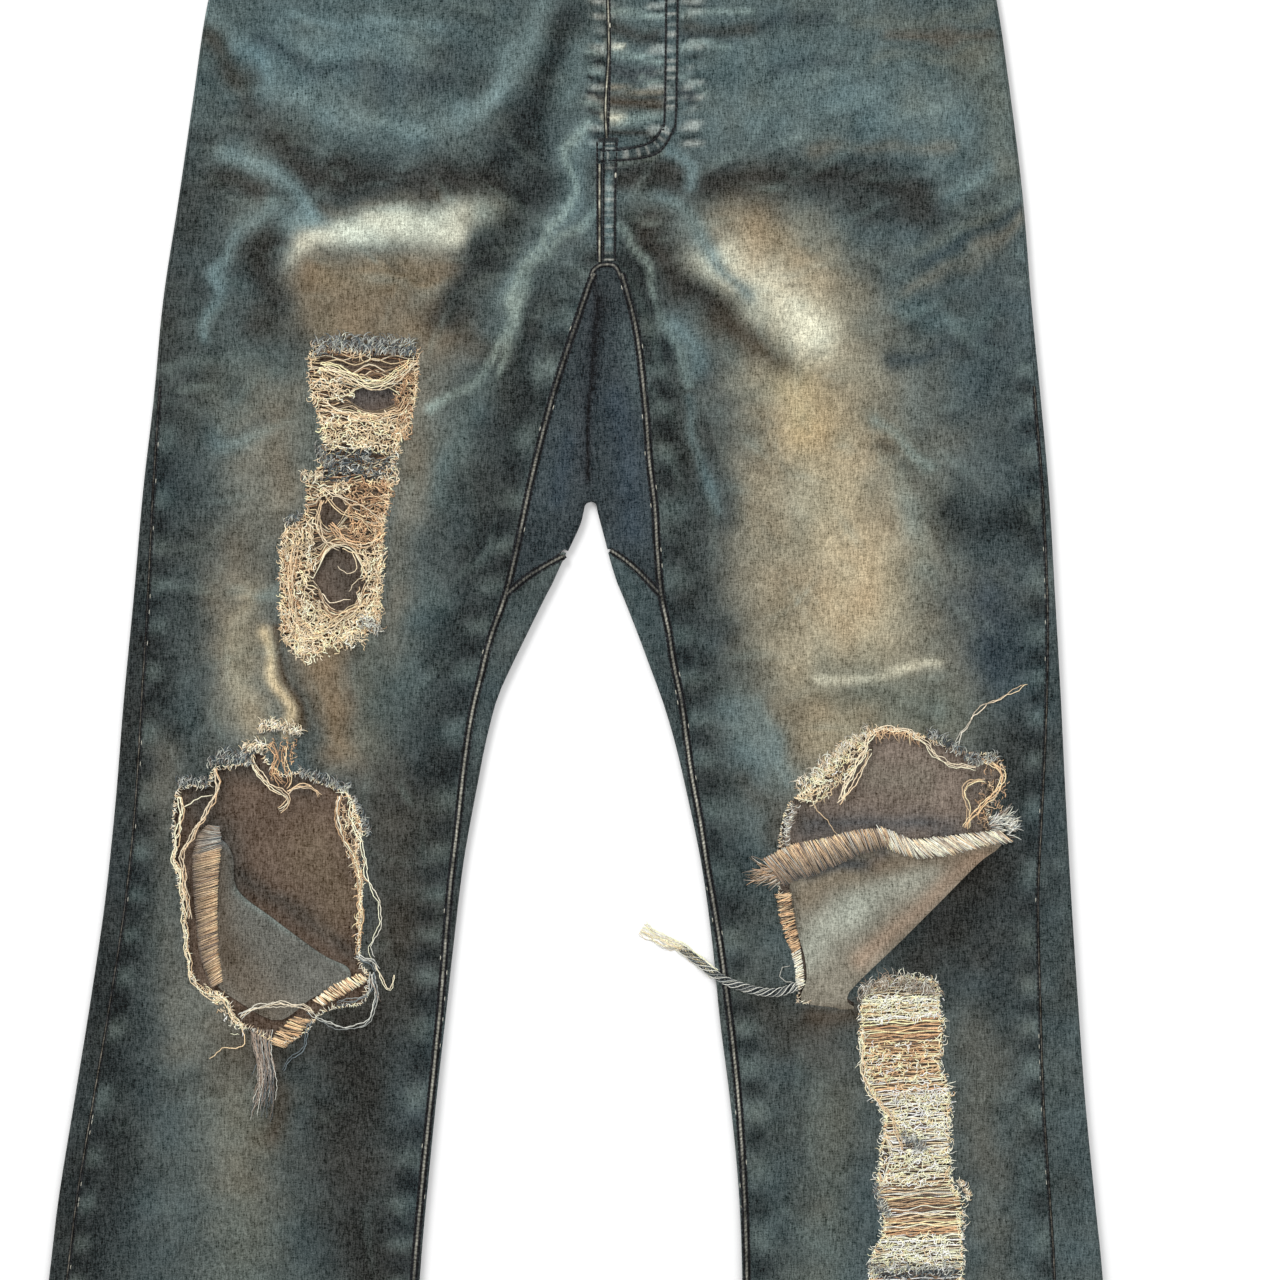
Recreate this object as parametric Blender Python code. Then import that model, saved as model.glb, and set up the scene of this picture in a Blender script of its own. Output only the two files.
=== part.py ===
"""Ripped jeans with a diamond crotch gusset, laid out flat on their back.

Sizes of the garment are in millimetres. x runs across from the centre front, negative on the
wearer's right leg; down runs from the waist's top edge to the hem; height is over the surface that
the garment lies on. Each pattern piece is cut flat, given its wall, and then folded round the leg.
"""
import math

import bmesh
import bpy
from mathutils import Vector
from mathutils.geometry import delaunay_2d_cdt

MM = 0.001
CLOTH = 1.2
SEAM_GAP = 0.3
SIDE_FOLD = 2.8
LYING = 4.4
LENGTH = 1079.0
WAISTBAND = 40.0
HEM = 14.0
HEM_RISE = 0.8
CROTCH = (-7.5, 409.0)
GUSSET_TIP = 270.0
FLY_END = 200.0
FLY_WIDTH = 40.0
FLY_RISE = 1.6

RIGHT = -1
LEFT = 1

# Outer edge of the leg as it lies: down, edge, distance of the outseam from that edge
OUTER_EDGE = {
    RIGHT: (
        (0, -217, 2), (40, -225.5, 2), (105, -243, 2), (167, -252.5, 2), (229, -261.5, 2),
        (291, -271, 2), (353, -277, 3.2), (409, -283.5, 6), (477, -289.5, 8.6), (539, -295.5, 10.8),
        (601, -300.5, 12), (663, -307, 12.4), (725, -316, 12), (787, -326, 11.5), (849, -336, 11),
        (899, -342, 10.8), (989, -353.5, 10.6), (1079, -364.5, 10.5)),
    LEFT: (
        (0, 219, 2), (40, 232.5, 2), (105, 246, 2), (167, 255, 2), (229, 262.5, 2),
        (291, 267.5, 2), (353, 273.5, 3.3), (409, 278.5, 3.7), (477, 282.5, 4.7), (539, 286, 8.5),
        (601, 289, 14), (663, 292.5, 20.3), (725, 296.5, 23), (787, 301, 25.5), (849, 307, 27.5),
        (899, 312, 29.5), (989, 317, 32), (1079, 322, 34)),
}

# Inner edge of the leg below the crotch: down, edge
INNER_EDGE = {
    RIGHT: (
        (409, -7.5), (418, -9.3), (430, -12), (442, -17.4), (449, -21.4), (465, -28.5), (477, -34.7),
        (502, -47), (527, -59), (539, -64), (564, -70.5), (589, -75.5), (639, -84.5), (688, -90.5),
        (738, -96), (787, -101.5), (837, -106.5), (887, -111), (989, -118), (1079, -123.5)),
    LEFT: (
        (409, -7.5), (414, -4.9), (422, -1.9), (435, 1.7), (449, 5.3), (465, 10), (477, 15),
        (502, 24.8), (527, 34), (539, 38.5), (564, 46), (589, 52), (639, 62.5), (688, 69.4),
        (738, 74.4), (787, 80.6), (837, 85.6), (887, 88), (989, 89.5), (1079, 90)),
}

# Seam from the gusset's tip down its side, past its corner and on as the inseam: down, x
INSEAM = {
    RIGHT: (
        (270, 0), (278, -5), (308, -15.5), (343, -27), (372, -35), (401, -42.2), (433, -49),
        (454, -53.5), (474, -58.5), (502, -68.2), (525, -74), (549, -79.6), (580, -84.2), (620, -88.6),
        (657, -93), (724, -98.5), (782, -104.3), (841, -110.4), (899, -115.5), (989, -121.6),
        (1079, -127.4)),
    LEFT: (
        (270, 11.2), (278, 14.3), (308, 22.1), (343, 26.7), (368, 29), (393, 30.8), (419, 33.9),
        (447, 35.6), (474, 38), (498, 42.8), (515, 45.3), (539, 50.2), (582, 56.2), (615, 62.2),
        (642, 66.3), (680, 72.8), (719, 78.2), (780, 85.2), (849, 89.6), (899, 91), (989, 92.3),
        (1079, 93)),
}
GUSSET_CORNER_DOWN = 474

# The gusset's fold along the split between the legs, from one lower end to the other: x, down
GUSSET_SPLIT = {
    RIGHT: ((-19.8, 447), (-17.4, 442), (-12, 430), (-9.6, 419.5)),
    LEFT: ((4.6, 446), (3.2, 440.5), (1.7, 435), (-1.7, 422)),
}

# Opening edge of the front, down the overlap and then the rise seam: down, x
FLY_EDGE = ((40, 3.6), (105, 4), (138, 4.5), (170, 2.5), (189, 3), (216, 5), (270, 5.6))

# Largest folds of the upper face: half width, rise, then places along the crest
FOLDS = {
    "right_thigh_ridge": (9, 4.2, (-184, 257), (-154, 248), (-117, 244), (-79, 249)),
    "right_hip_hollow": (15, -1.1, (-170, 211), (-110, 204), (-57, 204)),
    "right_fly_crease": (7, 1.6, (-29, 122), (-57, 166), (-78, 176)),
    "right_pocket_crease": (6, 1.4, (-238, 115), (-213, 152)),
    "right_side_crease": (7, 2.2, (-209, 248), (-229, 277), (-240, 303)),
    "right_crotch_fold": (7, 2.8, (-12, 231), (-43, 267), (-69, 306), (-82, 336), (-113, 365)),
    "right_gusset_fold": (5, 1.6, (-10, 262), (-38, 281), (-59, 312), (-63, 345)),
    "right_knee_pleat": (9, 3.4, (-199, 508), (-194, 535), (-187, 562)),
    "right_shin_roll": (34, 1.6, (-215, 790), (-232, 860), (-240, 980)),
    "left_thigh_ridge": (8, 3.8, (15, 224), (46, 244), (76, 277), (110, 304), (138, 327)),
    "left_thigh_hollow": (7, -1.1, (36, 258), (75, 289), (110, 318), (131, 336)),
    "left_gusset_fold": (5, 1.9, (15, 256), (30, 274), (39, 304), (48, 336), (60, 400), (67, 425)),
    "left_whisker_high": (7, 2.2, (249, 234), (215, 255), (179, 274)),
    "left_whisker_low": (6, 1.6, (240, 262), (184, 293)),
    "left_thigh_crease": (7, 1.6, (171, 363), (187, 375), (203, 392)),
    "left_knee_crease": (6, 1.5, (142, 529), (175, 521), (207, 518)),
    "left_flap_crease": (8, 2.6, (233, 630), (196, 668), (151, 716)),
    "left_shin_roll": (30, 1.4, (140, 760), (146, 850), (150, 980)),
}

# Edges of the rips, going round each: x, down
THIGH_RIP = (
    (-177, 320), (-146, 323), (-115, 320), (-116, 361), (-123, 375), (-127, 390), (-128, 404),
    (-134, 431), (-135, 456), (-137, 472), (-138, 495), (-154, 499), (-164, 504), (-182, 511),
    (-191, 507), (-197, 495), (-198, 476), (-198, 459), (-196, 436), (-183, 424), (-181, 402),
    (-172, 392), (-173, 369), (-179, 348))
RIGHT_KNEE_HOLE = (
    (-262, 596), (-243, 592), (-239, 582), (-221, 579), (-212, 571), (-205, 579), (-196, 586),
    (-185, 584), (-173, 591), (-157, 597), (-148, 619), (-151, 634), (-148, 649), (-148, 666),
    (-149, 700), (-144, 711), (-147, 727), (-171, 732), (-183, 745), (-198, 752), (-216, 744),
    (-227, 738), (-232, 724), (-246, 720), (-254, 709), (-258, 680), (-260, 659), (-264, 632))
LEFT_KNEE_TOP = (
    (122, 726), (124, 713), (121, 699), (117, 686), (112, 671), (111, 655), (110, 640), (112, 622),
    (116, 606), (124, 598), (134, 590), (142, 579), (154, 566), (174, 557), (195, 560), (221, 571),
    (245, 574), (250, 585), (246, 598), (241, 609), (251, 622))
LEFT_KNEE_FOLD = ((244, 631), (233, 637), (211, 659), (186, 684), (152, 719), (161, 729), (143, 730))
LEFT_ROLL_TOP = ((113, 628), (125, 627), (151, 624), (166, 620), (186, 622), (221, 621), (247, 624))
SHIN_RIP = (
    (164, 723), (178, 713), (192, 711), (208, 715), (210, 728), (212, 744), (211, 758), (210, 768),
    (215, 776), (217, 789), (216, 804), (217, 836), (223, 847), (224, 865), (224, 880), (224, 897),
    (216, 906), (194, 909), (170, 904), (169, 885), (175, 872), (176, 860), (173, 848), (172, 838),
    (174, 823), (176, 808), (176, 794), (166, 778), (163, 758), (162, 740))
RIGHT_FLAP = (
    (-245, 626), (-249, 648), (-246, 680), (-240, 712), (-222, 728), (-199, 738), (-178, 724),
    (-158, 716), (-156, 706), (-173, 697), (-203, 675), (-225, 657), (-228, 636), (-235, 626))


def along(rows, key, place):
    """Read one column of a table at a place, on a smooth curve through its rows."""
    last = len(rows) - 1
    i = 0
    while i < last - 1 and place > rows[i + 1][0]:
        i += 1
    here, after = rows[i], rows[i + 1]
    before = rows[max(i - 1, 0)]
    beyond = rows[min(i + 2, last)]
    step = after[0] - here[0]
    t = min(max((place - here[0]) / step, 0.0), 1.0)
    slope_in = (after[key] - before[key]) / (after[0] - before[0]) * step
    slope_out = (beyond[key] - here[key]) / (beyond[0] - here[0]) * step
    rise = after[key] - here[key]
    return (here[key] + slope_in * t + (3 * rise - 2 * slope_in - slope_out) * t * t
            + (slope_in + slope_out - 2 * rise) * t ** 3)


def outer_edge(side, down):
    return along(OUTER_EDGE[side], 1, down)


def inner_edge(side, down):
    """Inner edge of a leg; above the crotch the two backs meet at the centre instead."""
    centre = -side * SIDE_FOLD
    if down >= CROTCH[1]:
        return along(INNER_EDGE[side], 1, down)
    blend = min(max((CROTCH[1] - down) / 30, 0.0), 1.0)
    return CROTCH[0] + (centre - CROTCH[0]) * blend


def outseam(side, down):
    return outer_edge(side, down) - side * along(OUTER_EDGE[side], 2, down)


def inseam(side, down):
    seam = along(INSEAM[side], 1, down)
    if down < 480:
        return seam
    limit = inner_edge(side, down) + side * 2.0
    return max(seam, limit) if side == LEFT else min(seam, limit)


MID_X = (outer_edge(RIGHT, LENGTH) + outer_edge(LEFT, LENGTH)) / 2
MID_DOWN = LENGTH / 2


def world(x, down, height):
    return Vector(((x - MID_X) * MM, (MID_DOWN - down) * MM, height * MM))


def distance_to_line(x, down, points):
    """Distance to a line of points, and how far along it the nearest place is, from 0 to 1."""
    nearest, place = 1e9, 0.0
    count = len(points) - 1
    for i in range(count):
        (ax, ad), (bx, bd) = points[i], points[i + 1]
        length = (bx - ax) ** 2 + (bd - ad) ** 2
        t = min(max(((x - ax) * (bx - ax) + (down - ad) * (bd - ad)) / length, 0.0), 1.0)
        gap = math.hypot(x - ax - t * (bx - ax), down - ad - t * (bd - ad))
        if gap < nearest:
            nearest, place = gap, (i + t) / count
    return nearest, place


def fold_rise(x, down):
    total = 0.0
    for half_width, rise, *crest in FOLDS.values():
        if min(abs(down - crest[0][1]), abs(down - crest[-1][1])) > 260:
            continue
        gap, place = distance_to_line(x, down, crest)
        fade = min(1.0, 0.35 + 3.5 * place * (1 - place))
        total += rise * fade * math.exp(-(gap / half_width) ** 2)
    return total


def edge_distance(x, down):
    """Distance from the nearest folded side of the garment."""
    if down < CROTCH[1]:
        nearest = min(x - outer_edge(RIGHT, down), outer_edge(LEFT, down) - x)
        return min(nearest, math.hypot(x - CROTCH[0], down - CROTCH[1]))
    between = (inner_edge(RIGHT, down) + inner_edge(LEFT, down)) / 2
    side = RIGHT if x < between else LEFT
    return min(side * (outer_edge(side, down) - x), side * (x - inner_edge(side, down)))


def fly_rise(x, down):
    """The overlapping left front stands higher over the fly's underlap and sinks back beside it."""
    across = x - along(FLY_EDGE, 1, min(down, 270))
    if across < 0 or down > FLY_END + 45:
        return 0.0
    beside = min(max(1 - (across - FLY_WIDTH - 3) / 25, 0.0), 1.0)
    below = min(max(1 - (down - FLY_END - 3) / 40, 0.0), 1.0)
    return FLY_RISE * min(beside, below)


def top_height(x, down):
    """Height of the garment's upper face."""
    edge = max(edge_distance(x, down), 0.0)
    near_side = math.exp(-(edge / 12) ** 2)
    near_waist = math.exp(-(max(down - WAISTBAND, 0) / 22) ** 2)
    height = LYING + (2 * SIDE_FOLD - LYING) * max(near_side, near_waist)
    height += fold_rise(x, down) * min(edge / 14, 1.0) * (1 - near_waist)
    height = max(height, 2 * CLOTH + 0.6)
    if down > LENGTH - HEM:
        height += HEM_RISE
    if edge < SIDE_FOLD:
        height -= SIDE_FOLD - math.sqrt(SIDE_FOLD ** 2 - (SIDE_FOLD - edge) ** 2)
    return height + fly_rise(x, down)


def cut_line(points, step, closed=False):
    """Points at most a step apart along a line."""
    result = []
    pairs = list(zip(points, points[1:] + points[:1] if closed else points[1:]))
    for (ax, ad), (bx, bd) in pairs:
        count = max(1, round(math.hypot(bx - ax, bd - ad) / step))
        result += [(ax + (bx - ax) * i / count, ad + (bd - ad) * i / count) for i in range(count)]
    return result if closed else result + [points[-1]]


def smooth_line(points, step, closed=False):
    """Points about a step apart along a smooth curve through the given places."""
    points = list(points)
    count = len(points)
    result = []
    for i in range(count if closed else count - 1):
        if closed:
            p0, p1, p2, p3 = (points[(i + k) % count] for k in (-1, 0, 1, 2))
        else:
            p0, p1, p2, p3 = (points[min(max(i + k, 0), count - 1)] for k in (-1, 0, 1, 2))
        parts = max(1, round(math.hypot(p2[0] - p1[0], p2[1] - p1[1]) / step))
        for k in range(parts):
            t = k / parts
            result.append(tuple(
                p1[a] + 0.5 * t * (p2[a] - p0[a] + t * (2 * p0[a] - 5 * p1[a] + 4 * p2[a] - p3[a]
                                                       + t * (3 * (p1[a] - p2[a]) + p3[a] - p0[a])))
                for a in (0, 1)))
    return result if closed else result + [points[-1]]


def area(loop):
    return sum(a[0] * b[1] - b[0] * a[1] for a, b in zip(loop, loop[1:] + loop[:1])) / 2


def moved_in(line, distance, closed=True):
    """A line moved sideways; a closed line going round with rising area moves inwards."""
    count = len(line)
    result = []
    for i in range(count):
        before = line[i - 1] if closed or i > 0 else line[0]
        after = line[(i + 1) % count] if closed or i < count - 1 else line[-1]
        dx, dd = after[0] - before[0], after[1] - before[1]
        size = math.hypot(dx, dd)
        result.append((line[i][0] - dd / size * distance, line[i][1] + dx / size * distance))
    return result


def inside(point, loop):
    x, d = point
    crossed = False
    for (ax, ad), (bx, bd) in zip(loop, loop[1:] + loop[:1]):
        if (ad > d) != (bd > d) and x < (bx - ax) * (d - ad) / (bd - ad) + ax:
            crossed = not crossed
    return crossed


def clear_of(point, loops, gap):
    for loop in loops:
        for (ax, ad), (bx, bd) in zip(loop, loop[1:] + loop[:1]):
            if min(ad, bd) - gap > point[1] or max(ad, bd) + gap < point[1]:
                continue
            if distance_to_line(point[0], point[1], ((ax, ad), (bx, bd)))[0] < gap:
                return False
    return True


def finish(name, bm, material, smooth=True):
    """Make the named object from a finished mesh."""
    bmesh.ops.recalc_face_normals(bm, faces=bm.faces[:])
    mesh = bpy.data.meshes.new(name)
    bm.to_mesh(mesh)
    bm.free()
    if smooth:
        mesh.shade_smooth()
        mesh.set_sharp_from_angle(angle=math.radians(50))
    mesh.materials.append(material)
    piece = bpy.data.objects.new(name, mesh)
    bpy.context.scene.collection.objects.link(piece)
    return piece


def give_wall(bm, place):
    """Extrude a flat cut piece, then fold both its faces to their places."""
    bmesh.ops.extrude_face_region(bm, geom=bm.faces[:])
    count = len(bm.verts) // 2
    for i, vert in enumerate(bm.verts):
        vert.co = place(vert.co.x, vert.co.y, 1.0 if i < count else 0.0)


def cut_piece(name, outline, holes, inner, place, material, scale=1.0):
    """Cut a pattern piece with its holes, triangulate it and fold it to its place."""
    loops = [outline] + holes
    points = [Vector((u, v * scale)) for loop in loops for u, v in loop]
    edges, start = [], 0
    for loop in loops:
        size = len(loop)
        edges += [(start + i, start + (i + 1) % size) for i in range(size)]
        start += size
    points += [Vector((u, v * scale)) for u, v in inner]
    spots, _, faces, *_ = delaunay_2d_cdt(points, edges, [], 0, 1e-4)
    bm = bmesh.new()
    verts = [bm.verts.new((p.x, p.y / scale, 0)) for p in spots]
    for face in faces:
        middle = (sum(spots[i].x for i in face) / 3, sum(spots[i].y for i in face) / 3 / scale)
        if inside(middle, outline) and not any(inside(middle, hole) for hole in holes):
            bm.faces.new([verts[i] for i in face])
    loose = [v for v in bm.verts if not v.link_faces]
    bmesh.ops.delete(bm, geom=loose, context="VERTS")
    give_wall(bm, place)
    return finish(name, bm, material)


def lattice(outline, holes, across, down, margin):
    """Places inside a piece: a staggered lattice, and rows along the crests of the folds."""
    loops = [outline] + holes
    low_u, high_u = min(p[0] for p in outline), max(p[0] for p in outline)
    low_d, high_d = min(p[1] for p in outline), max(p[1] for p in outline)
    wanted = []
    for half_width, rise, *crest in FOLDS.values():
        if half_width > 20:
            continue
        line = cut_line(crest, 15)
        for offset in (0.0, 1.15, -1.15, 2.2, -2.2):
            wanted += moved_in(line, offset * half_width, closed=False)
    rows = int((high_d - low_d) / down)
    columns = int((high_u - low_u) / across)
    for j in range(1, rows):
        for i in range(columns + 1):
            wanted.append((low_u + (i + 0.5 * (j % 2)) * across, low_d + j * (high_d - low_d) / rows))
    kept = []
    for point in wanted:
        if not (low_d < point[1] < high_d and inside(point, outline)):
            continue
        if any(inside(point, hole) for hole in holes) or not clear_of(point, loops, margin):
            continue
        if all(abs(point[1] - q[1]) > 7 or math.hypot(point[0] - q[0], point[1] - q[1]) > 7
               for q in kept):
            kept.append(point)
    return kept


def seam_downs(side, low, high):
    """Places down a seam that every piece along it shares."""
    places = [row[0] for row in INSEAM[side] if low < row[0] < high]
    extra = []
    for a, b in zip([low] + places, places + [high]):
        parts = max(1, round((b - a) / 24))
        extra += [a + (b - a) * i / parts for i in range(parts)]
    return extra + [high]


def outseam_downs():
    hem_line = LENGTH - HEM
    top = WAISTBAND + SEAM_GAP
    return [top + (hem_line - top) * i / 33 for i in range(34)] + [hem_line + 0.5, LENGTH]


def fabric(name, colour, roughness, metallic=0.0):
    material = bpy.data.materials.new(name)
    material.use_nodes = True
    shader = material.node_tree.nodes["Principled BSDF"]
    shader.inputs["Base Color"].default_value = (*colour, 1.0)
    shader.inputs["Roughness"].default_value = roughness
    shader.inputs["Metallic"].default_value = metallic
    material.diffuse_color = (*colour, 1.0)
    return material


def on_top(x, down, face):
    return world(x, down, top_height(x, down) - (1 - face) * CLOTH)


def seam_clearance(inset):
    """Half the seam's gap, and more where the back's edge leans in on the curve of a side fold."""
    return SEAM_GAP / 2 + 0.5 * max(SIDE_FOLD - inset, 0.0)


def front(side, holes, material):
    """Front of one leg with its half of the hip, inside its two seams and the centre."""
    half = SEAM_GAP / 2
    outer = []
    for d in outseam_downs():
        seam = outseam(side, d)
        inset = side * (outer_edge(side, d) - seam)
        outer.append((seam - side * seam_clearance(inset), d))
    inner_downs = seam_downs(side, GUSSET_TIP, LENGTH - HEM) + [LENGTH - HEM + 0.5, LENGTH]
    inner = []
    for d in inner_downs:
        seam = inseam(side, d)
        inset = side * (seam - inner_edge(side, d)) if d > GUSSET_CORNER_DOWN else SIDE_FOLD
        inner.append((seam + side * seam_clearance(inset), d))
    centre_downs = [WAISTBAND + SEAM_GAP + (GUSSET_TIP - 12 - WAISTBAND) * i / 12 for i in range(12)]
    centre = [(along(FLY_EDGE, 1, d) + side * half, d) for d in centre_downs]
    centre.append((along(FLY_EDGE, 1, GUSSET_TIP) + side * half, GUSSET_TIP - SEAM_GAP))
    waist_inner, waist_outer = centre[0], outer[0]
    waist = cut_line([waist_inner, waist_outer], 25)[1:-1]
    hem = cut_line([outer[-1], inner[-1]], 25)[1:-1]
    outline = centre[::-1] + waist + outer + hem + inner[::-1]
    inner_points = lattice(outline, holes, 23, 32, 7.5)
    for row in (LENGTH - HEM, LENGTH - HEM + 0.5):
        ends = sorted((outseam(side, row), inseam(side, row)))
        inner_points += cut_line([(ends[0], row), (ends[1], row)], 25)[1:-1]
    name = "front_right" if side == RIGHT else "front_left"
    return cut_piece(name, outline, holes, inner_points, on_top, material)


# The back is cut on its own flat coordinate: its resting width, a fold each side, then the strips
# that come round to the seams on top
REST_WIDTH = 100.0
FOLD_SPAN = 70.0


def back_fold_centres(side, down):
    return outer_edge(side, down) - side * SIDE_FOLD, inner_edge(side, down) + side * SIDE_FOLD


def back_place(side):
    """Function that folds the back piece of a side from flat to its place."""
    def place(u, down, face):
        outer_x, inner_x = back_fold_centres(side, down)
        radius = SIDE_FOLD - (1 - face) * CLOTH
        beyond = abs(u) - REST_WIDTH
        if beyond <= 0:
            t = (u / REST_WIDTH + 1) / 2
            return world(outer_x + (inner_x - outer_x) * t, down, (1 - face) * CLOTH)
        fold_x, sign = (outer_x, side) if u < 0 else (inner_x, -side)
        if beyond <= FOLD_SPAN:
            angle = math.pi * beyond / FOLD_SPAN
            x = fold_x + sign * radius * math.sin(angle)
            height = SIDE_FOLD - radius * math.cos(angle)
            if down > LENGTH - HEM:
                height += HEM_RISE * (1 - math.cos(angle)) / 2
            return world(x, down, height)
        x = fold_x - sign * (beyond - FOLD_SPAN)
        return on_top(x, down, face)
    return place


def back_flat(side, x, down, on_upper_face, outer_side):
    """Flat coordinate of a place on the back piece."""
    outer_x, inner_x = back_fold_centres(side, down)
    if not on_upper_face:
        t = (x - outer_x) / (inner_x - outer_x)
        return REST_WIDTH * (2 * t - 1)
    if outer_side:
        inset = side * (outer_x - x)
        return -REST_WIDTH - FOLD_SPAN - inset
    inset = side * (x - inner_x)
    return REST_WIDTH + FOLD_SPAN + inset


def seam_flat(side, x, down, outer_side):
    """Flat coordinate of a seam on the upper face, even where it lies on the fold's curve."""
    u = back_flat(side, x, down, True, outer_side)
    beyond = abs(u) - REST_WIDTH - FOLD_SPAN
    if beyond < 0:
        angle = math.pi - math.asin(min(-beyond / SIDE_FOLD, 1.0))
        return math.copysign(REST_WIDTH + FOLD_SPAN * angle / math.pi, u)
    return u


def back(side, material):
    """Back of one leg, from the outseam round under the leg to the inseam."""
    half = SEAM_GAP / 2
    place = back_place(side)
    outer = [(seam_flat(side, outseam(side, d) + side * half, d, True), d) for d in outseam_downs()]
    corner = GUSSET_CORNER_DOWN
    lower = [d for d in seam_downs(side, GUSSET_TIP, LENGTH - HEM) if d > corner + 6]
    lower = [corner + 0.6] + lower + [LENGTH - HEM + 0.5, LENGTH]
    upper = [d for d in seam_downs(side, GUSSET_TIP, LENGTH - HEM) if d < corner - 6]
    upper += [corner + 0.6]
    inseam_top = [(seam_flat(side, inseam(side, d) - side * half, d, False), d) for d in lower]
    inseam_under = [(back_flat(side, inseam(side, d) + side * 0.6, d, False, False), d)
                    for d in upper]
    corner_x = inseam(side, corner)
    split_x, split_down = GUSSET_SPLIT[side][0]
    lobe = []
    for t in (0.2, 0.45, 0.7, 0.9):
        x = corner_x + (split_x - corner_x) * t
        d = corner + (split_down - corner) * t + 0.9
        lobe.append((x, d))
    lobe_top = [(seam_flat(side, x, d, False), d) for x, d in lobe]
    lobe_under = [(back_flat(side, x, d, False, False), d) for x, d in lobe
                  if side * (x - inner_edge(side, d)) > SIDE_FOLD]
    lobe_fold = [(REST_WIDTH + FOLD_SPAN * k, split_down + 1.0) for k in (0.75, 0.5, 0.25)]
    lobe_top = [p for p in lobe_top if p[0] > REST_WIDTH + FOLD_SPAN]
    centre_downs = [WAISTBAND + SEAM_GAP + (GUSSET_TIP - WAISTBAND) * i / 9 for i in range(9)]
    centre = [(back_flat(side, side * half, d, False, False), d) for d in centre_downs]
    hem_outer, hem_inner = outer[-1][0], inseam_top[-1][0]
    hem = [(u, LENGTH) for u in back_columns() if hem_outer + 3 < u < hem_inner - 3]
    waist_outer = outer[0]
    waist = [(u, WAISTBAND + SEAM_GAP) for u in back_columns()
             if waist_outer[0] + 3 < u < centre[0][0] - 3]
    outline = (waist[::-1] + outer + hem + inseam_top[::-1] + lobe_top + lobe_fold
               + lobe_under[::-1] + inseam_under[::-1] + centre[::-1])
    if area(outline) < 0:
        outline.reverse()
    inner = []
    for row in outseam_downs()[1:-1]:
        for u in back_columns():
            point = (u, row)
            if inside(point, outline) and clear_of(point, [outline], 4.0):
                inner.append(point)
    name = "back_right" if side == RIGHT else "back_left"
    return cut_piece(name, outline, [], inner, place, material)


def back_columns():
    """Lines down the back piece: across its rest, through each fold, and on the strips."""
    quarter = FOLD_SPAN / 4
    fold = [REST_WIDTH + quarter * k for k in range(5)]
    strips = [REST_WIDTH + FOLD_SPAN + step for step in (8, 17, 26)]
    return sorted([-50, 0, 50] + fold + [-u for u in fold] + strips + [-u for u in strips])


def gusset(material):
    """One diamond piece, folded along the split between the legs."""
    seam = {}
    for side in (RIGHT, LEFT):
        downs = [d for d in seam_downs(side, GUSSET_TIP, GUSSET_CORNER_DOWN)]
        downs[0] += 1.2
        seam[side] = [(inseam(side, d) - side * SEAM_GAP / 2, d) for d in downs]
    edge = seam[RIGHT][::-1] + seam[LEFT]
    fold = []
    for side in (RIGHT, LEFT):
        line = smooth_line(GUSSET_SPLIT[side], 7)
        turned = moved_in(line, 0.01, closed=False)
        part = []
        for (x, d), (tx, td) in zip(line, turned):
            out = Vector((tx - x, td - d)).normalized()
            if out.x * -side < 0:
                out = -out
            part.append((Vector((x, d)), out))
        fold.append(part)
    low_right, low_left = fold
    first, last = low_right[-1], low_left[-1]
    tip = Vector(((first[0].x + last[0].x) / 2, (first[0].y + last[0].y) / 2))
    turn = []
    start = math.atan2(first[1].y, first[1].x)
    end = math.atan2(last[1].y, last[1].x)
    while end < start:
        end += 2 * math.pi
    radius = (last[0] - first[0]).length / 2
    for k in range(1, 6):
        angle = start + (end - start) * k / 6
        out = Vector((math.cos(angle), math.sin(angle)))
        turn.append((tip - out * radius, out))
    fold_line = low_right + turn + low_left[::-1]
    ratio = (len(fold_line) - 1) / (len(edge) - 1)

    def fold_at(t):
        place = t * ratio
        i = min(int(place), len(fold_line) - 2)
        part = place - i
        point = fold_line[i][0].lerp(fold_line[i + 1][0], part)
        return point, fold_line[i][1].lerp(fold_line[i + 1][1], part).normalized()

    flat_parts, round_parts = 6, 6
    total = 2 * flat_parts + round_parts

    def place(u, v, face):
        i = round((u + 0.5) * (len(edge) - 1))
        j = round((v + 0.5) * total)
        (ex, ed), (point, out) = edge[i], fold_at(i)
        centre = point - out * SIDE_FOLD
        thick = (1 - face) * CLOTH
        if flat_parts < j < flat_parts + round_parts:
            angle = math.pi * (j - flat_parts) / round_parts
            reach = (SIDE_FOLD - thick) * math.sin(angle)
            height = SIDE_FOLD + (SIDE_FOLD - thick) * math.cos(angle)
            return world(centre.x + out.x * reach, centre.y + out.y * reach, height)
        upper = j <= flat_parts
        t = j / flat_parts if upper else (total - j) / flat_parts
        x = ex + (centre.x - ex) * t
        down = ed + (centre.y - ed) * t
        if not upper:
            return world(x, down, thick)
        height = top_height(x, down)
        height += (2 * SIDE_FOLD - height) * t ** 4
        return world(x, down, height - thick)

    bm = bmesh.new()
    bmesh.ops.create_grid(bm, x_segments=len(edge) - 1, y_segments=total, size=0.5)
    give_wall(bm, place)
    return finish("gusset", bm, material)


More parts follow.
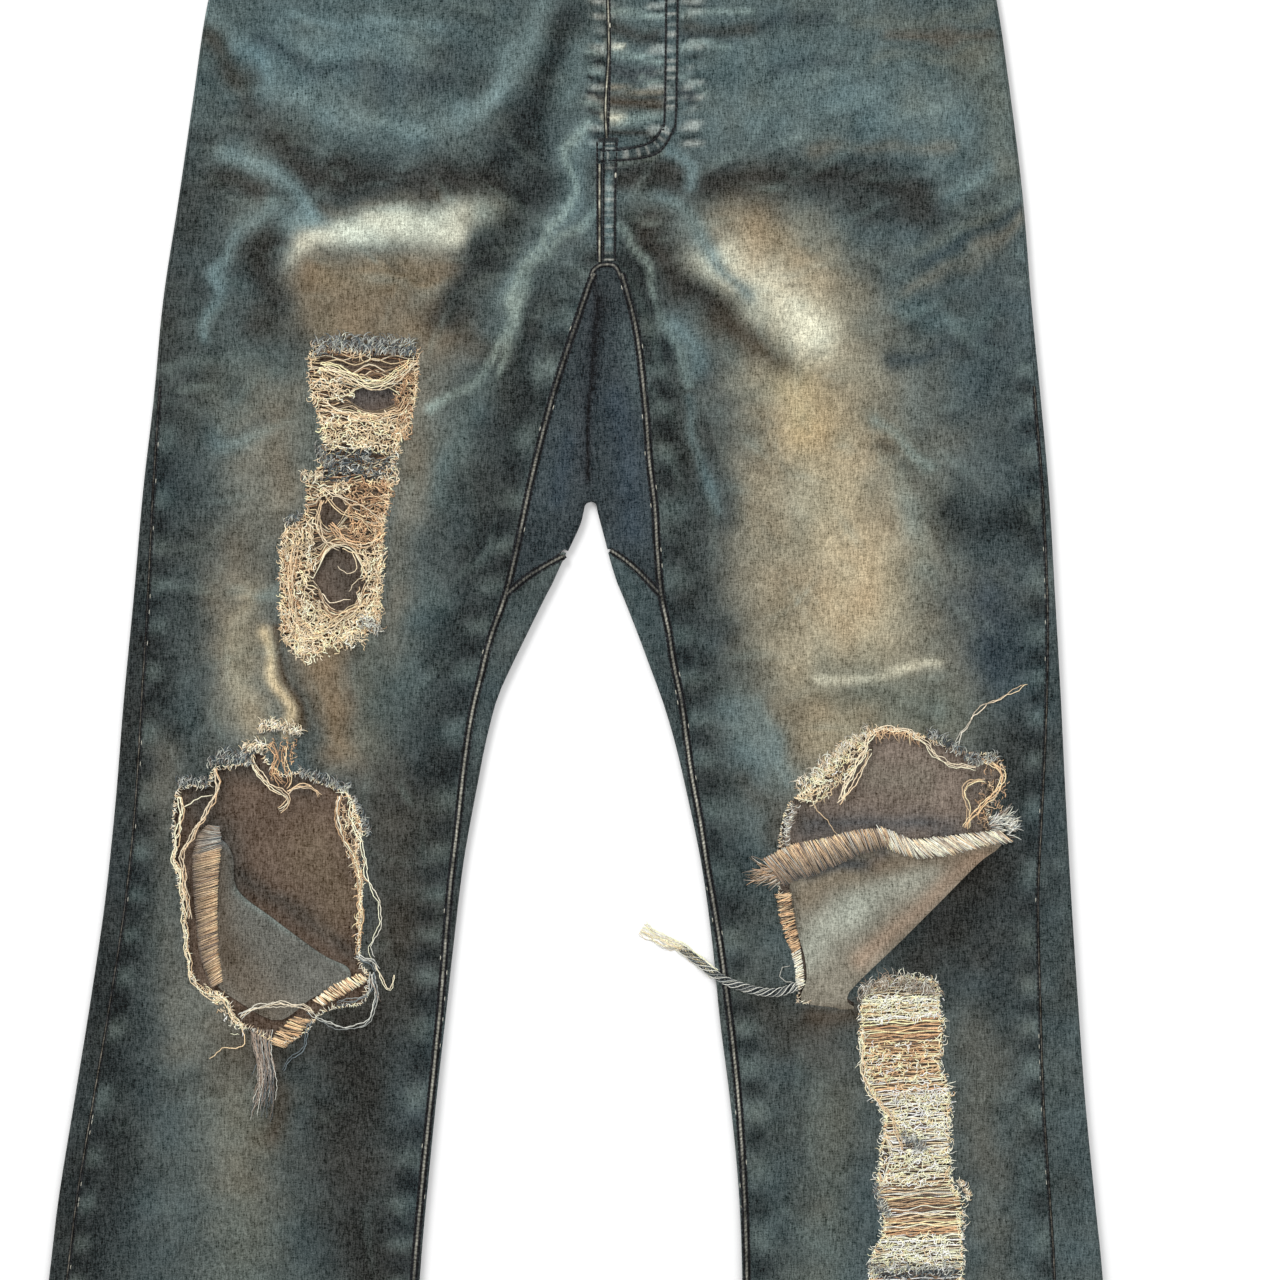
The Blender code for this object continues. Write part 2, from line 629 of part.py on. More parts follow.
def waistband(material):
    """Band in one length, closed at the front with its left end over its right."""
    wall = 2.0
    lap = FLY_WIDTH
    opening = FLY_EDGE[0][1]
    parts = 12
    fold_parts = 6

    def stations(down):
        """Across and height of the outer face and of the inner one, from the left end round."""
        left_x = outer_edge(LEFT, down) - SIDE_FOLD
        right_x = outer_edge(RIGHT, down) + SIDE_FOLD
        top = 2 * SIDE_FOLD
        rows = []
        for k in range(parts + 1):
            x = opening + (left_x - opening) * (k / parts) ** 1.2
            lift = (wall + SEAM_GAP) * min(max(1 - (x - opening - lap - 3) / 30, 0.0), 1.0)
            rows.append((x, top + lift, x, top + lift - wall))
        for k in range(1, fold_parts):
            angle = math.pi * k / fold_parts
            rows.append((left_x + SIDE_FOLD * math.sin(angle), SIDE_FOLD * (1 + math.cos(angle)),
                         left_x + (SIDE_FOLD - wall) * math.sin(angle),
                         SIDE_FOLD + (SIDE_FOLD - wall) * math.cos(angle)))
        for k in range(parts + 1):
            x = left_x + (right_x - left_x) * k / parts
            rows.append((x, 0.0, x, wall))
        for k in range(1, fold_parts):
            angle = math.pi * k / fold_parts
            rows.append((right_x - SIDE_FOLD * math.sin(angle), SIDE_FOLD * (1 - math.cos(angle)),
                         right_x - (SIDE_FOLD - wall) * math.sin(angle),
                         SIDE_FOLD - (SIDE_FOLD - wall) * math.cos(angle)))
        for k in range(parts + 1):
            x = right_x + (opening + lap - right_x) * k / parts
            rows.append((x, top, x, top - wall))
        return rows

    count = 3 * parts + 2 * fold_parts
    table = {down: stations(down) for down in (0.0, WAISTBAND / 2, WAISTBAND)}

    def place(u, v, face):
        down = round((v + 0.5) * 2) * WAISTBAND / 2
        x, height, inner_x, inner_height = table[down][round((u + 0.5) * count)]
        return world(x, down, height) if face else world(inner_x, down, inner_height)

    bm = bmesh.new()
    bmesh.ops.create_grid(bm, x_segments=count, y_segments=2, size=0.5)
    give_wall(bm, place)
    return finish("waistband", bm, material)


def strip_on_top(name, x_low, x_high, down_low, down_high, lift, material, step=16):
    """Plain strip lying on the upper face, or level with it where the lift is nothing."""
    outline = cut_line([(x_low, down_low), (x_high, down_low), (x_high, down_high),
                        (x_low, down_high)], step, closed=True)

    def place(x, down, face):
        height = top_height(x, down) - fly_rise(x, down) + lift
        return world(x, down, height - (1 - face) * CLOTH)
    return cut_piece(name, outline, [], [], place, material)


def waist_button(material):
    """Round metal button with a sunk middle."""
    radius, height, rim = 8.5, 3.0, 2.0
    seat = 2 * SIDE_FOLD + 2.0 + SEAM_GAP + 0.3
    bm = bmesh.new()
    made = bmesh.ops.create_cone(bm, cap_ends=True, segments=20, radius1=radius, radius2=radius,
                                 depth=height)
    top = max(bm.faces, key=lambda face: face.calc_center_median().z)
    bmesh.ops.inset_region(bm, faces=[top], thickness=rim)
    bmesh.ops.translate(bm, vec=(0, 0, -0.9), verts=top.verts[:])
    centre = world(FLY_EDGE[0][1] + 15, WAISTBAND / 2, seat + height / 2)
    for vert in made["verts"] + [v for v in top.verts]:
        vert.tag = True
    for vert in bm.verts:
        vert.co = centre + vert.co * MM
    return finish("waist_button", bm, material)


def grow_strand(bm, face, path, widths, heights):
    """Pull one face out along a path into a tapering four-sided strand."""
    centre = face.calc_center_median()
    ahead = face.normal.copy()
    edges = sorted(face.edges, key=lambda edge: edge.calc_length())
    long_edge = edges[-1]
    side = (long_edge.verts[1].co - long_edge.verts[0].co).normalized()
    side = (side - ahead * side.dot(ahead)).normalized()
    rise = ahead.cross(side)
    marks = []
    for vert in face.verts:
        arm = vert.co - centre
        marks.append((math.copysign(0.5, arm.dot(side)), math.copysign(0.5, arm.dot(rise))))
    last = centre
    for point, width, height in zip(path, widths, heights):
        heading = (point - last).normalized()
        turn = ahead.rotation_difference(heading)
        side.rotate(turn)
        rise.rotate(turn)
        face = bmesh.ops.extrude_discrete_faces(bm, faces=[face])["faces"][0]
        for vert, (a, b) in zip(face.verts, marks):
            vert.co = point + side * (a * width * MM) + rise * (b * height * MM)
        ahead, last = heading, point


FRINGE_WIDTH = 1.5


def frayed_edge(name, line, closed, wanted, material):
    """Backing strip along a torn edge, with strands pulled out of its inner or upper faces.

    wanted gives, for a place on the strip, None or a strand: which face it leaves from, its path
    and its widths and heights at the places of that path.
    """
    outer = moved_in(line, SEAM_GAP, closed)
    inner = moved_in(line, SEAM_GAP + FRINGE_WIDTH, closed)
    count = len(line)
    bm = bmesh.new()
    rings = []
    for i in range(count):
        corners = []
        for x, down in (outer[i], inner[i]):
            height = top_height(x, down)
            corners += [bm.verts.new(world(x, down, height)),
                        bm.verts.new(world(x, down, height - CLOTH))]
        rings.append(corners)
    roots = []
    for i in range(count if closed else count - 1):
        a, b = rings[i], rings[(i + 1) % count]
        upper = bm.faces.new((a[0], b[0], b[2], a[2]))
        bm.faces.new((a[1], a[3], b[3], b[1]))
        bm.faces.new((a[0], a[1], b[1], b[0]))
        inward = bm.faces.new((a[2], b[2], b[3], a[3]))
        roots.append({"upper": upper, "inward": inward})
    if not closed:
        first, last = rings[0], rings[-1]
        bm.faces.new((first[0], first[2], first[3], first[1]))
        bm.faces.new((last[0], last[1], last[3], last[2]))
    bmesh.ops.recalc_face_normals(bm, faces=bm.faces[:])
    for i, faces in enumerate(roots):
        a, b = inner[i], inner[(i + 1) % count]
        spot = ((a[0] + b[0]) / 2, (a[1] + b[1]) / 2)
        size = math.hypot(b[0] - a[0], b[1] - a[1])
        inward = (-(b[1] - a[1]) / size, (b[0] - a[0]) / size)
        strand = wanted(i, spot, inward)
        if strand:
            face_name, path, widths, heights = strand
            grow_strand(bm, faces[face_name], [world(*p) for p in path], widths, heights)
    return finish(name, bm, material, smooth=False)


def drift(x, down):
    """Slow sideways wander shared by neighbouring threads, so that none crosses another."""
    return 1.1 * math.sin(down * 0.11 + x * 0.17) + 0.6 * math.sin(x * 0.31 + 1.3)


def ladder(loop, pitch, bare):
    """Threads left across a rip, reaching in from both of its long sides in turn."""
    middle_at = {}

    def opposite(spot, sign):
        reach = 200.0
        for (ax, ad), (bx, bd) in zip(loop, loop[1:] + loop[:1]):
            if (ad > spot[1]) != (bd > spot[1]):
                x = ax + (bx - ax) * (spot[1] - ad) / (bd - ad)
                if sign * (x - spot[0]) > 6:
                    reach = min(reach, sign * (x - spot[0]))
        return reach if reach < 200 else 0.0

    def wanted(i, spot, inward):
        if abs(inward[0]) < 0.75:
            return None
        sign = 1 if inward[0] > 0 else -1
        slot = round(spot[1] / pitch + (0.5 if sign > 0 else 0.0))
        key = (sign, slot)
        if key in middle_at:
            return None
        middle_at[key] = True
        width = opposite(spot, sign)
        for x, down, half_wide, half_tall in bare:
            if abs(spot[1] - down) < half_tall:
                width = min(width, 16.0)
        reach = width * (0.56 + 0.14 * math.sin(slot * 2.1))
        if reach < 5:
            return None
        floor = 2 * CLOTH + 1.0
        start = drift(spot[0], spot[1])
        path = []
        for t in (0.3, 0.65, 1.0):
            x = spot[0] + sign * reach * t
            down = spot[1] + drift(x, spot[1]) - start
            height = top_height(spot[0], spot[1]) - CLOTH / 2
            sag = (height - floor) * math.sin(math.pi * min(t, 0.6) / 1.2)
            path.append((x, down, height - sag + 0.5 * math.sin(slot * 1.7 + 3 * t)))
        return "inward", path, (1.3, 1.0, 0.6), (1.1, 0.9, 0.6)
    return wanted


def short_tufts(every, length, own=None, covered=LENGTH):
    """Frayed ends round a hole, curling up and in, with the long threads given by hand.

    Below the place where a flap covers the hole they lie outwards on the cloth instead.
    """
    own = own or {}

    def wanted(i, spot, inward):
        if i in own:
            return own[i]
        if i % every or min(abs(i - k) for k in [-9, *own]) < 2:
            return None
        if spot[1] > covered:
            outwards = [(spot[0] - inward[0] * k, spot[1] - inward[1] * k) for k in (2.0, 6.0)]
            return laid_thread(outwards, 1.2, 0.4)
        reach = length * (0.75 + 0.35 * math.sin(i * 2.7))
        lean = 0.35 * math.sin(i * 1.9)
        path = []
        for t, lift in ((0.35, 0.5), (0.7, 0.3), (1.0, -0.5)):
            x = spot[0] + (inward[0] - inward[1] * lean * t) * reach * t
            down = spot[1] + (inward[1] + inward[0] * lean * t) * reach * t
            path.append((x, down, top_height(spot[0], spot[1]) - CLOTH / 2 + lift))
        return "inward", path, (1.4, 1.1, 0.6), (1.1, 0.9, 0.5)
    return wanted


def lying_on(x, down):
    """Height of what a loose thread lies on: cloth, a folded side, or the surface beside it."""
    edge = edge_distance(x, down)
    if edge > 5:
        return top_height(x, down)
    return 2 * SIDE_FOLD * min(max(1 + (edge + 3) / 8, 0.0), 1.0)


def laid_thread(places, width, step_up=1.2):
    """A long thread that leaves the strip's upper face and lies over the cloth or the floor."""
    path = []
    for k, (x, down) in enumerate(smooth_line(places, 10)):
        height = lying_on(x, down) + 0.9 + width * 0.4
        if k == 0:
            height += step_up
        path.append((x, down, height))
    count = len(path)
    widths = [width * (1 - 0.35 * k / count) for k in range(count)]
    return "upper", path, widths, [0.75 * size for size in widths]


def nearest(line, x, down):
    return min(range(len(line)), key=lambda i: math.hypot(line[i][0] - x, line[i][1] - down))


def right_flap(material):
    """Loose tongue of cloth inside the right knee's hole, its left edge rolled and frayed."""
    outline = smooth_line(RIGHT_FLAP, 7, closed=True)
    roll = ((-236, 630), (-240, 655), (-238, 682), (-231, 708))

    def place(x, down, face):
        gap = distance_to_line(x, down, roll)[0]
        swell = 2.6 * math.exp(-(gap / 7) ** 2)
        bottom = CLOTH + 0.35
        return world(x, down, bottom + face * (CLOTH + swell))
    inner = lattice(outline, [], 9, 12, 4)
    return cut_piece("knee_flap_right", outline, [], inner, place, material)


def left_flap(torn, hole, material):
    """Cloth below the left knee's hole, its upper edge rolled over and frayed, folded at a slant."""
    strip = SEAM_GAP * 2 + FRINGE_WIDTH + 0.4
    left_edge = [p for p in moved_in(torn, strip, closed=False) if p[1] > 632 and p[0] < 150]
    slant = moved_in(smooth_line(LEFT_KNEE_FOLD, 9), SEAM_GAP, closed=False)
    top = [(x, down + 4) for x, down in smooth_line(LEFT_ROLL_TOP, 9) if 117 < x < 243]
    outline = [p for p in left_edge + top + slant
               if inside(p, hole) and clear_of(p, [hole], 0.8 * SEAM_GAP)]
    if area(outline) < 0:
        outline.reverse()
    roll = [(x, down + 9) for x, down in LEFT_ROLL_TOP]

    def place(x, down, face):
        gap = distance_to_line(x, down, roll)[0]
        swell = 3.2 * math.exp(-(gap / 6) ** 2)
        return world(x, down, top_height(x, down) - CLOTH + face * (CLOTH + swell))
    inner = lattice(outline, [], 9, 11, 4)
    return cut_piece("knee_flap_left", outline, [], inner, place, material)


def build():
    for item in list(bpy.context.scene.objects):
        bpy.data.objects.remove(item)
    denim = fabric("worn_denim", (0.085, 0.125, 0.15), 0.85)
    dark = fabric("dark_denim", (0.045, 0.07, 0.09), 0.85)
    thread = fabric("cream_thread", (0.68, 0.52, 0.36), 0.9)
    metal = fabric("aged_brass", (0.36, 0.25, 0.13), 0.45, 0.9)

    thigh = smooth_line(THIGH_RIP, 5.4, closed=True)
    right_knee = smooth_line(RIGHT_KNEE_HOLE, 5.4, closed=True)
    shin = smooth_line(SHIN_RIP, 5.4, closed=True)
    knee_top = smooth_line(LEFT_KNEE_TOP, 5.4)
    left_knee = knee_top + smooth_line(LEFT_KNEE_FOLD, 9)
    front(RIGHT, [thigh, right_knee], denim)
    front(LEFT, [left_knee, shin], denim)
    back(RIGHT, denim)
    back(LEFT, denim)
    gusset(dark)
    waistband(denim)
    fly = FLY_EDGE[0][1]
    strip_on_top("fly_underlap", fly + 2.4, fly + FLY_WIDTH, WAISTBAND + SEAM_GAP, FLY_END, 0.0, dark)
    loops = {"belt_loop_right": -112, "belt_loop_left": 118}
    for name, x in loops.items():
        strip_on_top(name, x - 6, x + 6, 1.5, WAISTBAND + 6, CLOTH + SEAM_GAP, denim)
    waist_button(metal)
    right_flap(denim)
    left_flap(knee_top, left_knee, denim)

    frayed_edge("fringe_thigh", thigh, True,
                ladder(thigh, 5.8, ((-140, 353, 14, 10), (-160, 422, 12, 12), (-167, 463, 14, 20))),
                thread)
    frayed_edge("fringe_shin", shin, True, ladder(shin, 5.8, ()), thread)
    lock = nearest(right_knee, -213, 745)
    knot = nearest(right_knee, -145, 704)
    own = {lock: laid_thread(((-213, 748), (-211, 760), (-207, 778), (-208, 798)), 2.2),
           knot: laid_thread(((-144, 706), (-139, 712), (-132, 717), (-126, 710)), 1.4)}
    frayed_edge("fringe_knee_right", right_knee, True, short_tufts(2, 5.5, own), thread)
    torn = knee_top[1:-1]
    yarn = nearest(torn, 122, 717)
    loose = nearest(torn, 221, 571)
    yarn_places = ((119, 718.5), (110, 720), (99, 721), (86, 717), (76, 711), (67, 705), (58, 699),
                   (43, 690), (26, 681))
    loose_places = ((222, 567), (230, 553), (241, 542), (254, 536), (267, 528))
    own = {yarn: laid_thread(yarn_places, 4.6, 0.6), loose: laid_thread(loose_places, 1.2)}
    frayed_edge("fringe_knee_left", torn, False, short_tufts(2, 6, own, 612), thread)


build()
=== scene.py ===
# %% [markdown]
# Ripped jeans, laid flat: the looks of a worn pair of denim jeans.
# The solids of the garment come from the imported frame. This lesson lays a fine cloth shell over each
# pattern piece, tears it, frays it, stitches it and gives it its worn indigo colour, with painted shade
# and highlights in its folds, seams and holes. The cells go in a maker's order: measures, cloth, seams,
# rips, threads, trims, floor and camera.

# %% Load the frame
import math
import random

import bmesh
import bpy
import numpy as np
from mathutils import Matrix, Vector

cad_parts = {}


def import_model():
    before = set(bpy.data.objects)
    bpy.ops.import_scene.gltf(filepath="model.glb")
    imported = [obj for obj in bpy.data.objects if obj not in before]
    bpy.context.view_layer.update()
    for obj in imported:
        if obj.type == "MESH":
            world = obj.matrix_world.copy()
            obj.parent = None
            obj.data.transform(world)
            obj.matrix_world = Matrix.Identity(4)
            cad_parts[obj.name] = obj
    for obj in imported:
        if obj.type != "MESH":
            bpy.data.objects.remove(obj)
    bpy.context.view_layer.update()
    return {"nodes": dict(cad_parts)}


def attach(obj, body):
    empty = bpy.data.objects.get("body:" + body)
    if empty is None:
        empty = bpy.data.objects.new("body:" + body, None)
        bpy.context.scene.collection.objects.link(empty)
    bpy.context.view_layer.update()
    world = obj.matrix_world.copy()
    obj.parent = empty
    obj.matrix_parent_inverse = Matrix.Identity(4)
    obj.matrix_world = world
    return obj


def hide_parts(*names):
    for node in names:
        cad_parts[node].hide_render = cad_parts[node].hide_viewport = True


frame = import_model()
print("solids to dress:", sorted(frame["nodes"]))

# %% [markdown]
# The garment is measured in millimetres from its centre front (x, negative on the wearer's right
# leg) and down from the waist's top edge. A cutter reads the same tables for every piece: where each
# leg's edges lie, where the seams run, and where the cloth folds. A smooth curve through a few rows
# is easier to correct than a long list of points.

# %% Measures of the garment
MM = 0.001
CLOTH = 1.2
SEAM_GAP = 0.3
SIDE_FOLD = 2.8
LYING = 4.4
LENGTH = 1079.0
WAISTBAND = 40.0
HEM = 14.0
HEM_TOP = LENGTH - HEM
HEM_RISE = 0.8
CROTCH = (-7.5, 409.0)
GUSSET_TIP = 270.0
GUSSET_CORNER = 474.0
SPLIT_START = 447.0
FLY_END = 200.0
FLY_WIDTH = 40.0
FLY_RISE = 1.6
RIGHT, LEFT = -1, 1

# down, outer edge, distance of the outseam from that edge
OUTER_EDGE = {
    RIGHT: (
        (0, -217, 2), (40, -225.5, 2), (105, -243, 2), (167, -252.5, 2), (229, -261.5, 2),
        (291, -271, 2), (353, -277, 3.2), (409, -283.5, 6), (477, -289.5, 8.6), (539, -295.5, 10.8),
        (601, -300.5, 12), (663, -307, 12.4), (725, -316, 12), (787, -326, 11.5), (849, -336, 11),
        (899, -342, 10.8), (989, -353.5, 10.6), (1079, -364.5, 10.5)),
    LEFT: (
        (0, 219, 2), (40, 232.5, 2), (105, 246, 2), (167, 255, 2), (229, 262.5, 2),
        (291, 267.5, 2), (353, 273.5, 3.3), (409, 278.5, 3.7), (477, 282.5, 4.7), (539, 286, 8.5),
        (601, 289, 14), (663, 292.5, 20.3), (725, 296.5, 23), (787, 301, 25.5), (849, 307, 27.5),
        (899, 312, 29.5), (989, 317, 32), (1079, 322, 34)),
}

# down, inner edge of the leg below the crotch
INNER_EDGE = {
    RIGHT: (
        (409, -7.5), (418, -9.3), (430, -12), (442, -17.4), (449, -21.4), (465, -28.5), (477, -34.7),
        (502, -47), (527, -59), (539, -64), (564, -70.5), (589, -75.5), (639, -84.5), (688, -90.5),
        (738, -96), (787, -101.5), (837, -106.5), (887, -111), (989, -118), (1079, -123.5)),
    LEFT: (
        (409, -7.5), (414, -4.9), (422, -1.9), (435, 1.7), (449, 5.3), (465, 10), (477, 15),
        (502, 24.8), (527, 34), (539, 38.5), (564, 46), (589, 52), (639, 62.5), (688, 69.4),
        (738, 74.4), (787, 80.6), (837, 85.6), (887, 88), (989, 89.5), (1079, 90)),
}

# down, x of the seam from the gusset's tip down its side and on as the inseam
INSEAM = {
    RIGHT: (
        (270, 0), (278, -5), (308, -15.5), (343, -27), (372, -35), (401, -42.2), (433, -49),
        (454, -53.5), (474, -58.5), (502, -68.2), (525, -74), (549, -79.6), (580, -84.2), (620, -88.6),
        (657, -93), (724, -98.5), (782, -104.3), (841, -110.4), (899, -115.5), (989, -121.6),
        (1079, -127.4)),
    LEFT: (
        (270, 11.2), (278, 14.3), (308, 22.1), (343, 26.7), (368, 29), (393, 30.8), (419, 33.9),
        (447, 35.6), (474, 38), (498, 42.8), (515, 45.3), (539, 50.2), (582, 56.2), (615, 62.2),
        (642, 66.3), (680, 72.8), (719, 78.2), (780, 85.2), (849, 89.6), (899, 91), (989, 92.3),
        (1079, 93)),
}

# down, x of the opening edge of the front and of the rise seam below it
FLY_EDGE = ((40, 3.6), (105, 4), (138, 4.5), (170, 2.5), (189, 3), (216, 5), (270, 5.6))
WAIST_OPENING = FLY_EDGE[0][1]


def along(rows, key, place):
    """Read one column of a table at many places, on a smooth curve through its rows."""
    table = np.array(rows, float)
    at, value = table[:, 0], table[:, key]
    slope = np.empty(len(at))
    slope[1:-1] = (value[2:] - value[:-2]) / (at[2:] - at[:-2])
    slope[0] = (value[1] - value[0]) / (at[1] - at[0])
    slope[-1] = (value[-1] - value[-2]) / (at[-1] - at[-2])
    place = np.clip(np.asarray(place, float), at[0], at[-1])
    i = np.clip(np.searchsorted(at, place, side="right") - 1, 0, len(at) - 2)
    step = at[i + 1] - at[i]
    t = (place - at[i]) / step
    rise = value[i + 1] - value[i]
    near, far = slope[i] * step, slope[i + 1] * step
    return value[i] + near * t + (3 * rise - 2 * near - far) * t ** 2 + (near + far - 2 * rise) * t ** 3


def outer_edge(side, down):
    return along(OUTER_EDGE[side], 1, down)


def inner_edge(side, down):
    """Inner edge of a leg; above the crotch the backs meet at the centre instead."""
    down = np.asarray(down, float)
    blend = np.clip((CROTCH[1] - down) / 30, 0, 1)
    above = CROTCH[0] + (-side * SIDE_FOLD - CROTCH[0]) * blend
    return np.where(down >= CROTCH[1], along(INNER_EDGE[side], 1, down), above)


def outseam(side, down):
    return outer_edge(side, down) - side * along(OUTER_EDGE[side], 2, down)


def inseam(side, down):
    down = np.asarray(down, float)
    seam = along(INSEAM[side], 1, down)
    limit = inner_edge(side, down) + side * 2.0
    held = np.maximum(seam, limit) if side == LEFT else np.minimum(seam, limit)
    return np.where(down < 480, seam, held)


def fly_edge(down):
    return along(FLY_EDGE, 1, down)


MID_X = float(outer_edge(RIGHT, LENGTH) + outer_edge(LEFT, LENGTH)) / 2
MID_DOWN = LENGTH / 2
print("garment centre: x", round(MID_X, 1), "mm, down", MID_DOWN, "mm")


def world(x, down, height):
    """Places in the frame, in metres, as rows of an array."""
    x, down, height = np.broadcast_arrays(x, down, height)
    return np.stack([(x - MID_X) * MM, (MID_DOWN - down) * MM, height * MM], axis=-1)


# %% [markdown]
# Laid denim keeps the folds of the last wearing: long soft ridges from the crotch, whiskers at the
# hip, and small sharp creases between them. Each one is a short line on the cloth with a half width
# and a rise, and its height falls away from the line like a bell. The large ones are in the solids
# too, and the small ones only show on the fine shell, which has a point every three millimetres.

# %% Folds and creases
# half width, rise, then places along the crest (x, down)
FOLDS = {
    "right_thigh_ridge": (9, 4.2, (-184, 257), (-154, 248), (-117, 244), (-79, 249)),
    "right_hip_hollow": (15, -1.1, (-170, 211), (-110, 204), (-57, 204)),
    "right_fly_crease": (7, 1.6, (-29, 122), (-57, 166), (-78, 176)),
    "right_pocket_crease": (6, 1.4, (-238, 115), (-213, 152)),
    "right_side_crease": (7, 2.2, (-209, 248), (-229, 277), (-240, 303)),
    "right_crotch_fold": (7, 2.8, (-12, 231), (-43, 267), (-69, 306), (-82, 336), (-113, 365)),
    "right_gusset_fold": (5, 1.6, (-10, 262), (-38, 281), (-59, 312), (-63, 345)),
    "right_knee_pleat": (9, 3.4, (-199, 508), (-194, 535), (-187, 562)),
    "right_shin_roll": (34, 1.6, (-215, 790), (-232, 860), (-240, 980)),
    "left_thigh_ridge": (8, 3.8, (15, 224), (46, 244), (76, 277), (110, 304), (138, 327)),
    "left_thigh_hollow": (7, -1.1, (36, 258), (75, 289), (110, 318), (131, 336)),
    "left_gusset_fold": (5, 1.9, (15, 256), (30, 274), (39, 304), (48, 336), (60, 400), (67, 425)),
    "left_whisker_high": (7, 2.2, (249, 234), (215, 255), (179, 274)),
    "left_whisker_low": (6, 1.6, (240, 262), (184, 293)),
    "left_thigh_crease": (7, 1.6, (171, 363), (187, 375), (203, 392)),
    "left_knee_crease": (6, 1.5, (142, 529), (175, 521), (207, 518)),
    "left_flap_crease": (8, 2.6, (233, 630), (196, 668), (151, 716)),
    "left_shin_roll": (30, 1.4, (140, 760), (146, 850), (150, 980)),
}
CREASES = {
    "right_hip_high": (4, 0.7, (-225, 128), (-190, 140), (-150, 143)),
    "right_hip_mid": (4, 0.6, (-236, 168), (-200, 190), (-176, 212)),
    "right_hip_cross": (3.5, 0.6, (-120, 112), (-96, 150), (-88, 186)),
    "right_ridge_foot": (4, -0.7, (-180, 272), (-140, 262), (-96, 262)),
    "right_ridge_split": (3, 0.7, (-112, 229), (-84, 222), (-52, 223)),
    "right_side_low": (3.5, 0.7, (-262, 330), (-232, 345), (-214, 371)),
    "right_side_fan": (3, 0.6, (-256, 352), (-222, 392), (-212, 430)),
    "right_crotch_high": (3, 0.9, (-8, 212), (-34, 236), (-56, 272)),
    "right_crotch_mid": (3, 0.8, (-20, 246), (-50, 280), (-72, 330)),
    "right_inner_fan": (4, 0.7, (-66, 352), (-92, 380), (-104, 418)),
    "right_inner_low": (4, 0.6, (-64, 420), (-88, 452), (-96, 490)),
    "right_knee_side": (5, 0.8, (-288, 520), (-262, 552), (-256, 590)),
    "right_knee_inner": (4, 0.7, (-136, 585), (-118, 560), (-98, 548)),
    "right_below_knee": (5, 0.7, (-140, 748), (-168, 764), (-196, 770)),
    "right_pleat_edge": (2.2, 1.3, (-197, 497), (-193, 520), (-188, 545), (-186, 566)),
    "right_shin_side": (5, 0.7, (-318, 770), (-300, 800), (-292, 850)),
    "gusset_pleat": (2.2, -1.5, (-1, 290), (-5, 317), (-7.4, 349), (-9.2, 390), (-7.6, 406)),
    "gusset_ridge": (3, 0.9, (4, 296), (1, 330), (-2, 365), (-3, 392)),
    "left_fly_side": (4, 0.7, (62, 118), (84, 140), (96, 176)),
    "left_hip_high": (4, 0.7, (240, 140), (206, 150), (170, 148)),
    "left_hip_mid": (4, 0.7, (252, 196), (220, 206), (190, 224)),
    "left_whisker_three": (4, 0.9, (252, 214), (222, 232), (196, 246)),
    "left_whisker_four": (4, 0.8, (236, 318), (208, 328), (184, 331)),
    "left_ridge_foot": (3, 0.8, (30, 240), (58, 270), (92, 300)),
    "left_inner_fan": (3.5, 0.7, (34, 330), (58, 372), (78, 398)),
    "left_inner_low": (4, 0.7, (42, 440), (64, 470), (74, 500)),
    "left_side_fan": (4, 0.8, (262, 366), (232, 384), (214, 410)),
    "left_knee_high": (5, 0.7, (120, 552), (96, 536), (70, 532)),
    "left_knee_side": (5, 0.7, (272, 560), (262, 600), (262, 640)),
    "left_below_flap": (4, 0.8, (96, 742), (118, 738), (150, 742)),
    "left_shin_side": (5, 0.7, (262, 720), (246, 752), (240, 800)),
    "left_shin_inner": (5, 0.6, (98, 800), (118, 830), (124, 880)),
    "right_hem_wave": (7, 0.8, (-340, 1030), (-300, 1018), (-262, 1026)),
    "left_hem_wave": (7, 0.8, (120, 1024), (170, 1016), (230, 1030)),
}


def line_distance(x, down, points):
    """Distance of many places to one line, and how far along it each is, from 0 to 1."""
    nearest = np.full(np.shape(x), 1e9)
    place = np.zeros(np.shape(x))
    count = len(points) - 1
    for i in range(count):
        (ax, ad), (bx, bd) = points[i], points[i + 1]
        length = (bx - ax) ** 2 + (bd - ad) ** 2
        t = np.clip(((x - ax) * (bx - ax) + (down - ad) * (bd - ad)) / length, 0, 1)
        gap = np.hypot(x - ax - t * (bx - ax), down - ad - t * (bd - ad))
        closer = gap < nearest
        nearest = np.where(closer, gap, nearest)
        place = np.where(closer, (i + t) / count, place)
    return nearest, place


def crest_rise(x, down, creases):
    total = np.zeros(np.shape(x))
    for half_width, rise, *crest in creases.values():
        gap, place = line_distance(x, down, crest)
        fade = np.minimum(1.0, 0.35 + 3.5 * place * (1 - place))
        total += rise * fade * np.exp(-(gap / half_width) ** 2)
    return total


def edge_distance(x, down):
    """Distance from the nearest folded side of the garment."""
    hip = np.minimum(x - outer_edge(RIGHT, down), outer_edge(LEFT, down) - x)
    hip = np.minimum(hip, np.hypot(x - CROTCH[0], down - CROTCH[1]))
    right = np.minimum(x - outer_edge(RIGHT, down), inner_edge(RIGHT, down) - x)
    left = np.minimum(outer_edge(LEFT, down) - x, x - inner_edge(LEFT, down))
    between = (inner_edge(RIGHT, down) + inner_edge(LEFT, down)) / 2
    return np.where(down < CROTCH[1], hip, np.where(x < between, right, left))


def fly_rise(x, down):
    across = x - fly_edge(down)
    beside = np.clip(1 - (across - FLY_WIDTH - 3) / 25, 0, 1)
    below = np.clip(1 - (down - FLY_END - 3) / 40, 0, 1)
    return np.where(across < 0, 0.0, FLY_RISE * np.minimum(beside, below))


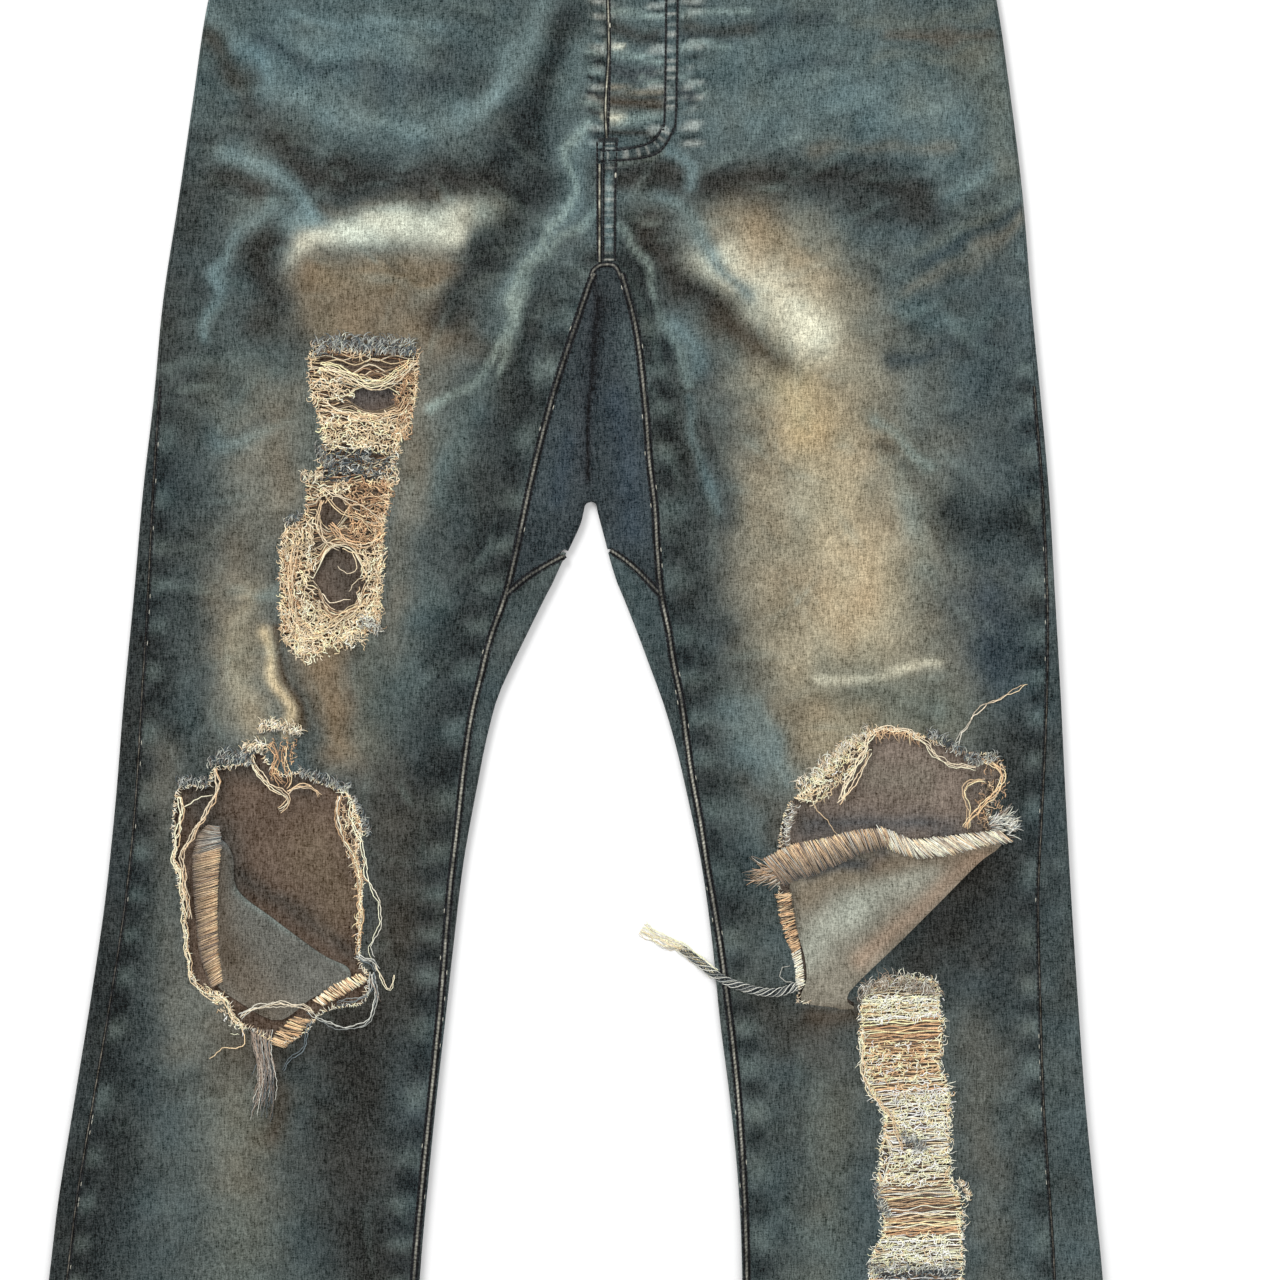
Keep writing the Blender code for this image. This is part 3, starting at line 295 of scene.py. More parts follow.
# seam, how far down its gathers start, then where their rubbed spots start and how far they reach
GATHERED_SEAMS = ((outseam, 330, 330, 9), (inseam, 300, 290, 13))


def puckers(x, down):
    """Small waves where a tight seam gathers the cloth beside it."""
    total = np.zeros(np.shape(x))
    for side in (RIGHT, LEFT):
        for seam, top, _, _ in GATHERED_SEAMS:
            gap = np.abs(x - seam(side, down))
            wave = np.sin(down * 0.29 + side * 2 + 1.7 * np.sin(down * 0.043 + side))
            total += np.where(down > top, 0.34 * wave * np.exp(-((gap - 5) / 5) ** 2), 0)
    gap = np.abs(x - fly_edge(down) - 20)
    wave = np.sin(down * 0.42 + 2.1 * np.sin(down * 0.06))
    total += np.where(down < 215, 0.3 * wave * np.exp(-((gap - 18) / 6) ** 2), 0)
    total += np.where(down > 1020, 0.4 * np.sin(x * 0.33 + 2 * np.sin(x * 0.05))
                      * np.exp(-((down - HEM_TOP + 5) / 10) ** 2), 0)
    return total


def slack(x, down):
    """Slow unevenness of cloth that was pressed by hand and not ironed."""
    return (0.35 * np.sin(x * 0.043 + down * 0.021 + 0.8) * np.sin(down * 0.031 - x * 0.017)
            + 0.22 * np.sin(x * 0.11 - down * 0.052) * np.sin(down * 0.083 + 1.1)
            + 0.10 * np.sin(x * 0.27 + 1.3 * np.sin(down * 0.07)))


MAP_STEP = 1.5
MAP_LEFT, MAP_RIGHT = -380.0, 342.0
map_x = np.arange(MAP_LEFT, MAP_RIGHT, MAP_STEP)
map_down = np.arange(0.0, LENGTH + 2, MAP_STEP)


def read_map(values, x, down):
    """Read between the points of a map that is worked out once for the whole garment."""
    column = np.clip((np.asarray(x, float) - map_x[0]) / MAP_STEP, 0, len(map_x) - 1.001)
    row = np.clip((np.asarray(down, float) - map_down[0]) / MAP_STEP, 0, len(map_down) - 1.001)
    i, j = column.astype(int), row.astype(int)
    a, b = column - i, row - j
    upper = values[j, i] * (1 - a) + values[j, i + 1] * a
    lower = values[j + 1, i] * (1 - a) + values[j + 1, i + 1] * a
    return upper * (1 - b) + lower * b


def uneven_map(seed, sizes):
    """Smooth unevenness from about -1 to 1, with patches of the given sizes in millimetres."""
    chance = np.random.default_rng(seed)
    across, down = np.meshgrid(map_x - map_x[0], map_down)
    total = np.zeros(across.shape)
    for size in sizes:
        count_down, count_across = int(LENGTH / size) + 4, int((MAP_RIGHT - MAP_LEFT) / size) + 4
        knots = chance.uniform(-1, 1, (count_down, count_across))
        i, j = (down / size).astype(int), (across / size).astype(int)
        u, v = across / size - j, down / size - i
        u, v = u * u * (3 - 2 * u), v * v * (3 - 2 * v)
        total += ((knots[i, j] * (1 - u) + knots[i, j + 1] * u) * (1 - v)
                  + (knots[i + 1, j] * (1 - u) + knots[i + 1, j + 1] * u) * v)
    return total * 1.3 / len(sizes) ** 0.5


def crumple_angle(x, down, chance):
    """Small creases run round the hip, out from the crotch, and across the knees."""
    outward = math.atan2(down - 250, x - math.copysign(12, x) + 0.01)
    if down < 215:
        return math.copysign(0.35, x) * chance.uniform(-1.6, 0.6) + chance.gauss(0, 0.3)
    if down < 470:
        return outward + chance.gauss(0, 0.45)
    return chance.choice((0.0, 0.0, 1.4)) + chance.gauss(0, 0.5)


def make_crumple_map(count):
    chance = random.Random(19)
    total = np.zeros((len(map_down), len(map_x)))
    for _ in range(count):
        x, down = chance.uniform(-350, 310), chance.triangular(WAISTBAND + 4, HEM_TOP - 5, 230)
        angle = crumple_angle(x, down, chance)
        length, half = chance.uniform(7, 26), chance.uniform(1.5, 3.6)
        rise = chance.uniform(0.12, 0.62) * (1.0 if down < 480 else 0.6)
        bow = chance.uniform(-0.012, 0.012)
        i, j = int((x - map_x[0]) / MAP_STEP), int(down / MAP_STEP)
        reach = int((length * 1.6 + 8) / MAP_STEP)
        rows = slice(max(j - reach, 0), j + reach)
        columns = slice(max(i - reach, 0), i + reach)
        far_x, far_down = np.meshgrid(map_x[columns] - x, map_down[rows] - down)
        along_it = far_x * math.cos(angle) + far_down * math.sin(angle)
        off_it = far_down * math.cos(angle) - far_x * math.sin(angle) + bow * along_it ** 2
        ridge = np.exp(-(off_it / half) ** 2) - 0.55 * np.exp(-((off_it - 1.7 * half) / half) ** 2)
        total[rows, columns] += rise * ridge * np.exp(-(along_it / length) ** 2)
    return total


crumple_map = make_crumple_map(620)
print("crumples from", round(float(crumple_map.min()), 2), "to", round(float(crumple_map.max()), 2), "mm")


def top_height(x, down, fine=True):
    """Height of the garment's upper face, in millimetres over the floor."""
    x, down = np.broadcast_arrays(np.asarray(x, float), np.asarray(down, float))
    edge = np.maximum(edge_distance(x, down), 0)
    near_side = np.exp(-(edge / 12) ** 2)
    near_waist = np.exp(-(np.maximum(down - WAISTBAND, 0) / 22) ** 2)
    height = LYING + (2 * SIDE_FOLD - LYING) * np.maximum(near_side, near_waist)
    inward = np.minimum(edge / 14, 1) * (1 - near_waist)
    height = height + crest_rise(x, down, FOLDS) * inward
    if fine:
        small = crest_rise(x, down, CREASES) + puckers(x, down) + slack(x, down)
        height = height + (small + read_map(crumple_map, x, down)) * inward
    height = np.maximum(height, 2 * CLOTH + 0.6)
    height = height + HEM_RISE * (down > HEM_TOP)
    curl = np.clip(SIDE_FOLD - edge, 0, SIDE_FOLD)
    height = height - (SIDE_FOLD - np.sqrt(SIDE_FOLD ** 2 - curl ** 2))
    return height + fly_rise(x, down)


# %% [markdown]
# The colour of worn jeans is a map of where they were rubbed, sanded and soaked. Here it also holds
# painted shade and painted highlights: dark strokes in the hollows of folds, in the crotch, beside the
# flaps and inside the holes, and pale ones on some ridges. It is painted the way a laundry does it by
# hand: soft strokes of a few named tones over a mid blue ground, broad ones first. Every stroke is a
# line with a half width and a strength, and the result is stored on the cloth's points as a colour
# attribute, so that it stays with the cloth from every side.

# %% Tones and strokes of the washed colour and of the painted shade
TONES = {
    "ground": (86, 97, 97), "night": (46, 53, 54), "deep": (58, 64, 64), "slate": (70, 81, 84),
    "teal": (92, 107, 107), "pool": (112, 130, 131), "ice": (134, 149, 144), "navy": (60, 76, 88),
    "olive": (76, 76, 70), "char": (62, 61, 57), "umber": (82, 72, 60), "brown": (106, 91, 74),
    "bark": (132, 117, 96), "sage": (112, 117, 108), "stone": (124, 119, 106),
    "sand": (168, 156, 131), "ochre": (186, 166, 128), "tan": (200, 183, 150),
    "cream": (202, 200, 180), "chalk": (226, 226, 206),
    "gusset": (60, 69, 72), "inner_brown": (88, 74, 63), "inner_grey": (116, 104, 94),
    "flap_grey": (98, 98, 92), "flap_pale": (184, 190, 176), "blush": (178, 148, 124),
    "weft_light": (252, 236, 206), "weft": (236, 206, 166), "weft_tan": (188, 152, 116),
    "weft_orange": (226, 186, 142), "frost": (206, 206, 196), "blue_grey": (98, 108, 112),
    "taupe": (142, 126, 112), "navy_thread": (16, 18, 22), "worn_thread": (184, 182, 168),
    "rust": (166, 128, 96), "straw": (252, 228, 184), "smoke": (66, 72, 76),
}
CENTRE_FRONT_PIXEL = 600
WAIST_ABOVE_FRAME = 170
PIXEL = 0.62


def view_place(px, py):
    """Place on the garment, in millimetres, of a place in the photo's frame."""
    return (px - CENTRE_FRONT_PIXEL) * PIXEL, (py + WAIST_ABOVE_FRAME) * PIXEL


# tone, strength, half width, then places along the stroke, in the units of the photo's frame
BROAD_STROKES = {
    "hip_teal": ("teal", 0.6, 110, (230, 40), (600, 60), (990, 60)),
    "right_side": ("deep", 0.8, 66, (164, 200), (148, 450), (126, 700), (103, 900), (78, 1280)),
    "right_side_low": ("deep", 0.9, 42, (140, 660), (118, 850), (98, 1000), (70, 1280)),
    "left_side": ("slate", 0.5, 58, (990, 330), (1010, 520), (1020, 760), (1020, 1000)),
    "left_side_low": ("slate", 0.08, 60, (1030, 900), (1050, 1280)),
    "right_inner": ("deep", 0.75, 42, (520, 330), (492, 470), (470, 620), (445, 780), (430, 950)),
    "right_inner_low": ("slate", 0.75, 34, (425, 960), (418, 1280)),
    "left_inner": ("deep", 0.75, 38, (650, 300), (668, 430), (686, 560), (696, 700), (712, 900)),
    "left_shin": ("slate", 0.32, 80, (800, 1030), (860, 1280)),
    "right_thigh_grey": ("sage", 0.45, 56, (250, 380), (300, 420), (400, 450)),
    "right_thigh_sand": ("stone", 0.6, 34, (252, 430), (248, 520), (244, 620), (244, 730)),
    "right_thigh_low": ("sand", 0.45, 20, (248, 600), (246, 720)),
    "right_knee_fold": ("bark", 0.85, 26, (322, 650), (332, 700), (345, 745)),
    "right_knee_light": ("sage", 0.6, 16, (364, 640), (372, 740)),
    "right_brown": ("bark", 0.95, 34, (322, 285), (380, 285), (432, 275)),
    "right_brown_low": ("bark", 0.8, 30, (330, 330), (400, 335), (440, 330)),
    "right_rip_side": ("stone", 0.6, 20, (424, 360), (412, 470), (402, 560), (392, 640)),
    "right_knee_brown": ("umber", 0.55, 40, (390, 790), (400, 900), (395, 1000)),
    "right_shin_side": ("stone", 0.4, 22, (172, 760), (174, 850), (170, 950), (180, 1050)),
    "right_shin_pale": ("stone", 0.55, 36, (212, 1000), (238, 1090), (246, 1180)),
    "right_shin_mid": ("sage", 0.5, 38, (240, 1120), (246, 1280)),
    "right_shin_under": ("umber", 0.6, 34, (250, 1040), (330, 1020)),
    "right_shin_dark": ("char", 0.9, 52, (360, 1040), (350, 1120), (372, 1280)),
    "left_fade_low": ("sand", 0.7, 84, (800, 380), (836, 470), (848, 560), (852, 640), (856, 720)),
    "left_fade_core": ("tan", 0.22, 46, (816, 420), (842, 520), (850, 610), (856, 700), (850, 760)),
    "left_fade_top": ("sand", 0.65, 44, (756, 236), (790, 262), (812, 300)),
    "left_fade_cream": ("cream", 0.9, 25, (722, 266), (744, 284), (786, 310), (812, 340)),
    "left_inner_edge": ("slate", 0.5, 20, (700, 370), (706, 450), (712, 540), (716, 640)),
    "left_knee_teal": ("pool", 0.55, 24, (735, 700), (748, 760), (752, 800)),
    "left_hip_light": ("pool", 0.55, 40, (760, 90), (840, 90), (930, 110)),
    "left_knee_dark": ("char", 0.6, 40, (1015, 740), (1000, 860), (985, 960)),
    # left_flap_dark is painted shade beside the left knee's flap and under its fold.
    "left_flap_dark": ("char", 0.85, 34, (972, 866), (940, 930), (920, 975)),
    "left_shin_brown": ("umber", 0.45, 34, (770, 1020), (820, 1030), (830, 1060)),
    "left_shin_light": ("sage", 0.5, 30, (824, 1100), (826, 1280)),
    "left_shin_side": ("stone", 0.3, 26, (980, 1040), (990, 1280)),
}
# Strokes along the folds: the pale ones are rubbed whiskers and ridges, partly wear and partly painted
# highlight; the dark ones lie in the folds' hollows and valleys, in the crotch and under the knees and the
# flaps, and are unfaded dye and painted shade together.
FOLD_WEAR_AND_SHADE_STROKES = {
    "left_inner_top": ("night", 0.8, 18, (632, 262), (650, 300), (664, 350)),
    "left_knee_glow": ("sage", 0.85, 36, (840, 684), (885, 690), (930, 720)),
    "left_fade_inner": ("sand", 0.35, 34, (762, 480), (770, 560), (776, 640), (790, 680)),
    "right_crotch_deep": ("night", 0.6, 16, (498, 250), (516, 290), (520, 330)),
    "hip_centre_dark": ("deep", 0.5, 36, (462, 60), (500, 110), (540, 140)),
    "right_leg_deep": ("night", 0.45, 26, (452, 620), (436, 700), (424, 790)),
    "right_hip_streak": ("pool", 0.8, 8, (205, 10), (230, 36), (250, 58), (266, 84)),
    "right_hip_wedge": ("olive", 0.85, 14, (206, 36), (230, 62), (250, 92)),
    "right_hip_shelf": ("pool", 0.6, 14, (264, 94), (306, 98), (352, 124), (410, 130), (459, 130)),
    "right_hip_glow": ("pool", 0.55, 20, (290, 62), (350, 58), (400, 56)),
    "right_hip_crease": ("slate", 0.7, 8, (260, 46), (312, 73), (358, 74)),
    "right_hip_line": ("pool", 0.5, 6, (300, 20), (350, 26), (394, 29), (443, 22)),
    "right_hip_dark": ("slate", 0.75, 15, (378, 84), (408, 82), (440, 72)),
    "right_hip_spot": ("char", 0.75, 22, (254, 116), (272, 130), (288, 138)),
    "right_fly_vee": ("pool", 0.85, 15, (556, 6), (530, 44), (510, 82), (490, 110), (458, 114)),
    "right_fly_dark": ("night", 0.8, 17, (574, 14), (550, 60), (536, 96), (530, 140), (500, 160)),
    "right_fly_pool": ("pool", 0.55, 12, (596, 48), (570, 56), (566, 90)),
    "right_band": ("char", 0.9, 20, (290, 168), (345, 172), (400, 178), (450, 172), (505, 186)),
    "right_band_low": ("umber", 0.6, 10, (320, 204), (380, 198), (440, 192)),
    "right_elbow": ("pool", 0.9, 12, (222, 160), (262, 164), (292, 190), (306, 216)),
    "right_elbow_side": ("pool", 0.7, 12, (306, 216), (284, 226), (262, 206)),
    "right_elbow_dark": ("char", 0.7, 13, (214, 180), (240, 188), (256, 196)),
    "right_line_side": ("pool", 0.8, 6, (266, 200), (240, 238), (222, 276), (211, 324)),
    "right_side_dark_a": ("deep", 0.6, 10, (196, 134), (214, 140)),
    "right_triangle": ("char", 0.85, 17, (262, 246), (266, 282), (276, 310), (256, 320)),
    "right_triangle_low": ("olive", 0.6, 18, (262, 330), (290, 340)),
    "right_ridge": ("chalk", 0.5, 13, (300, 246), (336, 238), (380, 232), (426, 230), (462, 232)),
    "right_ridge_high": ("cream", 0.5, 16, (350, 222), (417, 214), (469, 214), (500, 216)),
    "right_ridge_tail": ("ice", 0.7, 14, (490, 214), (508, 222), (498, 240)),
    "right_crotch_dark": ("night", 0.85, 20, (540, 186), (518, 214), (494, 254), (470, 288), (452, 322)),
    "right_crotch_pool": ("pool", 0.65, 13, (585, 150), (576, 186), (556, 226), (530, 268), (500, 330)),
    "right_crotch_a": ("ice", 0.8, 4.5, (594, 126), (574, 152), (576, 184), (559, 212), (536, 262),
                       (505, 322), (473, 386), (433, 412)),
    "right_crotch_b": ("ice", 0.75, 4.5, (600, 204), (573, 237), (547, 262), (525, 298), (506, 330),
                       (500, 376)),
    "right_inner_pool": ("teal", 0.6, 16, (486, 380), (462, 430), (440, 500)),
    "right_inner_low_pool": ("teal", 0.6, 20, (430, 600), (402, 640), (384, 700)),
    "right_inner_shade": ("night", 0.6, 12, (530, 380), (512, 470), (494, 560)),
    "right_side_pool": ("pool", 0.4, 14, (222, 440), (262, 436), (300, 444)),
    "right_rip_glow": ("stone", 0.8, 26, (286, 400), (286, 440), (280, 500)),
    "right_fold_dark": ("umber", 0.95, 5, (284, 636), (291, 680), (298, 722)),
    "right_fold_light": ("tan", 0.7, 7, (272, 640), (281, 690), (288, 722)),
    "right_knee_under": ("char", 0.6, 16, (304, 1046), (330, 1058), (370, 1020)),
    "right_lock_shade": ("umber", 0.6, 12, (272, 1060), (276, 1110), (270, 1130)),
    "left_fly_band": ("pool", 0.85, 9, (616, 193), (656, 198), (692, 228), (716, 262), (744, 294)),
    "left_valley": ("char", 0.9, 13, (638, 222), (664, 252), (694, 292), (724, 320)),
    "left_valley_brown": ("umber", 0.7, 14, (724, 320), (758, 344), (792, 366)),
    "left_dark_band": ("char", 0.9, 19, (622, 176), (668, 174), (716, 184), (792, 176), (880, 178),
                       (922, 200)),
    "left_dark_band_low": ("char", 0.6, 16, (830, 196), (880, 214), (935, 214)),
    "left_jut": ("pool", 0.7, 7, (668, 158), (696, 166), (690, 184)),
    "left_brown_streak": ("stone", 0.45, 8, (812, 147), (858, 143), (945, 147)),
    "left_hip_dark": ("slate", 0.75, 7, (686, 31), (758, 33), (826, 20)),
    "left_hip_dark_b": ("slate", 0.6, 10, (780, 70), (845, 67)),
    "left_hip_brown": ("brown", 0.5, 8, (892, 36), (945, 32), (995, 30)),
    "left_hip_line": ("sage", 0.45, 7, (858, 24), (930, 18), (958, 12), (998, 3)),
    "left_hip_line_b": ("sage", 0.4, 7, (880, 62), (950, 56), (1005, 44)),
    "left_side_light": ("sage", 0.6, 26, (985, 60), (1000, 120), (1008, 160)),
    "left_pool_spot": ("pool", 0.8, 9, (950, 186), (968, 178), (990, 162)),
    "left_crotch_line": ("ice", 0.75, 4.5, (616, 226), (644, 256), (660, 299), (668, 338), (684, 384)),
    "left_crotch_low": ("pool", 0.6, 5, (684, 400), (690, 440), (707, 506)),
    "left_crotch_pool": ("pool", 0.75, 12, (674, 318), (684, 345), (690, 366)),
    "left_inner_night": ("night", 0.6, 14, (640, 290), (650, 340), (662, 400), (672, 470)),
    "left_whisker_a": ("sage", 0.5, 9, (1022, 190), (958, 226), (912, 252)),
    "left_whisker_b": ("stone", 0.6, 10, (1024, 214), (974, 253), (905, 299)),
    "left_whisker_dark": ("slate", 0.6, 7, (1020, 200), (960, 240), (920, 268)),
    "left_side_dark": ("slate", 0.8, 9, (977, 344), (930, 358), (890, 368)),
    "left_side_pool": ("teal", 0.7, 14, (900, 310), (950, 330), (980, 320)),
    "left_fade_ochre": ("ochre", 0.5, 26, (800, 400), (812, 424)),
    "left_arc": ("ice", 0.6, 6, (877, 417), (905, 440), (933, 468)),
    "left_arc_dark": ("olive", 0.6, 6, (880, 440), (905, 462), (925, 474)),
    "left_fade_edge": ("ice", 0.4, 18, (900, 470), (914, 515), (910, 560)),
    "left_side_night": ("night", 0.7, 22, (955, 520), (995, 525), (1030, 520)),
    "left_side_navy": ("navy", 0.6, 30, (985, 600), (995, 660)),
    "left_knee_line": ("cream", 0.5, 5, (822, 686), (888, 673), (933, 664)),
    "left_knee_pool": ("pool", 0.5, 10, (752, 700), (772, 748), (780, 780)),
    "left_knee_brown": ("umber", 0.5, 16, (740, 780), (770, 810), (780, 840)),
    "left_flap_under": ("umber", 0.7, 12, (820, 1012), (860, 1012)),
}


# The fly's small folds and puckers: the dark strokes in their hollows are painted shade, and the pale ones on
# their tops are partly wear and partly painted highlight; rise_shade is painted shade at the rise's foot.
FLY_STROKES = {
    "fold_a": ("char", 0.8, 8, (612, 28), (640, 36), (656, 34)),
    "fold_b": ("smoke", 0.8, 9, (612, 70), (636, 76), (650, 72)),
    "fold_c": ("umber", 0.85, 7, (610, 102), (640, 104), (660, 106)),
    "fold_d": ("char", 0.85, 3.5, (610, 132), (640, 134), (652, 138)),
    "ridge_a": ("ice", 0.7, 3, (608, 12), (636, 14), (664, 18)),
    "ridge_b": ("chalk", 0.6, 2.4, (608, 44), (616, 45), (624, 48)),
    "ridge_c": ("ice", 0.75, 3.2, (608, 53), (634, 54), (664, 61)),
    "ridge_d": ("ice", 0.6, 2.6, (640, 77), (652, 82), (664, 84)),
    "ridge_e": ("stone", 0.8, 3, (608, 88), (640, 92), (664, 92)),
    "ridge_f": ("cream", 0.7, 5, (608, 118), (622, 119)),
    "ridge_g": ("ice", 0.65, 5, (624, 122), (664, 116)),
    "under_j": ("sage", 0.7, 3, (618, 162), (650, 160), (664, 152)),
    "out_a": ("ice", 0.6, 3, (680, 14), (710, 12), (752, 12)),
    "out_b": ("ice", 0.6, 4, (680, 48), (700, 42), (726, 46)),
    "out_c": ("teal", 0.7, 3, (682, 60), (694, 64), (704, 74)),
    "out_d": ("ice", 0.5, 3, (680, 76), (696, 84), (706, 94)),
    "out_dark": ("olive", 0.7, 7, (686, 26), (716, 32), (750, 30)),
    "out_dark_b": ("smoke", 0.8, 4, (681, 92), (692, 98)),
    "edge_a": ("navy_thread", 0.85, 2.2, (588, 60), (604, 65)),
    "edge_b": ("navy_thread", 0.85, 2.2, (587, 78), (603, 84)),
    "edge_c": ("navy_thread", 0.85, 2.4, (589, 93), (603, 99)),
    "edge_d": ("navy_thread", 0.85, 2.4, (588, 110), (602, 115)),
    "edge_e": ("night", 0.8, 3, (592, 132), (600, 134)),
    "edge_pale": ("ice", 0.5, 2.5, (588, 52), (602, 55)),
    "edge_pale_b": ("ice", 0.5, 2.5, (588, 71), (602, 75)),
    "edge_pale_c": ("ice", 0.5, 2.5, (586, 103), (601, 107)),
    "rise": ("pool", 0.7, 5, (609, 176), (609, 220), (608, 250)),
    "rise_shade": ("night", 0.8, 7, (588, 262), (604, 258), (622, 262)),
}
# Painted light and shade on the backs' inner face where it shows through the holes: dark along the holes'
# edges, along the right flap's fold and under the thigh rip's yarns as painted shadow, and the glows lighter
# where the holes open out as painted light.
HOLE_LIGHT_AND_SHADE_STROKES = {
    "right_top": ("char", 0.7, 12, (205, 786), (230, 776), (262, 776), (310, 790)),
    "right_side": ("char", 0.75, 18, (200, 800), (222, 830), (232, 890)),
    "right_fold": ("char", 0.7, 9, (244, 886), (290, 912), (330, 936), (358, 960)),
    "right_glow": ("bark", 0.35, 26, (316, 850), (340, 905)),
    "left_low": ("smoke", 0.75, 12, (806, 836), (850, 822), (900, 820), (955, 826)),
    "left_side": ("char", 0.6, 10, (790, 800), (802, 830)),
    "left_right": ("char", 0.6, 10, (985, 780), (992, 800), (982, 826)),
    "left_glow": ("stone", 0.5, 16, (880, 770), (930, 782)),
    "thigh_high": ("smoke", 0.6, 16, (350, 392), (400, 392)),
    "thigh_low": ("char", 0.6, 26, (330, 520), (345, 585)),
}


def linear(rgb):
    """A colour read from 0 to 255, as the linear light that Blender mixes."""
    value = np.array(rgb, float) / 255
    return np.where(value <= 0.04045, value / 12.92, ((value + 0.055) / 1.055) ** 2.4)


def one_tone(colour, tone):
    """The same tone at every point of an array of colours."""
    return np.ones_like(colour) * linear(TONES[tone])


def toward(colour, tone, weight):
    """Colours moved toward a tone; a weight of one is the tone itself."""
    return colour + (linear(TONES[tone]) - colour) * weight


BLEACH_LEVEL = 1.34
BLEACH_CONTRAST = 1.34
DYE_DEPTH = 1.12
drift_x, drift_down = uneven_map(3, (46, 17)), uneven_map(4, (46, 17))
rub_map, hue_map = uneven_map(5, (60, 26, 11, 5)), uneven_map(6, (80, 34, 14))


def lay_strokes(colour, x, down, strokes, drift=5.0):
    """Lay strokes of tones; each place is moved a little first, so that no stroke is ruled."""
    moved_x = x + drift * read_map(drift_x, x, down)
    moved_down = down + drift * read_map(drift_down, x, down)
    for tone, strength, half_width, *line in strokes.values():
        gap, _ = line_distance(moved_x, moved_down, [view_place(*point) for point in line])
        weight = strength * np.exp(-(gap / (half_width * PIXEL)) ** 2)
        colour = toward(colour, tone, weight[..., None])
    return colour


def pucker_shade(colour, x, down):
    """Dark and pale spots beside a seam, where its gathers were rubbed pale on their tops, with painted shade
    in the hollows between them; rungs of the same beside the fly.
    """
    for side in (RIGHT, LEFT):
        for seam, _, top, reach in GATHERED_SEAMS:
            gap = side * (seam(side, down) - x) if seam is outseam else side * (x - seam(side, down))
            phase = down * 0.20 + 1.9 * np.sin(down * 0.031 + side * 2) + side
            spot = np.sin(phase) * np.exp(-((gap - reach * 0.7) / (reach * 0.7)) ** 2) * (down > top)
            colour = toward(colour, "night", np.clip(spot, 0, 1)[..., None] * 0.7)
            colour = toward(colour, "ice", np.clip(-spot, 0, 1)[..., None] * 0.26)
    across = x - fly_edge(down)
    beside_fly = np.minimum(np.abs(across + 3), np.abs(np.abs(across - 43) - 11))
    lean = down + 0.12 * np.abs(across - 20)
    rungs = np.sin(lean * 0.62 + 1.7 * np.sin(lean * 0.11)) * np.exp(-(beside_fly / 5) ** 2) * (down < 195)
    rungs *= np.clip(0.75 + 0.6 * np.sin(lean * 0.23 + 1), 0, 1)
    colour = toward(colour, "night", np.clip(rungs, 0, 0.6)[..., None])
    return toward(colour, "frost", np.clip(-rungs, 0, 0.28)[..., None])


def wash_and_shade_colour(x, down):
    """Colour of the washed cloth at many places, with its painted shade and highlights."""
    colour = np.ones(np.shape(x) + (3,)) * linear(TONES["ground"])
    colour = lay_strokes(colour, x, down, BROAD_STROKES)
    colour = lay_strokes(colour, x, down, FOLD_WEAR_AND_SHADE_STROKES)
    colour = pucker_shade(colour, x, down)
    colour = lay_strokes(colour, x, down, FLY_STROKES, drift=1.0)
    # The small creases' crests are painted paler, partly as rubbed wear and partly as painted highlight, and
    # the hollows beside them darker, as painted shade.
    crest = read_map(crumple_map, x, down)[..., None]
    colour = toward(colour, "ice", np.clip(crest * 0.42, 0, 0.4))
    colour = toward(colour, "night", np.clip(-crest * 0.9, 0, 0.5))
    hue = read_map(hue_map, x, down)[..., None] * np.array([0.05, -0.01, -0.05])
    colour = np.maximum(colour * (1 + 0.14 * read_map(rub_map, x, down)[..., None] + hue), 0.004)
    brightness = colour @ np.array([0.21, 0.72, 0.07])
    colour = np.maximum(brightness[..., None] + (colour - brightness[..., None]) * DYE_DEPTH, 0.003)
    return colour * (BLEACH_LEVEL * brightness ** (BLEACH_CONTRAST - 1))[..., None]


def paint(mesh, shade=None):
    """Store the washed colour with its painted shade on a mesh's points; shade may change the colours by
    place and height.
    """
    count = len(mesh.vertices)
    places = np.empty(count * 3)
    mesh.vertices.foreach_get("co", places)
    places = places.reshape(-1, 3) / MM
    x, down, height = places[:, 0] + MID_X, MID_DOWN - places[:, 1], places[:, 2]
    colour = wash_and_shade_colour(x, down)
    if shade:
        colour = shade(colour, x, down, height)
    layer = mesh.color_attributes.new(name="wash_and_shade", type="FLOAT_COLOR", domain="POINT")
    layer.data.foreach_set("color", np.column_stack([colour, np.ones(count)]).ravel())


# %% [markdown]
# Denim is a twill: dark warp yarns run down the leg and pale weft yarns cross under them. From a
# step away it reads as fine streaks along the leg with short pale slubs across. One node group makes
# that grain from stretched noise on Object coordinates and hands out a colour, a roughness and a
# height. The group is used by every cloth material with its own values.

# %% Denim grain group
def new_group(name, inputs, outputs):
    group = bpy.data.node_groups.new(name, "ShaderNodeTree")
    for label, kind, value in inputs:
        socket = group.interface.new_socket(name=label, in_out="INPUT", socket_type=kind)
        socket.default_value = value
    for label, kind in outputs:
        group.interface.new_socket(name=label, in_out="OUTPUT", socket_type=kind)
    return group, group.nodes.new("NodeGroupInput"), group.nodes.new("NodeGroupOutput")


def node(tree, kind, inputs=None, **settings):
    """Add a node, set its settings and its inputs; an input that is a socket gets linked."""
    made = tree.nodes.new(kind)
    for key, value in settings.items():
        setattr(made, key, value)
    for key, value in (inputs or {}).items():
        if isinstance(value, bpy.types.NodeSocket):
            tree.links.new(value, made.inputs[key])
        else:
            made.inputs[key].default_value = value
    return made


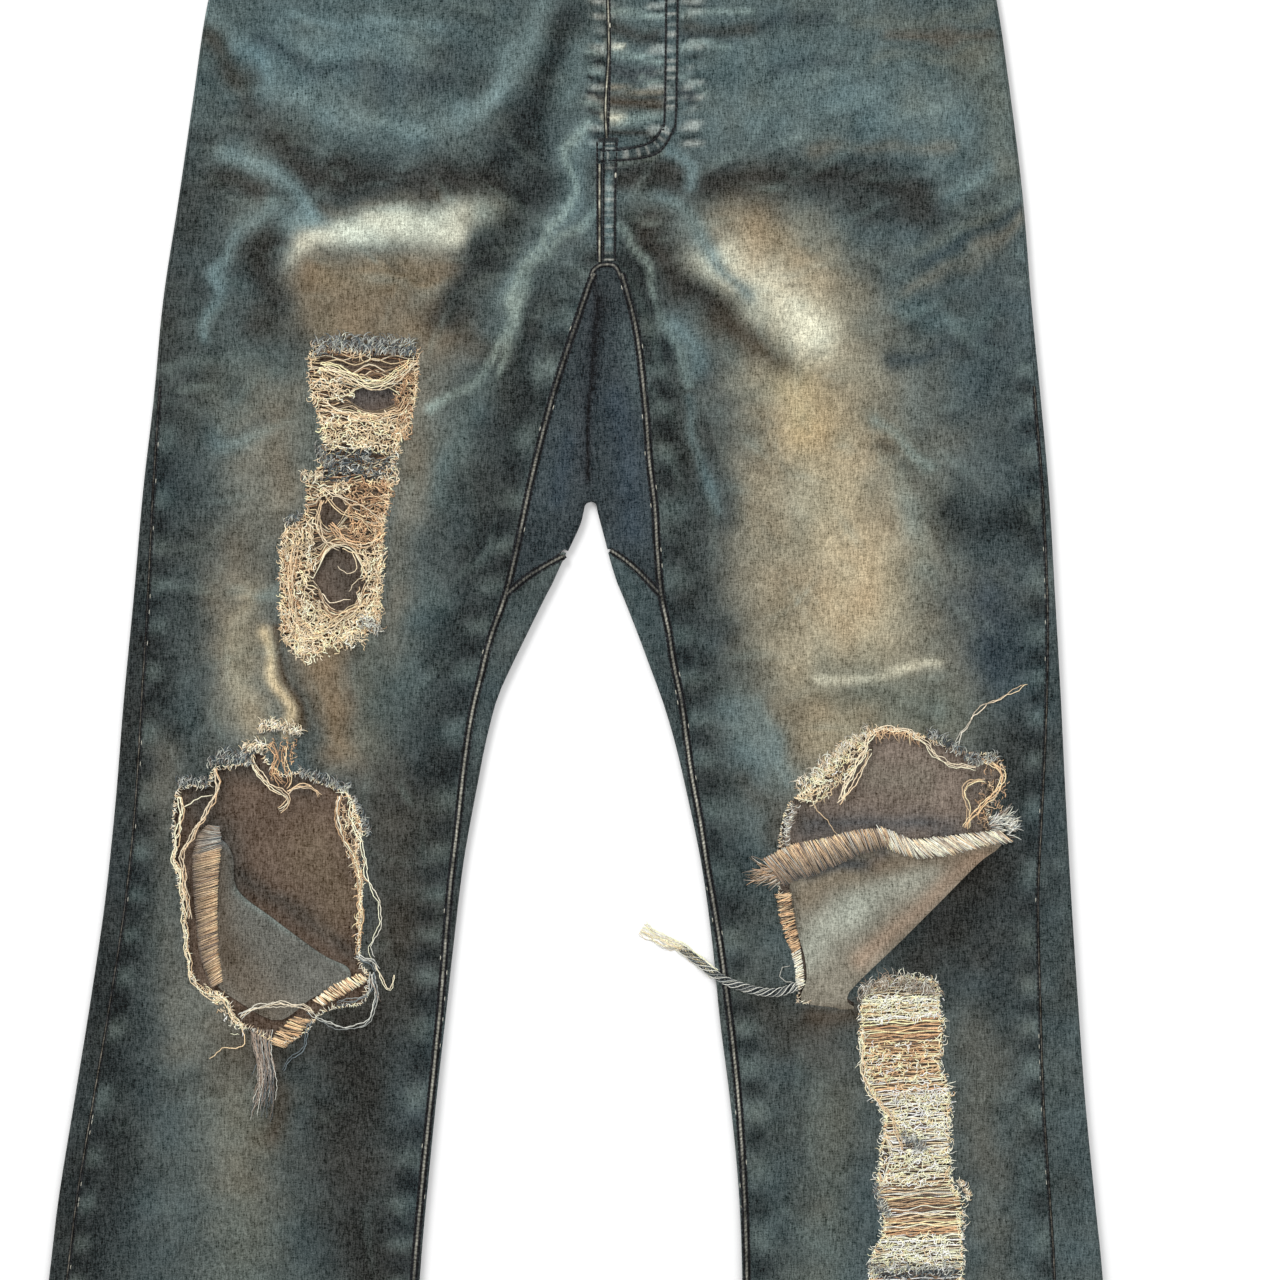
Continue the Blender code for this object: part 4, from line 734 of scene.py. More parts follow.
def new_material(name):
    """A new finish with its node tree and its shader."""
    material = bpy.data.materials.new(name)
    material.use_nodes = True
    return material, material.node_tree, material.node_tree.nodes["Principled BSDF"]


def stretched_noise(tree, where, scale, detail):
    """Noise whose grains are as long each way as the scale says, in grains a metre."""
    turned = node(tree, "ShaderNodeMapping", {"Vector": where, "Scale": scale})
    made = node(tree, "ShaderNodeTexNoise", {"Vector": turned.outputs[0], "Scale": 1.0,
                                            "Detail": detail, "Roughness": 0.6})
    return made.outputs["Fac"]


def maths(tree, operation, a, b):
    return node(tree, "ShaderNodeMath", {0: a, 1: b}, operation=operation).outputs[0]


def centred(tree, noise, weight):
    """Noise that goes as far below nothing as above it, times a weight."""
    return maths(tree, "MULTIPLY", maths(tree, "SUBTRACT", noise, 0.5), weight)


def make_denim_group():
    group, start, end = new_group(
        "denim_grain",
        [("Wash_and_shade", "NodeSocketColor", (0.1, 0.13, 0.14, 1)), ("Grain", "NodeSocketFloat", 1.0)],
        [("Color", "NodeSocketColor"), ("Roughness", "NodeSocketFloat"), ("Height", "NodeSocketFloat")])
    where = node(group, "ShaderNodeTexCoord").outputs["Object"]
    warp = stretched_noise(group, where, (1250, 230, 300), 2.0)
    weft = stretched_noise(group, where, (280, 1250, 300), 2.0)
    fleck = stretched_noise(group, where, (1150, 1150, 400), 1.5)
    cloud = stretched_noise(group, where, (34, 22, 20), 3.0)
    yarns = maths(group, "ADD", centred(group, warp, 1.5), centred(group, weft, 0.9))
    patches = maths(group, "ADD", centred(group, fleck, 1.3), centred(group, cloud, 0.45))
    total = maths(group, "ADD", yarns, patches)
    total = maths(group, "MULTIPLY", total, start.outputs["Grain"])
    gain = maths(group, "MAXIMUM", maths(group, "ADD", total, 1.0), 0.1)
    lint = (0.045, 0.045, 0.045)
    lifted = node(group, "ShaderNodeVectorMath", {0: start.outputs["Wash_and_shade"], 1: lint}, operation="ADD")
    scaled = node(group, "ShaderNodeVectorMath", {0: lifted.outputs[0], 3: gain}, operation="SCALE")
    lowered = node(group, "ShaderNodeVectorMath", {0: scaled.outputs[0], 1: lint}, operation="SUBTRACT")
    shaded = node(group, "ShaderNodeVectorMath", {0: lowered.outputs[0], 1: (0.003, 0.003, 0.003)},
                  operation="MAXIMUM")
    group.links.new(shaded.outputs[0], end.inputs["Color"])
    rough = node(group, "ShaderNodeMapRange", {"Value": fleck, "To Min": 0.78, "To Max": 0.95})
    group.links.new(rough.outputs[0], end.inputs["Roughness"])
    group.links.new(total, end.inputs["Height"])
    return group


denim_group = make_denim_group()


def cloth_material(name, grain, bump, sheen):
    """Cotton finish that reads the colour stored on the cloth or the yarn, washed colour and painted shade
    together.
    """
    material, tree, shader = new_material(name)
    wash_and_shade = node(tree, "ShaderNodeAttribute", attribute_name="wash_and_shade")
    grained = node(tree, "ShaderNodeGroup", node_tree=denim_group)
    tree.links.new(wash_and_shade.outputs["Color"], grained.inputs["Wash_and_shade"])
    grained.inputs["Grain"].default_value = grain
    relief = node(tree, "ShaderNodeBump", {"Strength": bump, "Distance": 0.0004,
                                          "Height": grained.outputs["Height"]})
    tree.links.new(grained.outputs["Color"], shader.inputs["Base Color"])
    tree.links.new(grained.outputs["Roughness"], shader.inputs["Roughness"])
    tree.links.new(relief.outputs[0], shader.inputs["Normal"])
    shader.inputs["Specular IOR Level"].default_value = 0.1
    shader.inputs["Sheen Weight"].default_value = sheen
    return material


denim = cloth_material("worn_denim", 1.1, 0.5, 0.03)
print("denim group sockets:", [item.name for item in denim_group.interface.items_tree])

# %% [markdown]
# Every panel starts as a flat grid with a point every three to seven millimetres. The rips are cut
# while it is still flat: faces inside a rip go, and the points left on its edge are pulled onto the
# torn line. Extruding the flat piece gives the cloth its wall, and only then is each face laid at
# its height. Cutting flat and folding afterwards is how the garment itself is made.

# %% Cloth helpers
def inside(x, down, loop):
    """Which of many places lie inside a closed line."""
    crossed = np.zeros(np.shape(x), bool)
    for (ax, ad), (bx, bd) in zip(loop, loop[1:] + loop[:1]):
        if ad == bd:
            continue
        spans = (ad > down) != (bd > down)
        crossed ^= spans & (x < (bx - ax) * (down - ad) / (bd - ad) + ax)
    return crossed


def smooth_line(points, step, closed=False):
    """Points about a step apart along a smooth curve through the given places."""
    points = list(points)
    count = len(points)
    result = []
    for i in range(count if closed else count - 1):
        if closed:
            p0, p1, p2, p3 = (np.array(points[(i + k) % count], float) for k in (-1, 0, 1, 2))
        else:
            p0, p1, p2, p3 = (np.array(points[min(max(i + k, 0), count - 1)], float)
                              for k in (-1, 0, 1, 2))
        parts = max(1, round(float(np.linalg.norm(p2[:2] - p1[:2])) / step))
        for k in range(parts):
            t = k / parts
            result.append(tuple(p1 + 0.5 * t * (p2 - p0 + t * (2 * p0 - 5 * p1 + 4 * p2 - p3
                                                              + t * (3 * (p1 - p2) + p3 - p0)))))
    return result if closed else result + [tuple(float(v) for v in points[-1])]


def nearest_on(loop, x, down):
    """Nearest place on a closed line to one place."""
    best, found = 1e9, (x, down)
    for (ax, ad), (bx, bd) in zip(loop, loop[1:] + loop[:1]):
        length = (bx - ax) ** 2 + (bd - ad) ** 2
        if length == 0:
            continue
        t = min(max(((x - ax) * (bx - ax) + (down - ad) * (bd - ad)) / length, 0), 1)
        spot = (ax + t * (bx - ax), ad + t * (bd - ad))
        gap = math.hypot(x - spot[0], down - spot[1])
        if gap < best:
            best, found = gap, spot
    return found


def cut_away(bm, loop, keep_inside):
    """Cut a flat piece along a closed line, and pull its new edge onto that line."""
    middles = np.array([face.calc_center_median()[:2] for face in bm.faces])
    within = inside(middles[:, 0], middles[:, 1], loop)
    doomed = [face for face, hit in zip(list(bm.faces), within) if hit != keep_inside]
    marked = {edge for edge in bm.edges if edge.is_boundary}
    bmesh.ops.delete(bm, geom=doomed, context="FACES")
    edge_verts = {vert for edge in bm.edges if edge.is_boundary and edge not in marked
                  for vert in edge.verts}
    for vert in edge_verts:
        vert.co.x, vert.co.y = nearest_on(loop, vert.co.x, vert.co.y)


def finish_cloth(name, bm, place, replaces, shade=None):
    """Give a flat piece its wall, lay both faces, paint it and hand it to the frame. Its place
    function takes the flat piece's two measures, and 1 for the upper face or 0 for the lower."""
    made = bmesh.ops.extrude_face_region(bm, geom=bm.faces[:])["geom"]
    top = [item for item in made if isinstance(item, bmesh.types.BMVert)]
    raised = set(top)
    bottom = [vert for vert in bm.verts if vert not in raised]
    for verts, face in ((top, 1), (bottom, 0)):
        flat = np.array([vert.co[:2] for vert in verts])
        for vert, spot in zip(verts, place(flat[:, 0], flat[:, 1], face)):
            vert.co = spot
    bmesh.ops.recalc_face_normals(bm, faces=bm.faces[:])
    mesh = bpy.data.meshes.new(name)
    bm.to_mesh(mesh)
    bm.free()
    mesh.shade_smooth()
    mesh.set_sharp_from_angle(angle=math.radians(60))
    paint(mesh, shade)
    mesh.materials.append(denim)
    piece = bpy.data.objects.new(name, mesh)
    bpy.context.scene.collection.objects.link(piece)
    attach(piece, "root")
    if replaces:
        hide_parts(replaces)
    print(name, "has", len(mesh.polygons), "faces")
    return piece


def mapped_grid(columns, rows, flatten):
    """A grid whose points are sent to their flat places by column and row number."""
    bm = bmesh.new()
    bmesh.ops.create_grid(bm, x_segments=columns, y_segments=rows, size=0.5)
    where = np.array([vert.co[:2] for vert in bm.verts]) + 0.5
    x, down = flatten(np.rint(where[:, 0] * columns).astype(int), np.rint(where[:, 1] * rows).astype(int))
    for vert, a, b in zip(bm.verts, x, down):
        vert.co = (a, b, 0)
    return bm


def box_grid(low, high, columns, rows):
    """A level grid between two corners."""
    def flatten(column, row):
        return low[0] + (high[0] - low[0]) * column / columns, low[1] + (high[1] - low[1]) * row / rows

    return mapped_grid(columns, rows, flatten)


def numbered_grid(columns, rows):
    """A grid whose points still hold their column and row numbers."""
    return mapped_grid(columns, rows, lambda column, row: (column, row))


# %% Rips and their edges
THIGH_RIP = (
    (-177, 320), (-146, 323), (-115, 320), (-116, 361), (-123, 375), (-127, 390), (-128, 404),
    (-134, 431), (-135, 456), (-137, 472), (-138, 495), (-154, 499), (-164, 504), (-182, 511),
    (-191, 507), (-197, 495), (-198, 476), (-198, 459), (-196, 436), (-183, 424), (-181, 402),
    (-172, 392), (-173, 369), (-179, 348))
RIGHT_KNEE_HOLE = (
    (-262, 596), (-243, 592), (-239, 582), (-221, 579), (-212, 571), (-205, 579), (-196, 586),
    (-185, 584), (-173, 591), (-157, 597), (-148, 619), (-151, 634), (-148, 649), (-148, 666),
    (-149, 700), (-144, 711), (-147, 727), (-171, 732), (-183, 745), (-198, 752), (-216, 744),
    (-227, 738), (-232, 724), (-246, 720), (-254, 709), (-258, 680), (-260, 659), (-264, 632))
LEFT_KNEE_TOP = (
    (122, 726), (124, 713), (121, 699), (117, 686), (112, 671), (111, 655), (110, 640), (112, 622),
    (116, 606), (124, 598), (134, 590), (142, 579), (154, 566), (174, 557), (195, 560), (221, 571),
    (245, 574), (250, 585), (246, 598), (241, 609), (251, 622))
LEFT_KNEE_FOLD = ((244, 631), (233, 637), (211, 659), (186, 684), (152, 719), (161, 729), (143, 730))
SHIN_RIP = (
    (164, 723), (178, 713), (192, 711), (208, 715), (210, 728), (212, 744), (211, 758), (210, 768),
    (215, 776), (217, 789), (216, 804), (217, 836), (223, 847), (224, 865), (224, 880), (224, 897),
    (216, 906), (194, 909), (170, 904), (169, 885), (175, 872), (176, 860), (173, 848), (172, 838),
    (174, 823), (176, 808), (176, 794), (166, 778), (163, 758), (162, 740))
RIGHT_FLAP = (
    (-245, 626), (-249, 648), (-246, 680), (-240, 712), (-222, 728), (-199, 738), (-178, 724),
    (-158, 716), (-156, 706), (-173, 697), (-203, 675), (-225, 657), (-228, 636), (-235, 626))

thigh_rip = smooth_line(THIGH_RIP, 3, closed=True)
right_knee = smooth_line(RIGHT_KNEE_HOLE, 3, closed=True)
shin_rip = smooth_line(SHIN_RIP, 3, closed=True)
left_knee = smooth_line(LEFT_KNEE_TOP, 3) + smooth_line(LEFT_KNEE_FOLD, 3)
print("torn edge points:", len(thigh_rip), len(right_knee), len(shin_rip), len(left_knee))

# %% [markdown]
# A front is one leg and half of the hip in one piece. Its grid runs from the outseam to the centre
# front, and below the crotch to the gusset's seam and the inseam, so the rows stay level and the
# columns follow the cut. Two rows lie close together where the centre edge steps to the gusset.

# %% Fronts
FINE = 3.1
COLUMNS = 80


def front_rows():
    step = FINE
    upper = np.linspace(WAISTBAND + SEAM_GAP, GUSSET_TIP - SEAM_GAP, int(230 / step))
    lower = np.linspace(GUSSET_TIP, HEM_TOP, int((HEM_TOP - GUSSET_TIP) / step))
    last = np.array([HEM_TOP + 0.4, HEM_TOP + 4.5, HEM_TOP + 9, LENGTH])
    return np.concatenate([upper, lower, last])


def front_place(x, down, face):
    return world(x, down, top_height(x, down) - (1 - face) * CLOTH)


def front_panel(name, side, holes, replaces):
    rows = front_rows()
    half = SEAM_GAP / 2
    outer = outseam(side, rows) - side * half
    centre = fly_edge(rows) + side * half
    inner = np.where(rows < GUSSET_TIP - 0.01, centre, inseam(side, rows) + side * half)

    def flatten(column, row):
        t = column / COLUMNS
        return outer[row] + (inner[row] - outer[row]) * t, rows[row]

    bm = mapped_grid(COLUMNS, len(rows) - 1, flatten)
    for hole in holes:
        cut_away(bm, hole, keep_inside=False)
    return finish_cloth(name, bm, front_place, replaces)


front_right = front_panel("cloth_front_right", RIGHT, [thigh_rip, right_knee], "front_right")
front_left = front_panel("cloth_front_left", LEFT, [left_knee, shin_rip], "front_left")

# %% [markdown]
# A back lies flat under the leg, comes round both folded sides and ends at the seams on top. Its
# flat width is counted in four stretches: the strip to the outseam, the outer fold, the rest on the
# floor, and the inner fold with its strip. Above the gusset's corner the piece stops at the seam
# underneath, so the columns past that seam are cut away there.

# %% Backs
FOLD_PARTS = 8
STRIP_PARTS = 6
REST_PARTS = 34
SEAM_COLUMN = 26


def fold_angle(strip):
    """How far a side's fold turns: half round, or less where the seam lies on the fold itself."""
    return math.pi - np.arcsin(np.clip(-strip / SIDE_FOLD, 0, 1))


def back_panel(name, side, replaces):
    step = 6.6
    corner_row = int((GUSSET_CORNER - WAISTBAND) / step)
    upper_rows = np.linspace(WAISTBAND + SEAM_GAP, GUSSET_CORNER + 0.7, corner_row + 1)
    lower_rows = np.linspace(GUSSET_CORNER + 0.7, HEM_TOP, int((HEM_TOP - GUSSET_CORNER) / step))
    rows = np.concatenate([upper_rows, lower_rows[1:], [HEM_TOP + 0.4, LENGTH]])
    rest_start = STRIP_PARTS + FOLD_PARTS
    seam_column = rest_start + SEAM_COLUMN
    rest_end = rest_start + REST_PARTS
    strip_start = rest_end + FOLD_PARTS
    bm = numbered_grid(strip_start + STRIP_PARTS, len(rows) - 1)
    middles = [(face, face.calc_center_median()) for face in bm.faces]
    doomed = [face for face, middle in middles if middle.x > seam_column and middle.y < corner_row]
    bmesh.ops.delete(bm, geom=doomed, context="FACES")

    corner_x = float(inseam(side, GUSSET_CORNER)) + side * 0.6

    def place(column, row, face):
        column, row = np.rint(column).astype(int), np.rint(row).astype(int)
        down = rows[row]
        thick = (1 - face) * CLOTH
        radius = SIDE_FOLD - thick
        outer_x = outer_edge(side, down) - side * SIDE_FOLD
        inner_x = inner_edge(side, down) + side * SIDE_FOLD
        # the seam underneath, and below its corner the column that carries it on
        seam_above = np.where(down < GUSSET_TIP, side * SEAM_GAP / 2, inseam(side, down) + side * 0.6)
        level_x = outer_x + (inner_x - outer_x) * (SEAM_COLUMN / REST_PARTS)
        below = np.clip((down - GUSSET_CORNER) / 60, 0, 1)
        seam_x = np.where(row <= corner_row, seam_above, corner_x + (level_x - corner_x) * below)
        # how much the rows below the corner rise to meet the gusset's slanting seam
        past_seam = np.clip((column - seam_column) / (rest_end - seam_column), 0, 1)
        on_strip = np.clip((column - strip_start) / STRIP_PARTS, 0, 1)
        climb = (GUSSET_CORNER - SPLIT_START) * np.minimum(past_seam, 1 - on_strip)
        lift = np.where(row >= corner_row, climb * np.clip(1 - (down - GUSSET_CORNER) / 70, 0, 1), 0)
        here = down - lift
        inner_here = inner_edge(side, here) + side * SIDE_FOLD
        strip_out = side * (outer_x - (outseam(side, down) + side * SEAM_GAP / 2))
        strip_in = side * (inseam(side, down) - side * SEAM_GAP / 2 - inner_here)
        # outer strip, from the seam to the fold
        x = outer_x - side * np.maximum(strip_out, 0) * (1 - column / STRIP_PARTS)
        z = top_height(x, here) - thick
        # outer fold, which takes in the strip where the seam lies on the fold
        turn = np.clip((column - STRIP_PARTS) / FOLD_PARTS, 0, 1)
        angle = (1 - turn) * fold_angle(strip_out)
        curved = (column > STRIP_PARTS) & (column < rest_start) | (column <= STRIP_PARTS) & (strip_out < 0)
        x = np.where(curved, outer_x + side * radius * np.sin(angle), x)
        z = np.where(curved, SIDE_FOLD - radius * np.cos(angle), z)
        # the stretch that rests on the floor
        resting = (column >= rest_start) & (column <= rest_end)
        to_seam = outer_x + (seam_x - outer_x) * np.clip((column - rest_start) / SEAM_COLUMN, 0, 1)
        rest_x = np.where(column <= seam_column, to_seam, seam_x + (inner_here - seam_x) * past_seam)
        x = np.where(resting, rest_x, x)
        z = np.where(resting, thick, z)
        # inner fold and strip
        angle = np.clip((column - rest_end) / FOLD_PARTS, 0, 1) * fold_angle(strip_in)
        curved = (column > rest_end) & (column < strip_start) | (column >= strip_start) & (strip_in < 0)
        x = np.where(curved, inner_here - side * radius * np.sin(angle), x)
        z = np.where(curved, SIDE_FOLD - radius * np.cos(angle), z)
        strip = (column >= strip_start) & (strip_in >= 0)
        strip_x = inner_here + side * strip_in * on_strip
        x = np.where(strip, strip_x, x)
        z = np.where(strip, top_height(strip_x, here) - thick, z)
        return world(x, here, z)

    tone = "inner_brown" if side == RIGHT else "inner_grey"

    def shade(colour, x, down, height):
        """The cloth's unwashed inner face, which shows through the holes, with painted shadow along the
        holes' edges and painted light where they open out.
        """
        inner_face = np.exp(-((height - CLOTH) / 0.25) ** 2)[:, None]
        inner_face_and_shade = lay_strokes(one_tone(colour, tone), x, down, HOLE_LIGHT_AND_SHADE_STROKES)
        inner_face_and_shade *= 1 + 0.16 * read_map(rub_map, x, down)[:, None]
        return colour + (inner_face_and_shade - colour) * inner_face

    return finish_cloth(name, bm, place, replaces, shade)


back_right = back_panel("cloth_back_right", RIGHT, "back_right")
back_left = back_panel("cloth_back_left", LEFT, "back_left")

# %% [markdown]
# The crotch gusset is a separate diamond of cleaner cloth, let in between the legs and folded along
# the split, so a maker cuts it once and sews its four sides. Here its grid runs along the seam one
# way, and the other way over the fold's edge: down the front, round the fold, and back underneath.

# %% Gusset
GUSSET_SPLIT = {
    RIGHT: ((-19.8, 447), (-17.4, 442), (-12, 430), (-9.6, 419.5)),
    LEFT: ((4.6, 446), (3.2, 440.5), (1.7, 435), (-1.7, 422)),
}


# The pleat and its tuck are dark lines of painted shadow in the gusset's fold, and pleat_shadow is painted
# shade beside them.
GUSSET_STROKES = {
    "tip": ("night", 0.75, 16, (606, 268), (606, 300)),
    "left_blue": ("navy", 0.5, 16, (616, 400), (630, 470), (632, 530)),
    "left_grey": ("teal", 0.3, 10, (625, 330), (640, 400)),
    "right_grey": ("slate", 0.4, 9, (575, 340), (556, 420), (545, 500), (540, 560)),
    "right_navy": ("navy", 0.4, 10, (566, 440), (560, 500)),
    "pleat_shadow": ("smoke", 0.6, 9, (592, 300), (586, 380), (582, 440), (584, 480)),
    "tuck": ("navy_thread", 0.9, 2.6, (594, 276), (598, 302), (616, 280)),
    "pleat": ("navy_thread", 1.0, 3.2, (598, 298), (594, 330), (590, 380), (587, 430), (588, 484)),
}


def gusset_fold():
    """Points along the split with the direction that each one's fold faces."""
    sides = []
    for side in (RIGHT, LEFT):
        line = np.array(smooth_line(GUSSET_SPLIT[side], 4))
        ahead = np.gradient(line, axis=0)
        out = np.stack([ahead[:, 1], -ahead[:, 0]], axis=1)
        out /= np.linalg.norm(out, axis=1)[:, None]
        out = np.where((out[:, :1] * -side) < 0, -out, out)
        sides.append((line, out))
    (low_right, out_right), (low_left, out_left) = sides
    tip = (low_right[-1] + low_left[-1]) / 2
    radius = np.linalg.norm(low_left[-1] - low_right[-1]) / 2
    start = math.atan2(out_right[-1][1], out_right[-1][0])
    end = math.atan2(out_left[-1][1], out_left[-1][0])
    end += 2 * math.pi * (end < start)
    turns = start + (end - start) * np.arange(1, 9) / 9
    out = np.stack([np.cos(turns), np.sin(turns)], axis=1)
    points = np.concatenate([low_right, tip - out * radius, low_left[::-1]])
    return points, np.concatenate([out_right, out, out_left[::-1]])


def make_gusset():
    part = 64
    flat_parts, round_parts = 22, 8
    total = 2 * flat_parts + round_parts
    down = np.concatenate([np.linspace(GUSSET_CORNER, GUSSET_TIP + 1.2, part),
                           np.linspace(GUSSET_TIP + 1.2, GUSSET_CORNER, part)])
    on_right = np.arange(2 * part) < part
    edge_x = np.where(on_right, inseam(RIGHT, down) + SEAM_GAP / 2, inseam(LEFT, down) - SEAM_GAP / 2)
    fold, out = gusset_fold()
    share = np.linspace(0, len(fold) - 1, 2 * part)
    own = np.arange(len(fold))
    fold = np.stack([np.interp(share, own, fold[:, k]) for k in (0, 1)], axis=1)
    out = np.stack([np.interp(share, own, out[:, k]) for k in (0, 1)], axis=1)
    out /= np.linalg.norm(out, axis=1)[:, None]
    bm = numbered_grid(2 * part - 1, total)

    def place(along_seam, over, face):
        i, j = np.rint(along_seam).astype(int), np.rint(over).astype(int)
        centre = fold[i] - out[i] * SIDE_FOLD
        thick = (1 - face) * CLOTH
        upper = j <= flat_parts
        t = np.clip(np.where(upper, j, total - j) / flat_parts, 0, 1)
        x = edge_x[i] + (centre[:, 0] - edge_x[i]) * t
        d = down[i] + (centre[:, 1] - down[i]) * t
        height = top_height(x, d)
        height = np.where(upper, height + (2 * SIDE_FOLD - height) * t ** 4 - thick, thick)
        turn = (j > flat_parts) & (j < flat_parts + round_parts)
        angle = math.pi * (j - flat_parts) / round_parts
        reach = (SIDE_FOLD - thick) * np.sin(angle)
        x = np.where(turn, centre[:, 0] + out[i, 0] * reach, x)
        d = np.where(turn, centre[:, 1] + out[i, 1] * reach, d)
        height = np.where(turn, SIDE_FOLD + (SIDE_FOLD - thick) * np.cos(angle), height)
        return world(x, d, height)

    def shade(colour, x, down, height):
        clean = lay_strokes(one_tone(colour, "gusset"), x, down, GUSSET_STROKES, drift=1.5)
        clean *= 1 + 0.2 * read_map(rub_map, x, down)[:, None]
        return 0.72 * clean

    return finish_cloth("cloth_gusset", bm, place, "gusset", shade)


gusset = make_gusset()

# %% [markdown]
# The waistband is one doubled length of denim that runs round the waist and closes with its left end
# over its right. The photo's frame starts ten centimetres below the waist's top edge, so the band is
# kept plain: a folded band, its topstitching, two loops and a button.

# %% Waistband, underlap and loops
BAND_WALL = 2.0


def band_lift(x):
    """Rise of the band's upper end over its lower one, past the lap."""
    return (BAND_WALL + SEAM_GAP) * np.clip(1 - (x - WAIST_OPENING - FLY_WIDTH - 3) / 30, 0, 1)


def band_wave(x):
    return 0.25 * np.sin(x * 0.09) * np.clip((x - WAIST_OPENING - FLY_WIDTH) / 40, 0, 1)


def band_round(down):
    """Drop of the band's face at its two long edges."""
    return 0.35 * (1 - (2 * down / WAISTBAND - 1) ** 6) - 0.35


def make_waistband():
    parts, fold_parts, rows = 56, 8, 12
    bm = mapped_grid(3 * parts + 2 * fold_parts, rows, lambda column, row: (column, WAISTBAND * row / rows))

    def place(station, down, face):
        station = np.rint(station)
        left_x = outer_edge(LEFT, down) - SIDE_FOLD
        right_x = outer_edge(RIGHT, down) + SIDE_FOLD
        inset = (1 - face) * BAND_WALL
        t = np.clip(station / parts, 0, 1)
        x = WAIST_OPENING + (left_x - WAIST_OPENING) * t ** 1.2
        z = 2 * SIDE_FOLD + band_lift(x) + band_wave(x) - inset
        turned = station - parts
        angle = math.pi * np.clip(turned / fold_parts, 0, 1)
        on = turned > 0
        x = np.where(on, left_x + (SIDE_FOLD - inset) * np.sin(angle), x)
        z = np.where(on, SIDE_FOLD + (SIDE_FOLD - inset) * np.cos(angle), z)
        under = turned - fold_parts
        t = np.clip(under / parts, 0, 1)
        on = under > 0
        x = np.where(on, left_x + (right_x - left_x) * t, x)
        z = np.where(on, inset, z)
        turned = under - parts
        angle = math.pi * np.clip(turned / fold_parts, 0, 1)
        on = turned > 0
        x = np.where(on, right_x - (SIDE_FOLD - inset) * np.sin(angle), x)
        z = np.where(on, SIDE_FOLD - (SIDE_FOLD - inset) * np.cos(angle), z)
        last = turned - fold_parts
        t = np.clip(last / parts, 0, 1)
        on = last > 0
        x = np.where(on, right_x + (WAIST_OPENING + FLY_WIDTH - right_x) * t, x)
        z = np.where(on, 2 * SIDE_FOLD - inset, z)
        return world(x, down, np.maximum(z + band_round(down) * (z > 3), inset))

    return finish_cloth("cloth_waistband", bm, place, "waistband")


def strip_on_top(name, x_low, x_high, down_low, down_high, lift, replaces):
    """Plain strip lying on the upper face, or level with it where the lift is nothing."""
    def place(x, down, face):
        across = np.abs(2 * (x - x_low) / (x_high - x_low) - 1)
        height = top_height(x, down, fine=lift == 0) - fly_rise(x, down) + lift
        return world(x, down, height - (0.4 * across ** 4 if face else CLOTH))

    bm = box_grid((x_low, down_low), (x_high, down_high), 10, 30)
    return finish_cloth(name, bm, place, replaces)


waistband = make_waistband()
underlap = strip_on_top("cloth_fly_underlap", WAIST_OPENING + 2.4, WAIST_OPENING + FLY_WIDTH,
                        WAISTBAND + SEAM_GAP, FLY_END, 0.0, "fly_underlap")
loop_right = strip_on_top("cloth_loop_right", -118, -106, 1.5, WAISTBAND + 6, CLOTH + SEAM_GAP,
                          "belt_loop_right")
loop_left = strip_on_top("cloth_loop_left", 112, 124, 1.5, WAISTBAND + 6, CLOTH + SEAM_GAP,
                         "belt_loop_left")

# %% [markdown]
# Two loose tongues of cloth hang in the knees' holes. The right one lies inside its hole with its
# left edge rolled. The left one is the torn front itself, rolled over along its top and folded under
# along a slant. Both are cut from a flat grid on their outline, then raised where they roll.

# %% Flaps in the knees' holes
LEFT_FLAP = (
    (118, 640), (118.5, 655), (119.5, 671), (123, 686), (127, 699), (128, 713), (125, 726), (145, 730),
    (158, 730.5), (154, 721), (188, 687), (213, 662), (235, 640), (246, 632), (247, 627), (221, 627),
    (186, 627), (166, 625), (151, 629), (125, 632))
RIGHT_ROLL = ((-243, 622), (-244, 640), (-245, 662), (-244, 684), (-241, 702), (-237, 716))
LEFT_ROLL = ((112, 641), (124, 635), (141, 632), (160, 626), (178, 626), (195, 631), (212, 629),
             (235, 626), (252, 624))
SLANT_FOLD = ((246, 633), (213, 663), (188, 688), (154, 722))


# The right flap's fold stroke is painted shade where its roll meets the fold, and the left flap's under_roll
# is painted shadow below its roll.
FLAP_STROKES = {
    RIGHT: {
        "low": ("brown", 0.5, 26, (225, 960), (262, 1010)),
        "edge": ("ice", 0.5, 6, (238, 893), (282, 925), (318, 944), (352, 968)),
        "roll": ("umber", 0.8, 16, (214, 840), (216, 900), (222, 960)),
        "roll_top": ("blue_grey", 0.6, 10, (212, 832), (226, 840)),
        "fold": ("char", 0.6, 7, (232, 850), (236, 886)),
    },
    LEFT: {
        "pale_low": ("flap_pale", 0.5, 20, (802, 962), (824, 930), (856, 912)),
        "pale_high": ("flap_pale", 0.4, 16, (850, 914), (884, 892), (930, 868)),
        "grey": ("bark", 0.5, 16, (802, 896), (824, 882), (850, 874)),
        "under_roll": ("smoke", 0.85, 7, (806, 874), (840, 866), (872, 864), (884, 854)),
        "warm": ("brown", 0.7, 14, (880, 866), (950, 858), (990, 852)),
        "pink": ("blush", 0.42, 10, (860, 962), (902, 926), (944, 888), (978, 860)),
        "foot": ("stone", 0.7, 14, (806, 992), (850, 992)),
        "foot_dark": ("umber", 0.6, 5, (800, 1006), (856, 1008)),
        "side": ("char", 0.5, 5, (791, 890), (795, 930), (802, 975)),
    },
}


